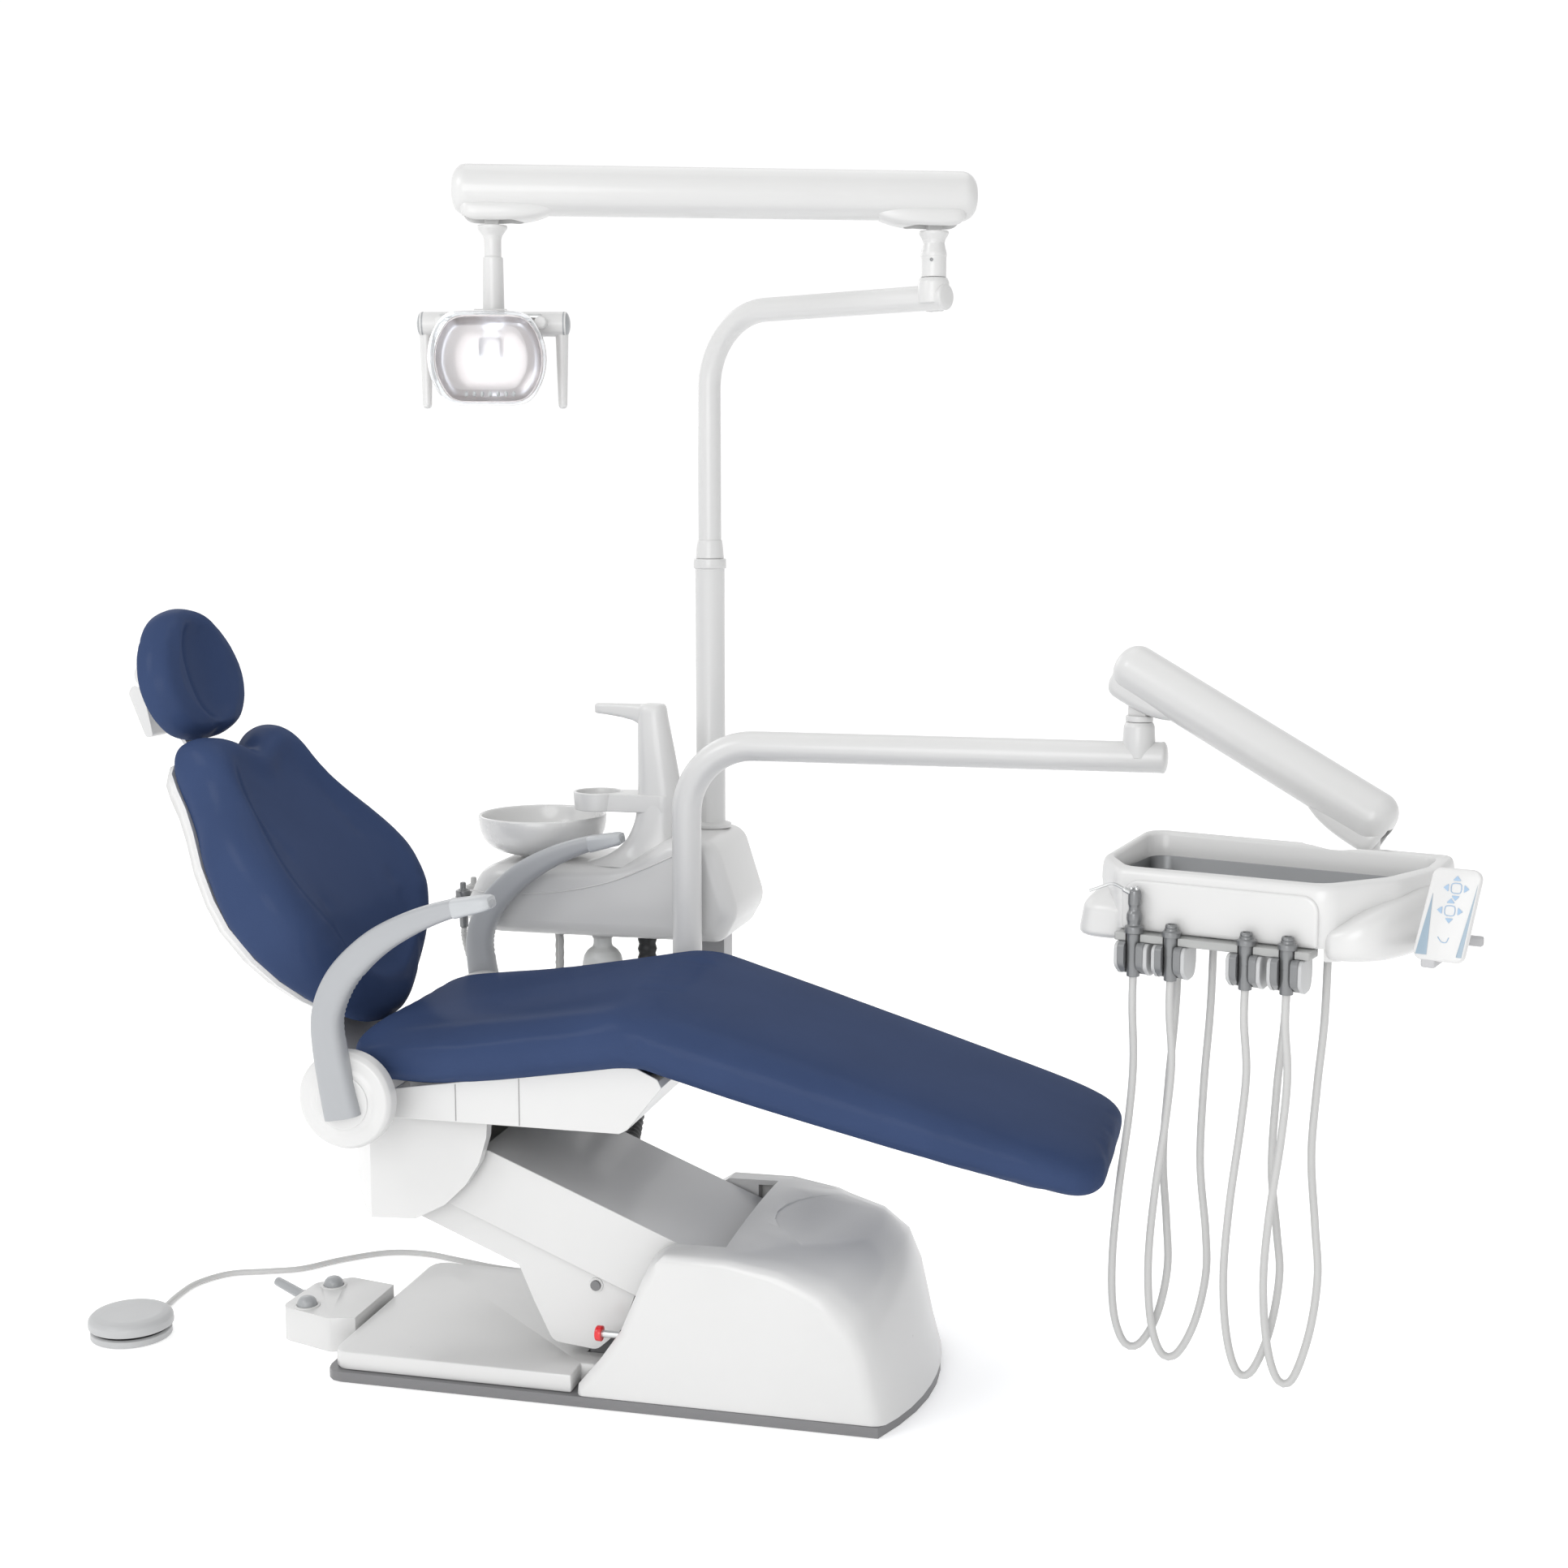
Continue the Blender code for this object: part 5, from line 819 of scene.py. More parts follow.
def armrest(node, side):
    """A swept bar from the white hub, ribbed under its bend, with a lighter cap at the tip."""
    line = ((-0.418, 0.500, 0.062), (-0.430, 0.560, 0.058), (-0.440, 0.620, 0.054), (-0.441, 0.668, 0.052),
            (-0.426, 0.712, 0.052), (-0.398, 0.752, 0.050), (-0.350, 0.795, 0.046), (-0.290, 0.829, 0.039),
            (-0.228, 0.853, 0.031), (-0.178, 0.864, 0.025), (-0.152, 0.866, 0.020))
    middle, half = side * 0.330, 0.0208
    rows = smooth_vectors(line, 90)
    rings = []
    for i, (x, z, deep) in enumerate(rows):
        before, after = rows[max(i - 1, 0)], rows[min(i + 1, len(rows) - 1)]
        run = Vector((after[0] - before[0], 0, after[1] - before[1])).normalized()
        out = Vector((run.z, 0, -run.x))
        rib = 0.0014 * max(0.0, math.cos(i * math.pi)) if 18 < i < 46 else 0.0
        end = min(1.0, 0.55 + 0.15 * (len(rows) - 1 - i))
        rings.append([Vector((x, middle, z)) + out * (b * end - rib * (1 if b > 0 else 0)) + Vector((0, a * end, 0))
                      for a, b in oval(36, half, deep / 2, 3.0)])
    finish(skin(node + "_bar", rings), node, "arm_grey", nodes=(node,), angle=50)
    hub_place, outwards = Vector((RECLINE.x + 0.011, side * 0.2875, RECLINE.z + 0.018)), Vector((0, side, 0))
    hub = lathe(node + "_hub", rounded_profile([(0.0, 0.039), (0.052, 0.039), (0.058, 0.036), (0.076, 0.034),
                                                (0.082, 0.026), (0.082, 0.004), (0.078, 0.0), (0.0, 0.0)], 0.003),
                hub_place, 72, outwards)
    finish(hub, node, "arm_grey", "warm_white", nodes=(node,))
    ring = lathe(node + "_hub_ring", rounded_profile([(0.0, 0.0415), (0.044, 0.0415), (0.046, 0.0405),
                                                      (0.046, 0.036), (0.0, 0.036)], 0.001),
                 hub_place, 64, outwards)
    finish(ring, node, "arm_grey", "warm_white", nodes=(node,))
    along = (Vector((-0.178, 0, 0.864)) - Vector((-0.228, 0, 0.853))).normalized()
    out = Vector((along.z, 0, -along.x))
    start = Vector((-0.216, middle, 0.8555))
    cap = []
    for t, grow in ((0.0, 0.94), (0.002, 1.0), (0.050, 0.985), (0.058, 0.93), (0.064, 0.75)):
        deep = 0.0315 - 0.12 * t
        cap.append([start + along * t + out * b * grow + Vector((0, a * grow, 0))
                    for a, b in oval(36, half + 0.0014, deep / 2, 4.0)])
    finish(skin(node + "_tip", cap), node, "arm_grey", "tip_grey", nodes=(node,))


def base():
    """The floor plate, the cover round the lift, the wide hood, the red stop and the foot pod."""
    softened("base_plate", 0.0015, "plinth_grey")
    softened("base_tray", 0.004, "warm_white", 3)
    softened("base_hood", 0.005, "warm_white", 3, 40.0)
    softened("foot_control", 0.004, "warm_white", 3)
    softened("lift_arm_upper", 0.004, "warm_white", 3)
    softened("lift_arm_lower", 0.005, "warm_white", 3)
    softened("pivot_housing", 0.004, "warm_white", 3)
    softened("seat_side_cover", 0.0018, "warm_white", 3)
    softened("seat_frame", 0.0010, "frame_grey")
    softened("backrest_frame", 0.0010, "frame_grey")
    for label, side in (("near", -1), ("far", 1)):
        cap = lathe(f"link_cap_{label}", rounded_profile([(0.0, 0.0018), (0.0125, 0.0016), (0.0130, 0.0004),
                                                          (0.0130, -0.0002), (0.0, -0.0002)], 0.0005),
                    Vector((-0.048, side * 0.154, 0.183)), 48, Vector((0, side, 0)))
        finish(cap, "lower_link", "warm_white", nodes=("lift_arm_lower",), angle=50)
    spot = Vector((-0.0312, -0.21, 0.122))
    stop = lathe("stop_cap", rounded_profile([(0.0, 0.0), (0.009, 0.0006), (0.0126, 0.0025), (0.0130, 0.005),
                                              (0.0130, 0.0125), (0.0, 0.0125)], 0.001),
                 spot, 48, Vector((1, 0, 0)))
    finish(stop, "stop", "stop_red", nodes=("stop_button",))
    stem = lathe("stop_rod", [(0.0, 0.055), (0.006, 0.055), (0.006, 0.012), (0.0, 0.012)], spot, 24,
                 Vector((1, 0, 0)))
    finish(stem, "stop", "stop_red", "steel", nodes=("stop_button",))


def seams():
    """Fine shadow lines where covers meet."""
    for name, body, rows in (
            ("side_cover_seam_1", "seat", [(-0.150, -0.2353, 0.477), (-0.150, -0.2353, 0.556)]),
            ("side_cover_seam_2", "seat", [(-0.262, -0.2353, 0.477), (-0.262, -0.2353, 0.539)]),
            ("side_cover_seam_far", "seat", [(-0.150, 0.2353, 0.477), (-0.150, 0.2353, 0.556)])):
        line = flowing(rows, 0.01)
        piece = pipe(name, line, 0.0009, 8)
        finish(piece, body, "warm_white", "seam")


def shells():
    """The backrest's hard shell and the parts of the headrest's hinge."""
    softened("backrest_shell", 0.0, "warm_white", angle=50.0)
    softened("headrest_bar", 0.0012, "warm_white", 3)
    softened("headrest_mount", 0.0015, "warm_white", 3)
    softened("headrest_lever", 0.004, "warm_white", 3)
    knob = Vector((-0.917, -0.0270, 1.190))
    rows = [(0.0, 0.0), (0.020, 0.0), (0.0215, 0.0015), (0.0215, 0.016), (0.019, 0.0200), (0.012, 0.0215),
            (0.0, 0.0218)]
    grip = lathe("tilt_knob", rounded_profile(rows, 0.001), knob, 72, Vector((0, -1, 0)))
    for vertex in grip.data.vertices:
        arm = vertex.co - knob
        wide = Vector((arm.x, 0, arm.z))
        if 0.0205 < wide.length:
            wave = 1 - 0.035 * (0.5 + 0.5 * math.cos(12 * math.atan2(arm.z, arm.x)))
            vertex.co = knob + Vector((arm.x * wave, arm.y, arm.z * wave))
    finish(grip, "knob", "warm_white", nodes=("headrest_knob",), angle=50)


# ------------------------------------------------------------------------------------- feet, buttons

def pedals():
    """The disc switch on its base with a thin black disc painted in as the shade of the gap between them, and the foot
    pod's domed buttons.
    """
    finish(lathe("switch_base", rounded_profile([(0.0, 0.0140), (0.066, 0.0140), (0.0715, 0.0115), (0.0718, 0.001),
                                                 (0.070, 0.0002), (0.0, 0.0002)], 0.0012), PEDAL, 96),
           "base", "button_grey", "pedal_grey", nodes=("pedal_base",))
    finish(lathe("switch_disc", rounded_profile([(0.0, 0.0452), (0.030, 0.0450), (0.056, 0.0440), (0.068, 0.0408),
                                                 (0.0745, 0.0345), (0.0753, 0.024), (0.0745, 0.0197),
                                                 (0.0, 0.0197)], 0.003, 5), PEDAL, 96),
           "pedal", "button_grey", "pedal_grey", nodes=("pedal_disc",))
    # painted shade: a thin black disc (hose_black) stands for the shaded gap between the switch's base and its disc
    finish(lathe("switch_gap_painted_shade", [(0.0, 0.0146), (0.067, 0.0146), (0.067, 0.0143), (0.0, 0.0143)], PEDAL, 64),
           "base", "button_grey", "hose_black", nodes=("pedal_base",))
    for body, node, (x, y) in (("foot_near", "foot_button_near", (-0.625, -0.072)),
                               ("foot_far", "foot_button_far", (-0.622, 0.030))):
        dome = lathe(node + "_dome", rounded_profile([(0.0, 0.0800), (0.006, 0.0794), (0.012, 0.0768),
                                                      (0.0162, 0.0722), (0.0180, 0.0655), (0.0180, 0.0462),
                                                      (0.0, 0.0462)], 0.002), Vector((x, y, 0.0)), 48)
        finish(dome, body, "button_grey", nodes=(node,))
        collar = lathe(node + "_collar", rounded_profile([(0.0188, 0.0640), (0.0230, 0.0640), (0.0238, 0.0625),
                                                          (0.0238, 0.0605), (0.0188, 0.0605), (0.0188, 0.0640)],
                                                         0.0006), Vector((x, y, 0.0)), 48)
        finish(collar, "base", "warm_white", "matt_white", nodes=("foot_control",))
    start, end = Vector((-0.620, -0.019, 0.0396)), Vector((-0.735, 0.025, 0.0630))
    way = (end - start).normalized()
    size = (end - start).length
    stick = lathe("stick", rounded_profile([(0.0, size), (0.0050, size), (0.0082, size - 0.003), (0.0086, size - 0.020),
                                            (0.0092, size * 0.45), (0.0115, size * 0.42), (0.0115, size * 0.30),
                                            (0.0095, size * 0.28), (0.0095, 0.0), (0.0, 0.0)], 0.0010),
                  start, 40, way)
    finish(stick, "joystick", "button_grey", nodes=("foot_joystick",))


# ------------------------------------------------------------------------------------- shaped solids

def inset(outline, distance):
    """The outline moved inwards by a distance along its corners' bisectors."""
    count = len(outline)
    area = sum(a[0] * b[1] - b[0] * a[1] for a, b in zip(outline, outline[1:] + outline[:1]))
    sign = 1.0 if area > 0 else -1.0
    made = []
    for i, here in enumerate(outline):
        here = Vector(here)
        back = (here - Vector(outline[i - 1]))
        ahead = (Vector(outline[(i + 1) % count]) - here)
        if back.length < 1e-7:
            back = ahead
        if ahead.length < 1e-7:
            ahead = back
        back, ahead = back.normalized(), ahead.normalized()
        normal = Vector((-(back.y + ahead.y), back.x + ahead.x)) * sign
        if normal.length < 1e-7:
            normal = Vector((-back.y, back.x)) * sign
        made.append(tuple(here + normal.normalized() * distance))
    return made


def slab(name, outline, low, high, edge, upright=True, steps=5, lower_edge=None):
    """A plate with fully rounded rims: edge is the rim's radius."""
    rings = []
    lower_edge = edge if lower_edge is None else lower_edge
    for k in range(steps + 1):
        angle = math.pi / 2 * k / steps
        rings.append((lower_edge * (1 - math.sin(angle)), low + lower_edge * (1 - math.cos(angle))))
    for k in range(steps + 1):
        angle = math.pi / 2 * k / steps
        rings.append((edge * (1 - math.cos(angle)), high - edge * (1 - math.sin(angle))))
    made = []
    for shrink, level in rings:
        ring = inset(outline, shrink) if shrink > 1e-9 else outline
        made.append([Vector((a, level, b)) if upright else Vector((a, b, level)) for a, b in ring])
    return skin(name, made)


def rod_tool(name, low, high, radius, sides=64):
    low, high = Vector(low), Vector(high)
    return lathe(name, [(0.0, (high - low).length), (radius, (high - low).length), (radius, 0.0), (0.0, 0.0)],
                 low, sides, (high - low).normalized())


def sphere(name, place, radius, squash=(1.0, 1.0, 1.0), rings=24):
    rows = [(radius * math.sin(math.pi * k / rings), radius * math.cos(math.pi * k / rings))
            for k in range(rings + 1)]
    rows[0], rows[-1] = (0.0, radius), (0.0, -radius)
    obj = lathe(name, rows, Vector(), 2 * rings)
    obj.data.transform(Matrix.Translation(place) @ Matrix.Diagonal((*squash, 1.0)))
    return obj


# ------------------------------------------------------------------------------------- water unit

def unit_outline():
    return rounded([(-0.505, 0.700, 0.03), (-0.470, 0.668, 0.03), (-0.420, 0.664, 0.03), (0.024, 0.664, 0.03),
                    (0.056, 0.722, 0.05), (0.012, 0.862, 0.04), (-0.080, 0.862, 0.05), (-0.170, 0.806, 0.10),
                    (-0.455, 0.800, 0.06)], 10)


def water_unit():
    """The moulded unit round the post, its cup tower, the bowl, the bottle and the suction handpieces."""
    body = slab("unit_shell", unit_outline(), 0.372, 0.618, 0.030, steps=8)
    boolean(body, cutter("hollow", (-0.440, 0.392, 0.60), (0.008, 0.598, 0.780)))
    boolean(body, rod_tool("post_way", (*POST.xy, 0.60), (*POST.xy, 0.90), 0.0287))
    finish(body, "seat", "warm_white", nodes=("unit_body",), angle=40)
    holder = slab("handpiece_rest", rounded([(-0.541, 0.415, 0.012), (-0.490, 0.415, 0.004), (-0.490, 0.525, 0.004),
                                             (-0.541, 0.525, 0.012)]), 0.706, 0.7195, 0.002, False)
    for x, y in SUCTION_SEATS:
        boolean(holder, rod_tool("well", (x, y, 0.65), (x, y, 0.80), 0.0115))
        boolean(holder, cutter("mouth", (x - 0.06, y - 0.0068, 0.65), (x, y + 0.0068, 0.80)))
    finish(holder, "seat", "warm_white", nodes=("unit_body",), angle=40)
    crest = [(-0.478, 0.748), (-0.400, 0.744), (-0.300, 0.752), (-0.200, 0.774), (-0.120, 0.806), (-0.060, 0.834),
             (-0.020, 0.846)]
    crease = pipe("unit_crease", flowing([(x, 0.3722, z) for x, z in crest], 0.008), 0.0016, 10, 0.001)
    finish(crease, "seat", "warm_white", nodes=("unit_body",), angle=0)

    rows = []
    for z, left, right, half in ((0.803, -0.262, -0.050, 0.066), (0.812, -0.234, -0.058, 0.058),
                                 (0.826, -0.206, -0.066, 0.050), (0.845, -0.184, -0.073, 0.0445),
                                 (0.870, -0.169, -0.077, 0.0410), (0.900, -0.160, -0.078, 0.0385),
                                 (0.935, -0.157, -0.074, 0.0365), (0.975, -0.156, -0.080, 0.0348),
                                 (1.020, -0.156, -0.088, 0.0330), (1.060, -0.156, -0.0955, 0.0300),
                                 (1.092, -0.155, -0.1015, 0.0270)):
        rows.append((z, left, right, half))
    rings = []
    for z, left, right, half in smooth_numbers(rows, 60):
        rings.append([Vector(((left + right) / 2 + a, COLUMN.y + b, z))
                      for a, b in oval(56, (right - left) / 2, half, 2.8)])
    for t in range(1, 7):
        a = math.pi / 2 * t / 6
        grow = 1 - 0.28 * (1 - math.cos(a))
        rings.append([Vector((-0.1285 + (p.x + 0.1285) * grow, COLUMN.y + (p.y - COLUMN.y) * grow,
                              1.092 + 0.0195 * math.sin(a))) for p in rings[59]])
    finish(skin("spout_tower", rings), "seat", "warm_white", nodes=("spout_column",), angle=50)
    rings = []
    for x, low, high, half in ((-0.2430, 1.0935, 1.1095, 0.0075), (-0.2424, 1.0925, 1.1103, 0.0092),
                               (-0.2400, 1.0915, 1.1108, 0.0103), (-0.2200, 1.0895, 1.1110, 0.0112),
                               (-0.1900, 1.0850, 1.1112, 0.0128), (-0.1650, 1.0790, 1.1114, 0.0150),
                               (-0.1500, 1.0700, 1.1114, 0.0180), (-0.1400, 1.0580, 1.1112, 0.0200)):
        rings.append([Vector((x, COLUMN.y + a, (low + high) / 2 + b))
                      for a, b in oval(40, half, (high - low) / 2, 4.0)])
    finish(skin("spout_nozzle", rings), "seat", "warm_white", nodes=("spout_column",), angle=50)
    # painted shade: a black plate at the nozzle's end stands for the dark inside of its opening
    tip = slab("nozzle_mouth_painted_shade", rounded([(COLUMN.y - 0.0042, 1.0945, 0.003), (COLUMN.y + 0.0042, 1.0945, 0.003),
                                        (COLUMN.y + 0.0042, 1.1085, 0.003), (COLUMN.y - 0.0042, 1.1085, 0.003)]),
               -0.2436, -0.2400, 0.0004)
    tip.data.transform(Matrix(((0, 1, 0, 0), (1, 0, 0, 0), (0, 0, 1, 0), (0, 0, 0, 1))))
    finish(tip, "seat", "warm_white", "hose_black", nodes=("spout_column",), angle=40)
    cup = Vector((-0.240, COLUMN.y, 0.0))
    ring = lathe("cup_holder", rounded_profile([(0.0, 0.911), (0.0400, 0.911), (0.0412, 0.9125), (0.0428, 0.939),
                                                (0.0440, 0.9402), (0.0478, 0.9402), (0.0490, 0.939),
                                                (0.0462, 0.9065), (0.0450, 0.905), (0.0, 0.905)], 0.0012), cup, 72)
    finish(ring, "seat", "warm_white", nodes=("spout_column",), angle=50)
    shelf = slab("cup_shelf", rounded([(-0.212, -0.036), (-0.150, -0.037, 0.02), (-0.085, -0.0375, 0.03),
                                       (-0.072, 0.0, 0.03), (-0.085, 0.0375, 0.03), (-0.150, 0.037, 0.02),
                                       (-0.212, 0.036), (-0.204, 0.0, 0.03)]), 0.9052, 0.9395, 0.0022, False)
    shelf.data.transform(Matrix.Translation((0, COLUMN.y, 0)))
    boolean(shelf, rod_tool("cup_way", (-0.240, COLUMN.y, 0.88), (-0.240, COLUMN.y, 1.0), 0.0455))
    finish(shelf, "seat", "warm_white", nodes=("spout_column",), angle=40)

    inside = [(0.0, 0.8145), (0.030, 0.8146), (0.052, 0.8158), (0.075, 0.8205), (0.094, 0.829), (0.107, 0.842),
              (0.1140, 0.858), (0.1175, 0.874), (0.1190, 0.8825)]
    outside = [(0.1200, 0.8848), (0.1220, 0.8858), (0.1245, 0.8850), (0.1256, 0.8825), (0.1250, 0.872),
               (0.1225, 0.856), (0.1165, 0.840), (0.1050, 0.8265), (0.0880, 0.8165), (0.0700, 0.8110),
               (0.0520, 0.8085), (0.0440, 0.8080), (0.0440, 0.8034), (0.0, 0.8034)]
    finish(lathe("rinse_bowl", inside + outside, BOWL, 128), "bowl", "ceramic_white", nodes=("bowl",), angle=60)
    drain = lathe("bowl_drain", rounded_profile([(0.0, 0.8162), (0.010, 0.8162), (0.0125, 0.8150), (0.0125, 0.8140),
                                                 (0.0, 0.8140)], 0.0006), BOWL, 48)
    finish(drain, "bowl", "ceramic_white", "steel", nodes=("bowl",))

    rows = [(0.0, 0.7796), (0.016, 0.7796), (0.018, 0.775), (0.018, 0.640), (0.0195, 0.634), (0.030, 0.626),
            (0.0365, 0.616), (0.0398, 0.600), (0.0400, 0.480), (0.0385, 0.467), (0.0340, 0.4595), (0.028, 0.458),
            (0.020, 0.461), (0.0, 0.463)]
    finish(lathe("bottle", rounded_profile(rows, 0.003), BOTTLE, 72), "bottle", "bottle_white",
           nodes=("water_bottle",), angle=60)
    line = [Vector((BOTTLE.x - 0.010, BOTTLE.y - 0.0388, z)) for z in (0.49, 0.53, 0.57, 0.60)]
    stripe = pipe("bottle_level_line", line, 0.0016, 10)
    finish(stripe, "bottle", "bottle_white", "green", nodes=("water_bottle",))
    cap = lathe("bottle_neck", rounded_profile([(0.0182, 0.7000), (0.0205, 0.6990), (0.0205, 0.6520),
                                                (0.0182, 0.6510), (0.0182, 0.7000)], 0.0008), BOTTLE, 48)
    finish(cap, "bottle", "bottle_white", "matt_white", nodes=("water_bottle",))

    for label, (x, y) in zip(("near", "far"), SUCTION_SEATS):
        foot, head = Vector((x, y, 0.6603)), Vector((x - 0.001, y, 0.750))
        way, size = (head - foot).normalized(), (head - foot).length
        profile = [(0.0, size), (0.0045, size), (0.0060, size - 0.002), (0.0060, 0.0770), (0.0098, 0.0757),
                   (0.0100, 0.0740), (0.0148, 0.0735),
                   (0.0150, 0.0602), (0.0095, 0.0598), (0.0088, 0.030), (0.0085, 0.0), (0.0, 0.0)]
        piece = lathe(f"suction_tip_{label}", rounded_profile(profile, 0.0012), foot, 48, way)
        finish(piece, f"suction_{label}", "hose_grey", "tool_grey" if label == "near" else "hose_grey",
               nodes=(f"suction_handpiece_{label}",), angle=50)


# ------------------------------------------------------------------------------------------- light

def capsule(name, start, end, radius, dome, steps=10, sides=64):
    """A tube whose ends are rounded over the given length."""
    way = (end - start).normalized()
    length = (end - start).length
    profile = [(0.0, length)]
    for k in range(1, steps + 1):
        a = math.pi / 2 * k / steps
        profile.append((radius - dome + dome * math.sin(a) if dome < radius else radius * math.sin(a),
                        length - dome + dome * math.cos(a)))
    low = [(r, length - h) for r, h in reversed(profile)]
    return lathe(name, profile + low, start, sides, way)


def lobe(name, pivot, way, reach, width, top, depth, count=36):
    """A canoe-shaped fairing under an arm: along way from -reach[0] to reach[1], deepest near the pivot."""
    across = Vector((-way.y, way.x, 0.0)).normalized()
    up = way.cross(across)
    if up.z < 0:
        up = -up
    rings = []
    for k in range(count + 1):
        t = k / count
        u = -reach[0] + (reach[0] + reach[1]) * t
        bow = max(0.0, 1 - max(0.0, u / reach[1]) ** 2.4) ** 0.5 * max(0.0, 1 - max(0.0, -u / reach[0]) ** 6) ** 0.5
        bow = max(bow, 0.03)
        half, low = width * (0.35 + 0.65 * bow), top + (depth - top) * bow
        middle, tall = (top + low) / 2, abs(low - top) / 2
        rings.append([pivot + way * u + across * a - up * (middle + b) for a, b in oval(32, half, tall + 1e-4, 3.0)])
    return skin(name, rings)


def lamp_post():
    profile = [(0.0, 1.200), (0.0223, 1.200), (0.0223, 1.386), (0.0313, 1.386), (0.0315, 1.368), (0.0284, 1.3675),
               (0.0284, 0.8740), (0.0400, 0.8700), (0.0402, 0.8625), (0.0284, 0.8622), (0.0284, 0.661),
               (0.0, 0.661)]
    finish(lathe("post", rounded_profile(profile, 0.0014), POST, 96), "seat", "warm_white", nodes=("lamp_post",))
    away = (LAMP_KNUCKLE - POST).normalized()
    end = Vector((*LAMP_KNUCKLE.xy, LAMP_ARM_Z)) + away * 0.026
    line = bent([(POST.x, POST.y, 1.250), (POST.x, POST.y, LAMP_ARM_Z), end], 0.140, 28)
    tube = boolean(pipe("swing_tube", line, 0.0220, 48), rod_tool("well", (*LAMP_KNUCKLE.xy, LAMP_ARM_Z + 0.002),
                                                               (*LAMP_KNUCKLE.xy, LAMP_ARM_Z + 0.1), 0.0168))
    finish(tube, "lamp_tube", "warm_white", nodes=("lamp_tube",))
    cap = lathe("swing_tube_cap", rounded_profile([(0.0, 0.0048), (0.012, 0.0045), (0.0200, 0.0030), (0.0227, 0.0005),
                                                   (0.0227, -0.0030), (0.0, -0.0030)], 0.0010), end, 72, away)
    finish(cap, "lamp_tube", "warm_white", nodes=("lamp_tube",))
    collar = lathe("swing_collar", rounded_profile([(0.0221, 1.4215), (0.0236, 1.4220), (0.0245, 1.4160),
                                                    (0.0262, 1.3990), (0.0270, 1.3890), (0.0270, 1.3866),
                                                    (0.0221, 1.3866), (0.0221, 1.4215)], 0.001), POST, 72)
    finish(collar, "lamp_tube", "warm_white", nodes=("lamp_tube",))
    x, y = LAMP_KNUCKLE.xy
    socket = lathe("knuckle_cup", rounded_profile([(0.0168, LAMP_ARM_Z + 0.002), (0.0168, LAMP_ARM_Z + 0.0338),
                                                   (0.0240, LAMP_ARM_Z + 0.0338), (0.0275, LAMP_ARM_Z + 0.026),
                                                   (0.0280, LAMP_ARM_Z + 0.004), (0.0268, LAMP_ARM_Z - 0.010),
                                                   (0.0, LAMP_ARM_Z - 0.012), (0.0, LAMP_ARM_Z + 0.002)], 0.002),
                   Vector((x, y, 0)), 72)
    finish(socket, "lamp_tube", "warm_white", nodes=("lamp_tube",))
    side = Vector((-away.y, away.x, 0.0))
    block = slab("knuckle_clamp", rounded([(-0.030, -0.022, 0.006), (0.004, -0.022, 0.006), (0.004, 0.026, 0.010),
                                           (-0.018, 0.028, 0.012), (-0.030, 0.014, 0.008)]), -0.0298, -0.0150, 0.0015)
    block.data.transform(Matrix(((away.x, -side.x, 0, x), (away.y, -side.y, 0, y), (0, 0, 1, LAMP_ARM_Z),
                                 (0, 0, 0, 1))))
    boolean(block, rod_tool("well", (x, y, LAMP_ARM_Z + 0.002), (x, y, LAMP_ARM_Z + 0.1), 0.0168))
    finish(block, "lamp_tube", "warm_white", nodes=("lamp_tube",), angle=40)


def fork_slot(centre, way):
    slot = cutter("slot", (-0.034, -0.0135, -0.08), (0.034, 0.0135, 0.020))
    turn = Matrix.Rotation(math.atan2(way.y, way.x), 4, "Z")
    slot.data.transform(Matrix.Translation((centre.x, centre.y, TILT_Z)) @ turn)
    return slot


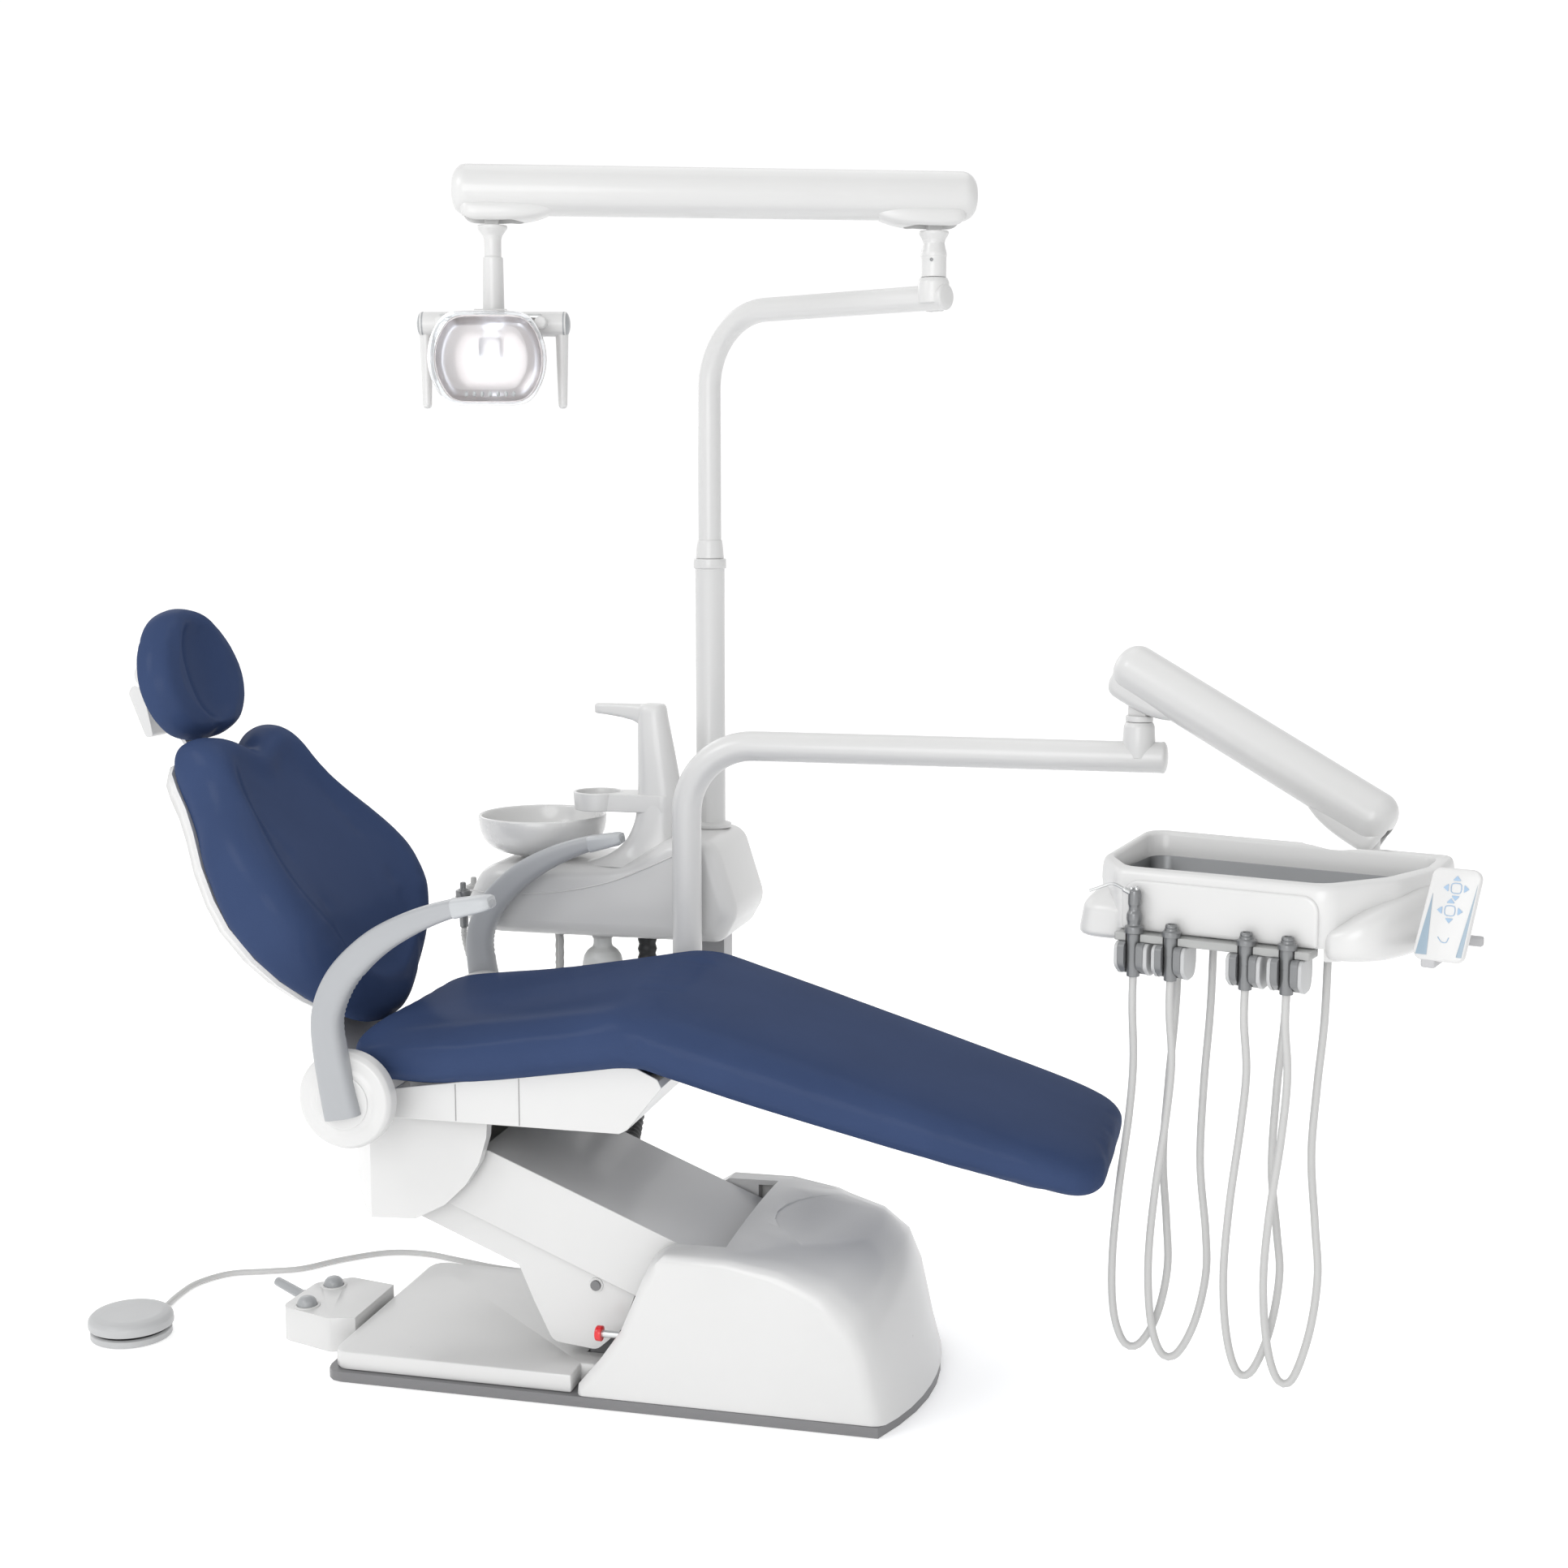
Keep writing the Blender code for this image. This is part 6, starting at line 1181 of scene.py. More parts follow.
def lamp_arm():
    """The long spring arm on its knuckle, and the stem that hangs from it."""
    way = Vector((*(LAMP_STEM - LAMP_KNUCKLE).xy, 0.0)).normalized()
    right = Vector((*LAMP_KNUCKLE.xy, SPRING_Z)) - way * 0.074
    left = Vector((*LAMP_STEM.xy, SPRING_Z)) + way * 0.069
    arm = capsule("spring_arm", right, left, 0.0425, 0.028, 12, 96)
    lobes = []
    for centre, along, inner in ((LAMP_KNUCKLE, way, 0.120), (LAMP_STEM, -way, 0.120)):
        pivot = Vector((centre.x, centre.y, TILT_Z))
        fairing = lobe("fairing", pivot, along, (0.056, inner), 0.0365, -0.012, 0.0300)
        turn = Matrix.Translation(pivot) @ Matrix.Rotation(math.atan2(along.y, along.x), 4, "Z")
        pocket = slab("pocket", rounded([(-0.080, -0.0282), (0.040, -0.0282, 0.02), (0.058, 0.0, 0.02),
                                         (0.040, 0.0282, 0.02), (-0.080, 0.0282)]), -0.060, -0.0142, 0.0, False)
        pocket.data.transform(turn)
        boolean(fairing, pocket)
        lobes.append(boolean(fairing, fork_slot(centre, way)))
        boolean(arm, fork_slot(centre, way))
    finish(arm, "lamp_arm", "warm_white", nodes=("lamp_arm",), angle=40)
    for fairing in lobes:
        finish(fairing, "lamp_arm", "warm_white", nodes=("lamp_arm",), angle=40)

    for name, centre, rows in (
            ("knuckle", LAMP_KNUCKLE, [(0.0, 1.9635), (0.0258, 1.9631), (0.0260, 1.9590), (0.0235, 1.9545),
                                       (0.0200, 1.9485), (0.0188, 1.9425), (0.0205, 1.9345), (0.0225, 1.9265),
                                       (0.0228, 1.9200), (0.0222, 1.9195), (0.0222, LAMP_ARM_Z + 0.0345),
                                       (0.0160, LAMP_ARM_Z + 0.0345), (0.0160, LAMP_ARM_Z + 0.003),
                                       (0.0, LAMP_ARM_Z + 0.003)]),
            ("stem", LAMP_STEM, [(0.0, 1.9635), (0.0258, 1.9631), (0.0260, 1.9590), (0.0220, 1.9535),
                                 (0.0170, 1.9465), (0.0152, 1.9395), (0.0150, 1.9110), (0.0172, 1.9102),
                                 (0.0180, 1.9085), (0.0188, 1.8210), (0.0182, 1.8192), (0.0120, 1.8190),
                                 (0.0120, 1.8025), (0.0, 1.8025)])):
        body = "lamp_" + name
        finish(lathe(name + "_turned", rounded_profile(rows, 0.0012), Vector((*centre.xy, 0)), 72), body,
               "warm_white", nodes=(body,), angle=50)
        pivot = Vector((centre.x, centre.y, TILT_Z))
        across = Vector((-way.y, way.x, 0.0))
        disc = lathe(name + "_tongue", rounded_profile([(0.0, 0.0240), (0.0160, 0.0240), (0.0160, 0.0), (0.0, 0.0)],
                                                       0.001), pivot - across * 0.0120, 48, across)
        finish(disc, body, "warm_white", nodes=(body,), angle=40)
        neck = cutter(name + "_neck", (-0.012, -0.0118, -0.042), (0.012, 0.0118, 0.0))
        neck.data.transform(Matrix.Translation(pivot) @ Matrix.Rotation(math.atan2(way.y, way.x), 4, "Z"))
        finish(bevel(neck, 0.002, 3), body, "warm_white", nodes=(body,), angle=40)
    screw = Vector((*LAMP_KNUCKLE.xy, 1.913)) + Vector((0.0, -0.0224, 0.0))
    finish(lathe("set_screw", rounded_profile([(0.0, 0.0004), (0.0014, 0.0004), (0.0016, 0.0013), (0.0030, 0.0013),
                                               (0.0032, -0.0020), (0.0, -0.0020)], 0.0003), screw, 32,
                 Vector((0, -1, 0))), "lamp_knuckle", "warm_white", "tool_grey", nodes=("lamp_knuckle",))


def barrel(width, height, depth, count=96, power=16.0):
    """An outline with bulging sides, a flat top and a flat bottom."""
    centre = LAMP_HEAD + LAMP_FRONT * depth
    ring = []
    for k in range(count):
        t = 2 * math.pi * (k + 0.5) / count
        c, s = math.cos(t), math.sin(t)
        reach = ((2 / width) ** power + (abs(s) * 2 / height) ** power) ** (-1 / power)
        ring.append(centre + LAMP_WAY * (reach * c * 0.98) + Vector((0, 0, reach * s)))
    return ring


def lamp_head():
    """The handle bar, the reflector with its light source, and the clear shield."""
    centre = Vector((*LAMP_STEM.xy, LAMP_BAR_Z))
    bar = lathe("handle_bar", rounded_profile([(0.0, 0.125), (0.0212, 0.125), (0.0212, -0.125), (0.0, -0.125)],
                                              0.0008), centre, 80, LAMP_WAY)
    boolean(bar, rod_tool("stem_way", centre + Vector((0, 0, 0.004)), centre + Vector((0, 0, 0.05)), 0.0124))
    finish(bar, "lamp_yoke", "warm_white", nodes=("lamp_yoke",), angle=40)
    for number, sign in enumerate((-1, 1), 1):
        out = LAMP_WAY * sign
        rows = [(0.0, 0.0070), (0.006, 0.0066), (0.012, 0.0054), (0.017, 0.0034), (0.0200, 0.0010), (0.0214, -0.0030),
                (0.0214, -0.0050), (0.0, -0.0050)]
        finish(lathe(f"bar_cap_{number}", rows, centre + out * 0.1248, 72, out), "lamp_yoke", "warm_white",
               "button_grey", nodes=("lamp_yoke",), angle=50)
        top = centre + out * 0.117
        rows = [(0.0, 0.143), (0.0040, 0.1426), (0.0066, 0.1405), (0.0077, 0.1370), (0.0079, 0.1330),
                (0.0112, 0.018), (0.0118, 0.012), (0.0118, 0.0), (0.0, 0.0)]
        finish(lathe(f"handle_{number}", rounded_profile(rows, 0.001), top, 48, Vector((0, 0, -1))),
               "lamp_yoke", "warm_white", nodes=("lamp_yoke",), angle=60)
        finish(lathe(f"lamp_cheek_{number}", rounded_profile([(0.0, 0.050), (0.0095, 0.050), (0.0102, 0.047),
                                                              (0.0102, 0.0), (0.0, 0.0)], 0.002),
                     centre + LAMP_WAY * (0.085 * sign), 48, LAMP_FRONT), "lamp_yoke", "warm_white",
               nodes=("lamp_yoke",), angle=50)
    axis = Vector((*LAMP_STEM.xy, 1.807)) + LAMP_FRONT * 0.040
    pin = lathe("nod_shaft", [(0.0, 0.086), (0.0060, 0.086), (0.0060, -0.086), (0.0, -0.086)], axis, 32, LAMP_WAY)
    finish(pin, "lamp_yoke", "warm_white", "steel", nodes=("lamp_yoke",))

    way = rod_tool("pin_way", axis - LAMP_WAY * 0.14, axis + LAMP_WAY * 0.14, 0.0064, 32)
    shell = [barrel(*row) for row in ((0.080, 0.070, 0.0302), (0.120, 0.100, 0.0310), (0.152, 0.122, 0.0355),
                                      (0.176, 0.137, 0.0440), (0.188, 0.146, 0.0560), (0.192, 0.150, 0.0715),
                                      (0.190, 0.1485, 0.0723), (0.184, 0.143, 0.0720), (0.180, 0.139, 0.0660),
                                      (0.172, 0.131, 0.0560), (0.152, 0.118, 0.0480), (0.120, 0.096, 0.0440),
                                      (0.070, 0.058, 0.0420))]
    dish = boolean(skin("reflector_dish", shell), way)
    finish(dish, "lamp_head", "reflector", nodes=("lamp_head",), angle=50)
    lug = lathe("lamp_lug", rounded_profile([(0.0, 0.028), (0.0135, 0.028), (0.0135, -0.028), (0.0, -0.028)], 0.002),
                axis, 48, LAMP_WAY)
    boolean(lug, rod_tool("pin_way", axis - LAMP_WAY * 0.14, axis + LAMP_WAY * 0.14, 0.0064, 32))
    finish(lug, "lamp_head", "reflector", "matt_white", nodes=("lamp_head",), angle=40)
    middle = LAMP_HEAD + LAMP_FRONT * 0.0465
    tube = lathe("light_pipe", rounded_profile([(0.0, 0.036), (0.0170, 0.036), (0.0185, 0.030), (0.0185, -0.012),
                                                (0.0, -0.012)], 0.002), middle + LAMP_FRONT * 0.012, 48,
                 Vector((0, 0, 1)))
    finish(tube, "lamp_head", "reflector", "clear_plastic", nodes=("lamp_head",), angle=40)
    finish(sphere("light_source", middle + LAMP_FRONT * 0.018 - Vector((0, 0, 0.004)), 0.0100, (1.0, 1.0, 1.15)),
           "lamp_head", "reflector", "led", nodes=("lamp_head",), angle=0)
    bar = LAMP_HEAD + LAMP_FRONT * 0.060 - Vector((0, 0, 0.058))
    for k in range(7):
        spot = bar + LAMP_WAY * (0.0135 * (k - 3))
        finish(sphere(f"shield_stud_{k + 1}", spot, 0.0032, (1.0, 1.0, 1.5), 12), "lamp_head", "reflector",
               "matt_white", nodes=("lamp_head",), angle=0)

    outer = [barrel(*row) for row in ((0.1940, 0.1520, 0.0726), (0.2000, 0.1550, 0.0790),
                                      (0.2036, 0.1575, 0.0880), (0.2030, 0.1570, 0.0980),
                                      (0.1990, 0.1530, 0.1075), (0.1900, 0.1460, 0.1130),
                                      (0.1700, 0.1300, 0.1166), (0.1200, 0.0900, 0.1186),
                                      (0.0500, 0.0360, 0.1192))]
    inner = [barrel(*row) for row in ((0.0500, 0.0360, 0.1164), (0.1200, 0.0900, 0.1158),
                                      (0.1680, 0.1280, 0.1138), (0.1866, 0.1426, 0.1105),
                                      (0.1950, 0.1490, 0.1058), (0.1990, 0.1530, 0.0975),
                                      (0.1996, 0.1535, 0.0885), (0.1956, 0.1506, 0.0800),
                                      (0.1900, 0.1480, 0.0726))]
    bm = bmesh.new()
    front = [[bm.verts.new(p) for p in ring] for ring in outer]
    back = [[bm.verts.new(p) for p in ring] for ring in inner]
    count = len(front[0])
    for rows in (front, back):
        for near, far in zip(rows, rows[1:]):
            for i in range(count):
                j = (i + 1) % count
                bm.faces.new((near[i], near[j], far[j], far[i]))
    bm.faces.new(front[-1])
    bm.faces.new(back[0])
    for i in range(count):
        j = (i + 1) % count
        bm.faces.new((back[-1][i], back[-1][j], front[0][j], front[0][i]))
    finish(to_object("clear_cover", bm), "lamp_head", "clear_plastic", nodes=("lamp_shield",), angle=60)


# ---------------------------------------------------------------------------------------- delivery

def delivery():
    """The swinging tube, the elbow and the balanced arm that carries the tray."""
    end = Vector((ELBOW.x + 0.045, ELBOW.y, SWING_Z))
    line = bent([(SWING.x, SWING.y, 0.5310), (SWING.x, SWING.y, SWING_Z), end], 0.130, 30)
    tube = boolean(pipe("delivery_pipe", line, 0.0275, 64), rod_tool("well", (*ELBOW.xy, 1.066), (*ELBOW.xy, 1.2),
                                                                    0.0198))
    finish(tube, "delivery_tube", "warm_white", nodes=("delivery_tube",), angle=40)
    rows = [(0.0, 0.0066), (0.010, 0.0062), (0.020, 0.0044), (0.0262, 0.0016), (0.0282, -0.0010), (0.0282, -0.0040),
            (0.0, -0.0040)]
    finish(lathe("delivery_cap", rows, end, 80, Vector((1, 0, 0))), "delivery_tube", "warm_white",
           nodes=("delivery_tube",), angle=50)
    cup = lathe("elbow_collar", rounded_profile([(0.0198, 1.050), (0.0198, 1.1122), (0.0235, 1.1125),
                                                 (0.0270, 1.1050), (0.0285, 1.0800), (0.0285, 1.050),
                                                 (0.0198, 1.050)], 0.0015), Vector((*ELBOW.xy, 0)), 80)
    finish(cup, "delivery_tube", "warm_white", nodes=("delivery_tube",), angle=50)

    level = Vector((*(ARM_B - ARM_A).xy, 0.0)).normalized()
    across = Vector((-level.y, level.x, 0.0))
    run = (ARM_B - ARM_A).normalized()
    rows = [(0.0, 1.1240), (0.0205, 1.1240), (0.0225, 1.1240), (0.0240, 1.1225), (0.0240, 1.1133),
            (0.0190, 1.1133), (0.0190, 1.068), (0.0, 1.068)]
    finish(lathe("elbow_stem", rounded_profile(rows, 0.001), Vector((*ELBOW.xy, 0)), 72), "delivery_knuckle",
           "warm_white", nodes=("delivery_knuckle",), angle=50)
    neck = lathe("elbow_neck", rounded_profile([(0.0, 1.150), (0.0195, 1.150), (0.0205, 1.1230), (0.0, 1.1230)], 0.002),
                 Vector((*ELBOW.xy, 0)), 64)
    for sign in (-1, 1):
        side = cutter("flat", (-0.05, 0.0115, -0.1), (0.05, 0.06, 0.1))
        side.data.transform(Matrix.Translation(ARM_A) @ Matrix.Rotation(math.atan2(level.y, level.x), 4, "Z")
                            @ Matrix.Scale(sign, 4, (0, 1, 0)))
        if sign < 0:
            side.data.flip_normals()
        boolean(neck, side)
    finish(neck, "delivery_knuckle", "warm_white", nodes=("delivery_knuckle",), angle=40)
    web = cutter("elbow_web", (-0.017, -0.0114, 1.125 - ARM_A.z), (0.017, 0.0114, 0.0))
    web.data.transform(Matrix.Translation(ARM_A) @ Matrix.Rotation(math.atan2(level.y, level.x), 4, "Z"))
    finish(bevel(web, 0.003, 3), "delivery_knuckle", "warm_white", nodes=("delivery_knuckle",), angle=40)
    for name, body, pivot in (("elbow_tongue", "delivery_knuckle", ARM_A), ("mount_tongue", "tray_mount", ARM_B)):
        disc = lathe(name, rounded_profile([(0.0, 0.0230), (0.0190, 0.0230), (0.0190, 0.0), (0.0, 0.0)], 0.001),
                     pivot - across * 0.0115, 48, across)
        finish(disc, body, "warm_white", nodes=(body,), angle=40)
    stem = lathe("mount_stem", rounded_profile([(0.0, 0.982), (0.0130, 0.982), (0.0130, 0.842), (0.0, 0.842)], 0.001),
                 Vector((*ARM_B.xy, 0)), 64)
    finish(stem, "tray_mount", "warm_white", nodes=("tray_mount",), angle=50)

    def slots():
        made = []
        turn = Matrix.Rotation(math.atan2(level.y, level.x), 4, "Z")
        for pivot, back in ((ARM_A, -0.090), (ARM_B, -0.060)):
            for low, high in (((-0.030, -0.0135, -0.12), (0.030, 0.0135, 0.024)),
                              ((back, -0.0137, -0.13), (0.010, 0.0137, -0.008))):
                slot = cutter("slot", low, high)
                slot.data.transform(Matrix.Translation(pivot) @ turn)
                made.append(slot)
        return made

    arm = capsule("balanced_arm", ARM_A - run * 0.044, ARM_B + run * 0.036, 0.0435, 0.034, 16, 96)
    parts = [arm]
    for pivot, way, reach in ((ARM_A, run, (0.040, 0.120)), (ARM_B, -run, (0.034, 0.125))):
        parts.append(lobe("arm_fairing", pivot, way, reach, 0.0320, 0.010, 0.0590))
    for part in parts:
        for slot in slots():
            boolean(part, slot)
        finish(part, "delivery_arm", "warm_white", nodes=("delivery_arm",), angle=40)


def in_tray(obj):
    obj.data.transform(TRAY)
    return obj


def tray():
    """A deep moulded shell: a rim round the steel liner, a long front panel, a wing at each side."""
    wide = rounded([(-0.050, 0.298, 0.035), (-0.046, 0.078, 0.045), (0.008, 0.004, 0.030), (0.350, 0.004, 0.050),
                    (0.438, 0.088, 0.060), (0.476, 0.178, 0.035), (0.476, 0.285, 0.022)], 12)
    top = inset(wide, 0.004)
    low = rounded([(-0.040, 0.286, 0.035), (-0.039, 0.080, 0.045), (0.010, 0.010, 0.030), (0.348, 0.010, 0.050),
                   (0.425, 0.095, 0.060), (0.454, 0.185, 0.035), (0.454, 0.268, 0.022)], 12)
    rings = []
    for z, ring, shrink in ((0.8000, low, 0.008), (0.8020, low, 0.003), (0.8060, low, 0.0), (0.835, low, -0.004),
                            (0.862, wide, 0.003), (0.885, wide, 0.0), (0.900, wide, 0.0006), (0.909, wide, 0.002),
                            (0.9140, top, 0.0), (0.9165, top, 0.002), (0.9175, top, 0.0045)):
        rise = RISE * min(1.0, max(0.0, (z - 0.806) / 0.094))
        rings.append([Vector((x, y, z + rise * y)) for x, y in (inset(ring, shrink) if shrink else ring)])
    shell = skin("tray_shell", rings)
    hollow = rounded([(-0.032, 0.276, 0.030), (-0.026, 0.090, 0.034), (0.020, 0.034, 0.030), (0.335, 0.034, 0.047),
                      (0.410, 0.110, 0.048), (0.448, 0.190, 0.030), (0.448, 0.258, 0.020)], 10)
    levels = [(0.872, 0.002, 0), (0.875, 0.0, 0), (0.905, 0.0, 0), (0.912, -0.001, 1), (0.9155, -0.0030, 1),
              (0.9180, -0.0060, 1), (0.930, -0.0100, 1)]
    dish = skin("recess", [[Vector((x, y, z + RISE * y * up)) for x, y in (inset(hollow, d) if d else hollow)]
                           for z, d, up in levels])
    boolean(shell, dish)
    place = Vector((0.290, 0.286, 0.9250))
    notch = lathe("finger_notch", [(0.0, 0.05), (0.060, 0.05), (0.045, 0.0), (0.0, 0.0)], place, 64)
    notch.data.transform(Matrix.Translation((0.290, 0.286, 0)) @ Matrix.Diagonal((1.35, 0.42, 1, 1))
                         @ Matrix.Translation((-0.290, -0.286, 0)))
    boolean(shell, notch)
    boolean(shell, cutter("under", (0.030, 0.030, 0.70), (0.350, 0.250, 0.850)))
    boolean(shell, cutter("rail_way", (0.012, -0.02, 0.79), (0.345, 0.034, RAIL_TOP + 0.0013)))
    in_tray(shell)
    way = rod_tool("mount_way", (*ARM_B.xy, 0.8415), (*ARM_B.xy, 1.0), 0.0133)
    bracket = boolean(in_tray(cutter("mount_bracket", (0.296, 0.262, 0.802), (0.346, 0.350, 0.858))), way)
    finish(bevel(bracket, 0.003, 3), "tray", "warm_white", nodes=("tray_body",), angle=40)
    finish(shell, "tray", "warm_white", nodes=("tray_body",), angle=40)
    boss = lathe("mount_boss", rounded_profile([(0.0133, 0.8415), (0.0133, 0.8825), (0.0205, 0.8825),
                                                (0.0220, 0.8790), (0.0235, 0.860), (0.0235, 0.801), (0.0, 0.801),
                                                (0.0, 0.8412)], 0.0012), Vector((*ARM_B.xy, 0)), 64)
    finish(boss, "tray", "warm_white", nodes=("tray_body",), angle=50)

    panel = []
    face = rounded([(0.022, 0.8230, 0.008), (0.338, 0.8230, 0.008), (0.338, 0.903, 0.024), (0.022, 0.903, 0.030)], 8)
    for depth, shrink in ((0.020, 0.0), (0.0034, 0.0), (0.0018, 0.0012), (0.0010, 0.0032), (0.0004, 0.007)):
        panel.append([Vector((x, depth, z)) for x, z in (inset(face, shrink) if shrink else face)])
    finish(in_tray(skin("front_panel", panel)), "tray", "warm_white", nodes=("tray_body",), angle=50)

    wing = []
    for t in range(25):
        u = t / 24
        z = 0.8000 + 0.088 * u
        grow = (1 - (1 - min(1.0, u * 6)) ** 3 * 0.16) * (1 - 0.55 * max(0.0, u - 0.55) ** 1.6 / 0.45 ** 1.6)
        middle = Vector((-0.012 + 0.010 * u, 0.105))
        wing.append([Vector((middle.x + a * grow - 0.006 * (1 - u), middle.y + b * grow, z))
                     for a, b in oval(56, 0.054, 0.098, 3.2)])
    finish(in_tray(skin("left_wing", wing)), "tray", "warm_white", nodes=("tray_body",), angle=50)

    sweep = [(0.350, 0.048, 0.803, 0.044, 0.034), (0.364, 0.046, 0.802, 0.060, 0.041),
             (0.386, 0.056, 0.802, 0.078, 0.048), (0.408, 0.080, 0.803, 0.090, 0.047),
             (0.428, 0.113, 0.806, 0.098, 0.042), (0.444, 0.150, 0.810, 0.102, 0.036),
             (0.454, 0.190, 0.814, 0.102, 0.030), (0.456, 0.232, 0.817, 0.098, 0.025),
             (0.454, 0.262, 0.820, 0.088, 0.018)]
    rows = smooth_numbers(sweep, 44)
    rings = []
    for i, (x, y, z, tall, half) in enumerate(rows):
        before, after = rows[max(i - 1, 0)], rows[min(i + 1, len(rows) - 1)]
        run = Vector((after[0] - before[0], after[1] - before[1], 0)).normalized()
        side = Vector((run.y, -run.x, 0))
        end = min(1.0, 0.62 + 0.13 * i) * min(1.0, 0.70 + 0.10 * (len(rows) - 1 - i))
        rings.append([Vector((x, y, z + tall / 2 + b * end)) + side * a * end
                      for a, b in oval(48, half, tall / 2, 3.0)])
    finish(in_tray(skin("right_wing", rings)), "tray", "warm_white", nodes=("tray_body",), angle=50)

    outline = rounded([(-0.026, 0.270, 0.030), (-0.021, 0.094, 0.032), (0.023, 0.040, 0.030), (0.332, 0.040, 0.045),
                       (0.404, 0.113, 0.046), (0.441, 0.192, 0.030), (0.441, 0.252, 0.020)], 10)
    levels = [(0.8723, 0.004), (0.8730, 0.0015), (0.8750, 0.0), (0.9000, 0.0), (0.9003, 0.0010), (0.8990, 0.0017),
              (0.8780, 0.0018), (0.8752, 0.0035), (0.8740, 0.0070)]
    pan = skin("liner_pan", [[Vector((x, y, z)) for x, y in (inset(outline, d) if d else outline)] for z, d in levels])
    finish(in_tray(pan), "liner", "steel", "liner_steel", nodes=("tray_liner",), angle=50)


def holders():
    """A rail over four dark cradles in two pairs, each with a lighter cheek on both sides of its open throat."""
    rail = slab("holder_rail", rounded([(0.018, -0.020, 0.004), (0.334, -0.020, 0.004), (0.334, 0.024, 0.004),
                                        (0.018, 0.024, 0.004)]), RAIL_TOP - 0.0132, RAIL_TOP, 0.002, False)
    below, above = 0.70, 0.85
    for x in STATIONS:
        boolean(rail, rod_tool("well", (x, STATION_Y, below), (x, STATION_Y, above), RAIL_WELL))
        boolean(rail, cutter("mouth", (x - 0.0098, -0.06, below), (x + 0.0098, STATION_Y, above)))
    finish(in_tray(rail), "tray", "holder_grey", nodes=("instrument_holders",), angle=40)
    for number, x in enumerate(STATIONS, 1):
        side = rounded([(-0.0330, 0.8080, 0.010), (-0.0330, 0.7700, 0.016), (-0.0100, 0.7540, 0.016),
                        (0.0170, 0.7580, 0.012), (0.0230, 0.7780, 0.010), (0.0240, 0.8080, 0.004)], 8)
        cheek = rounded([(-0.0310, 0.8070, 0.012), (-0.0310, 0.7690, 0.017), (-0.0100, 0.7530, 0.017),
                         (0.0190, 0.7560, 0.016), (0.0250, 0.7780, 0.012), (0.0250, 0.8070, 0.010)], 8)
        for name, tone, outline, half, well in (("cradle", "cradle", side, 0.0215, RAIL_WELL),
                                                ("cradle_disc", "cheek", cheek, 0.0275, CHEEK_WELL)):
            block = slab(f"{name}_{number}", outline, -half, half, 0.0020)
            turn = Matrix(((0, 1, 0, x), (1, 0, 0, 0), (0, 0, 1, 0), (0, 0, 0, 1)))
            block.data.transform(turn)
            block.data.flip_normals()
            boolean(block, rod_tool("well", (x, STATION_Y, below), (x, STATION_Y, above), well))
            boolean(block, cutter("mouth", (x - 0.0100, -0.06, below), (x + 0.0100, STATION_Y, above)))
            if name == "cradle_disc":
                boolean(block, cutter("gap", (x - 0.0212, -0.08, below), (x + 0.0212, 0.08, above)))
            finish(in_tray(block), "tray", "holder_grey", tone, nodes=("instrument_holders",), angle=40)


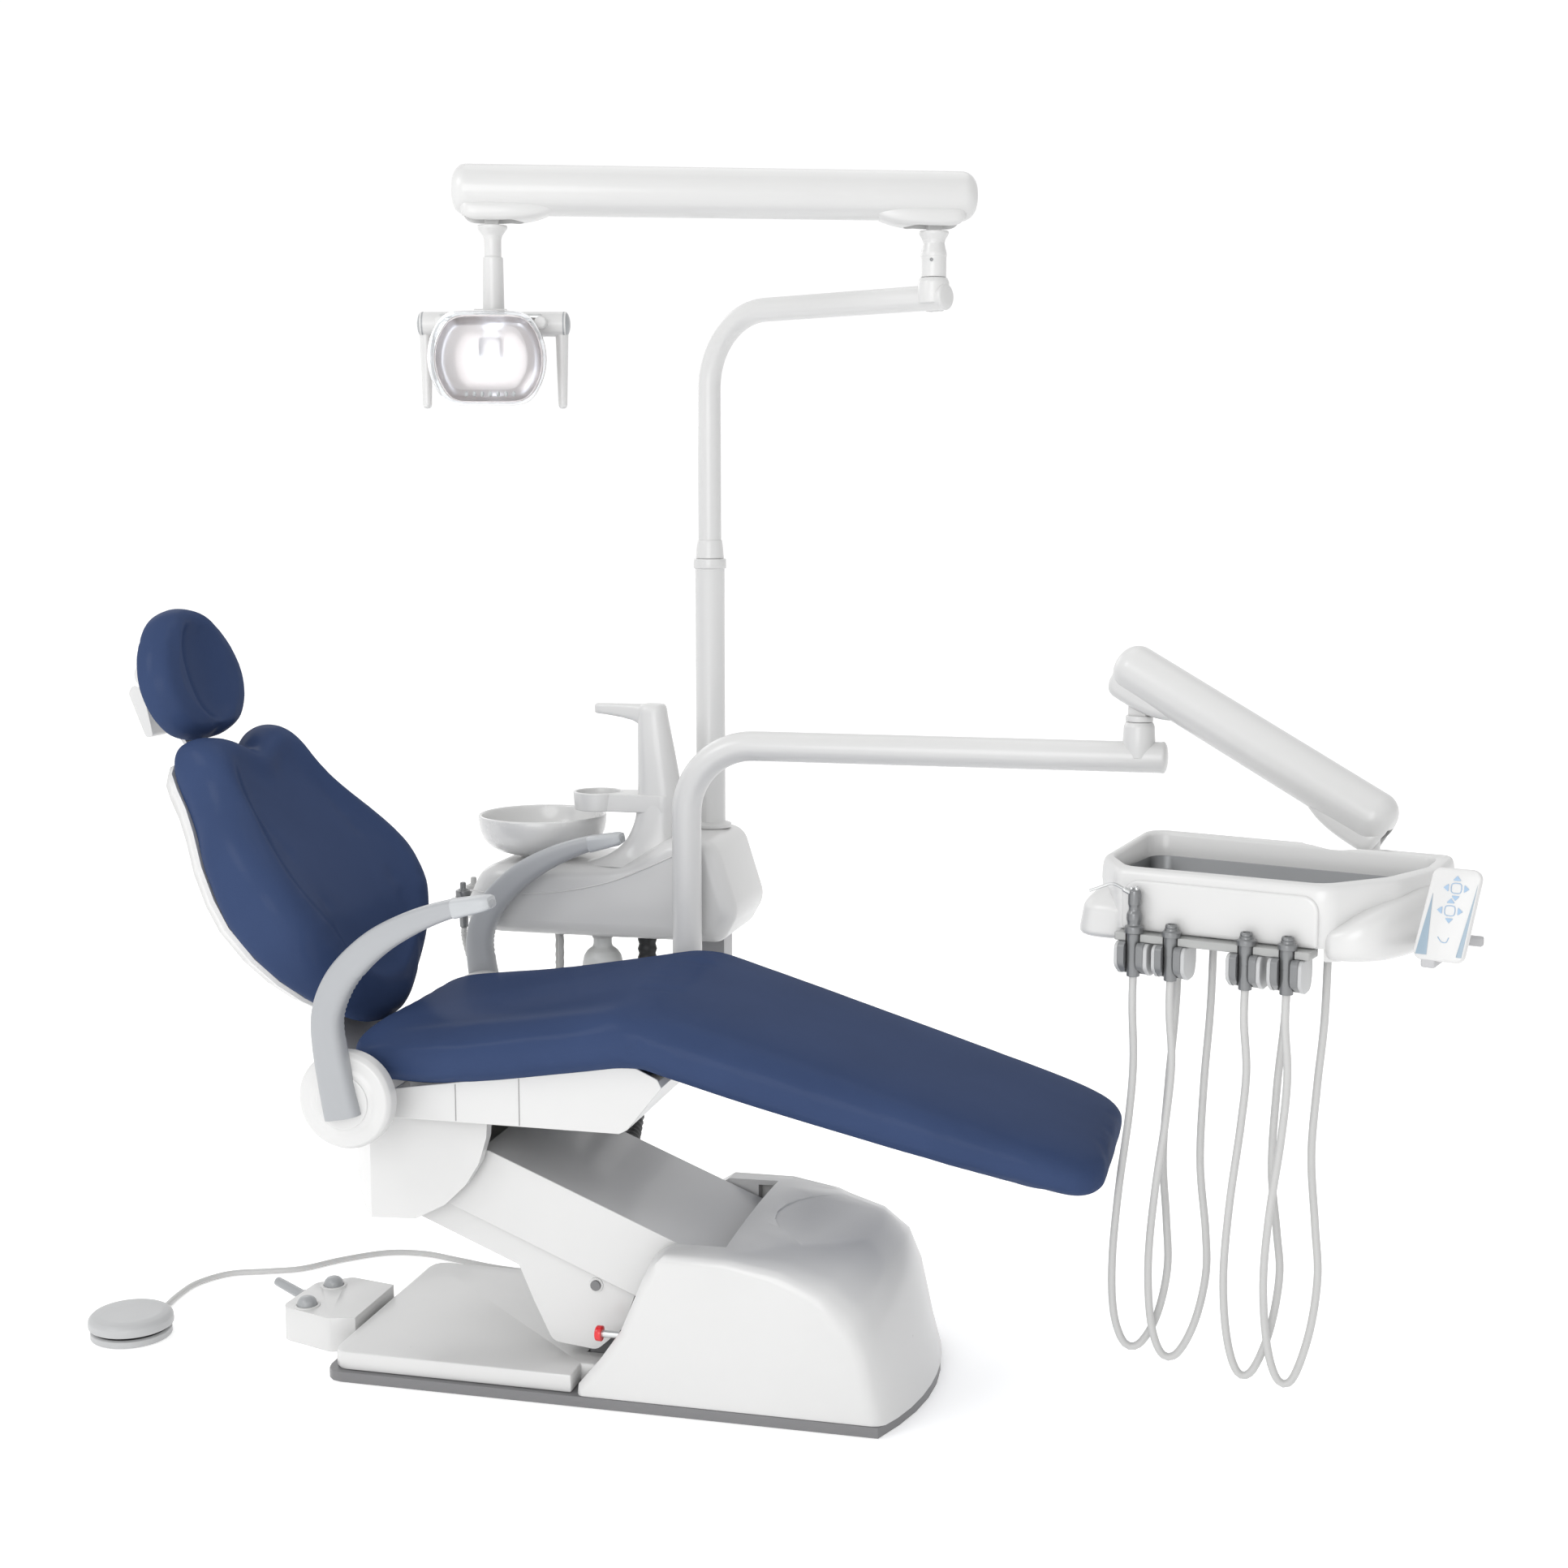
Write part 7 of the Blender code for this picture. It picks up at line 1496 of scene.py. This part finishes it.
def keypad():
    """The control panel: a tilted tablet with two bluish flanks and plain raised symbols."""
    tilt = Matrix.Translation((0.524, 0.030, 0.890)) @ Matrix.Rotation(math.radians(-16), 4, "X")
    outline = rounded([(-0.046, -0.070, 0.014), (0.030, -0.070, 0.014), (0.046, 0.070, 0.014), (-0.026, 0.070, 0.014)],
                      10)
    tablet = slab("keypad_tablet", outline, -0.0070, 0.0070, 0.0035)
    tablet.data.transform(TRAY @ tilt)
    finish(tablet, "tray", "warm_white", nodes=("keypad",), angle=50)
    lower = [slab("keypad_flank_left", rounded([(-0.040, -0.062), (-0.0235, -0.062, 0.001), (-0.0235, 0.030)]),
                  -0.0078, -0.0050, 0.0003),
             slab("keypad_flank_right", rounded([(0.0270, -0.062), (0.0400, 0.048), (0.0190, -0.062, 0.001)]),
                  -0.0078, -0.0050, 0.0003)]
    for flank in lower:
        flank.data.transform(TRAY @ tilt)
        finish(flank, "tray", "warm_white", "pad_blue", nodes=("keypad",), angle=40)
    number = 0
    for cx, cz, reach in ((0.0095, 0.040, 0.0125), (0.0035, 0.006, 0.0125)):
        for way in range(4):
            angle = math.pi / 2 * way
            number += 1
            c, s = math.cos(angle), math.sin(angle)
            arrow = [(reach, -0.0052), (reach + 0.0062, 0.0), (reach, 0.0052), (reach - 0.0012, 0.0052),
                     (reach - 0.0012, -0.0052)]
            shape = slab(f"keypad_arrow_{number}", [(cx + a * c - b * s, cz + a * s + b * c) for a, b in arrow],
                         -0.0080, -0.0065, 0.0003)
            shape.data.transform(TRAY @ tilt)
            finish(shape, "tray", "warm_white", "pad_icon", nodes=("keypad",), angle=40)
        loop = flowing([(cx + 0.0088 * math.cos(t * math.pi / 4) * (1.0 if t % 2 else 0.86), -0.0072,
                         cz + 0.0088 * math.sin(t * math.pi / 4) * (1.0 if t % 2 else 0.86)) for t in range(9)], 0.001)
        frame_line = pipe(f"keypad_frame_{number}", loop, 0.0007, 8)
        frame_line.data.transform(TRAY @ tilt)
        finish(frame_line, "tray", "warm_white", "pad_icon", nodes=("keypad",), angle=0)
    mark = pipe("keypad_mark", flowing([(-0.010, -0.0072, -0.034), (-0.004, -0.0072, -0.041), (0.003, -0.0072, -0.041),
                                        (0.006, -0.0072, -0.034)], 0.001), 0.0007, 8)
    mark.data.transform(TRAY @ tilt)
    finish(mark, "tray", "warm_white", "pad_icon", nodes=("keypad",), angle=0)
    for name, low, high in (("keypad_bracket", (0.4766, 0.190, 0.8135), (0.540, 0.204, 0.8295)),
                            ("keypad_arm", (0.492, 0.0055, 0.812), (0.514, 0.2065, 0.832))):
        finish(bevel(in_tray(cutter(name, low, high)), 0.004, 4), "tray", "warm_white", "frame_grey",
               nodes=("keypad",), angle=40)


def instruments():
    """The three-way syringe with its bent nozzle, and three handpiece couplings."""
    x = STATIONS[0]
    foot = 0.7520
    rows = [(0.0, 0.8920), (0.0070, 0.8920), (0.0098, 0.8900), (0.0104, 0.8840), (0.0104, 0.8680), (0.0090, 0.8640),
            (0.0090, 0.8580), (0.0118, 0.8530), (0.0122, 0.8440), (0.0108, 0.8385), (0.0106, 0.8345),
            (0.0148, 0.8325), (0.0150, 0.8216), (0.0112, 0.8214), (0.0105, foot), (0.0, foot)]
    body = lathe("syringe_body", rounded_profile(rows, 0.0014), Vector((x, STATION_Y, 0)), 56)
    finish(in_tray(body), "syringe", "tool_grey", nodes=("syringe",), angle=50)
    nozzle = pipe("syringe_nozzle", bent([(x + 0.002, STATION_Y, 0.882), (x - 0.030, STATION_Y - 0.018, 0.902),
                                          (x - 0.062, STATION_Y - 0.036, 0.889)], 0.014, 12),
                  0.0023, 20)
    finish(in_tray(nozzle), "syringe", "tool_grey", "steel", nodes=("syringe",), angle=60)
    grip = lathe("nozzle_nut", rounded_profile([(0.0, 0.013), (0.0032, 0.013), (0.0042, 0.011), (0.0046, 0.0),
                                                (0.0, 0.0)], 0.0006),
                 Vector((x - 0.006, STATION_Y - 0.004, 0.8868)), 32, Vector((-0.80, -0.45, 0.45)).normalized())
    finish(in_tray(grip), "syringe", "tool_grey", "steel", nodes=("syringe",), angle=50)
    for k, (dx, dy) in enumerate(((-0.0042, -0.0035), (0.0042, -0.0035), (0.0, 0.0045)), 1):
        button = lathe(f"syringe_button_{k}", rounded_profile([(0.0, 0.8955), (0.0026, 0.8952), (0.0030, 0.8935),
                                                               (0.0030, 0.8900), (0.0, 0.8900)], 0.0006),
                       Vector((x + dx, STATION_Y + dy, 0)), 24)
        finish(in_tray(button), "syringe", "tool_grey", "steel", nodes=("syringe",), angle=50)
    for k, x in enumerate(STATIONS[1:], 1):
        rows = [(0.0, 0.8290), (0.0058, 0.8290), (0.0058, 0.8418), (0.0086, 0.8418), (0.0090, 0.8405), (0.0098, 0.8395),
                (0.0098, 0.8365), (0.0092, 0.8359), (0.0106, 0.8352), (0.0106, 0.8318), (0.0150, 0.8298),
                (0.0150, 0.8216), (0.0112, 0.8214), (0.0110, 0.7920), (0.0106, 0.7910), (0.0105, foot), (0.0, foot)]
        body = lathe(f"coupling_{k}_body", rounded_profile(rows, 0.0007), Vector((x, STATION_Y, 0)), 56)
        finish(in_tray(body), f"coupling_{k}", "tool_grey", nodes=(f"handpiece_coupling_{k}",), angle=50)
        for j in range(3):
            angle = 2 * math.pi * j / 3 + 0.4
            port = lathe(f"coupling_{k}_port_{j + 1}", rounded_profile([(0.0, 0.8325), (0.0013, 0.8325),
                                                                       (0.0013, 0.8280), (0.0, 0.8280)], 0.0003),
                         Vector((x + 0.0030 * math.cos(angle), STATION_Y + 0.0030 * math.sin(angle), 0)), 16)
            finish(in_tray(port), f"coupling_{k}", "tool_grey", "steel", nodes=(f"handpiece_coupling_{k}",), angle=50)


# --------------------------------------------------------------------------------------------- all

camera_and_light()
cords()
seat_pad()
back_pad()
head_pad()
armrest("armrest_near", -1)
armrest("armrest_far", 1)
base()
seams()
shells()
pedals()
water_unit()
lamp_post()
lamp_arm()
lamp_head()
delivery()
tray()
holders()
keypad()
instruments()

for name, node in NODES.items():
    if not node.hide_render:
        print("CAD node still shown:", name)
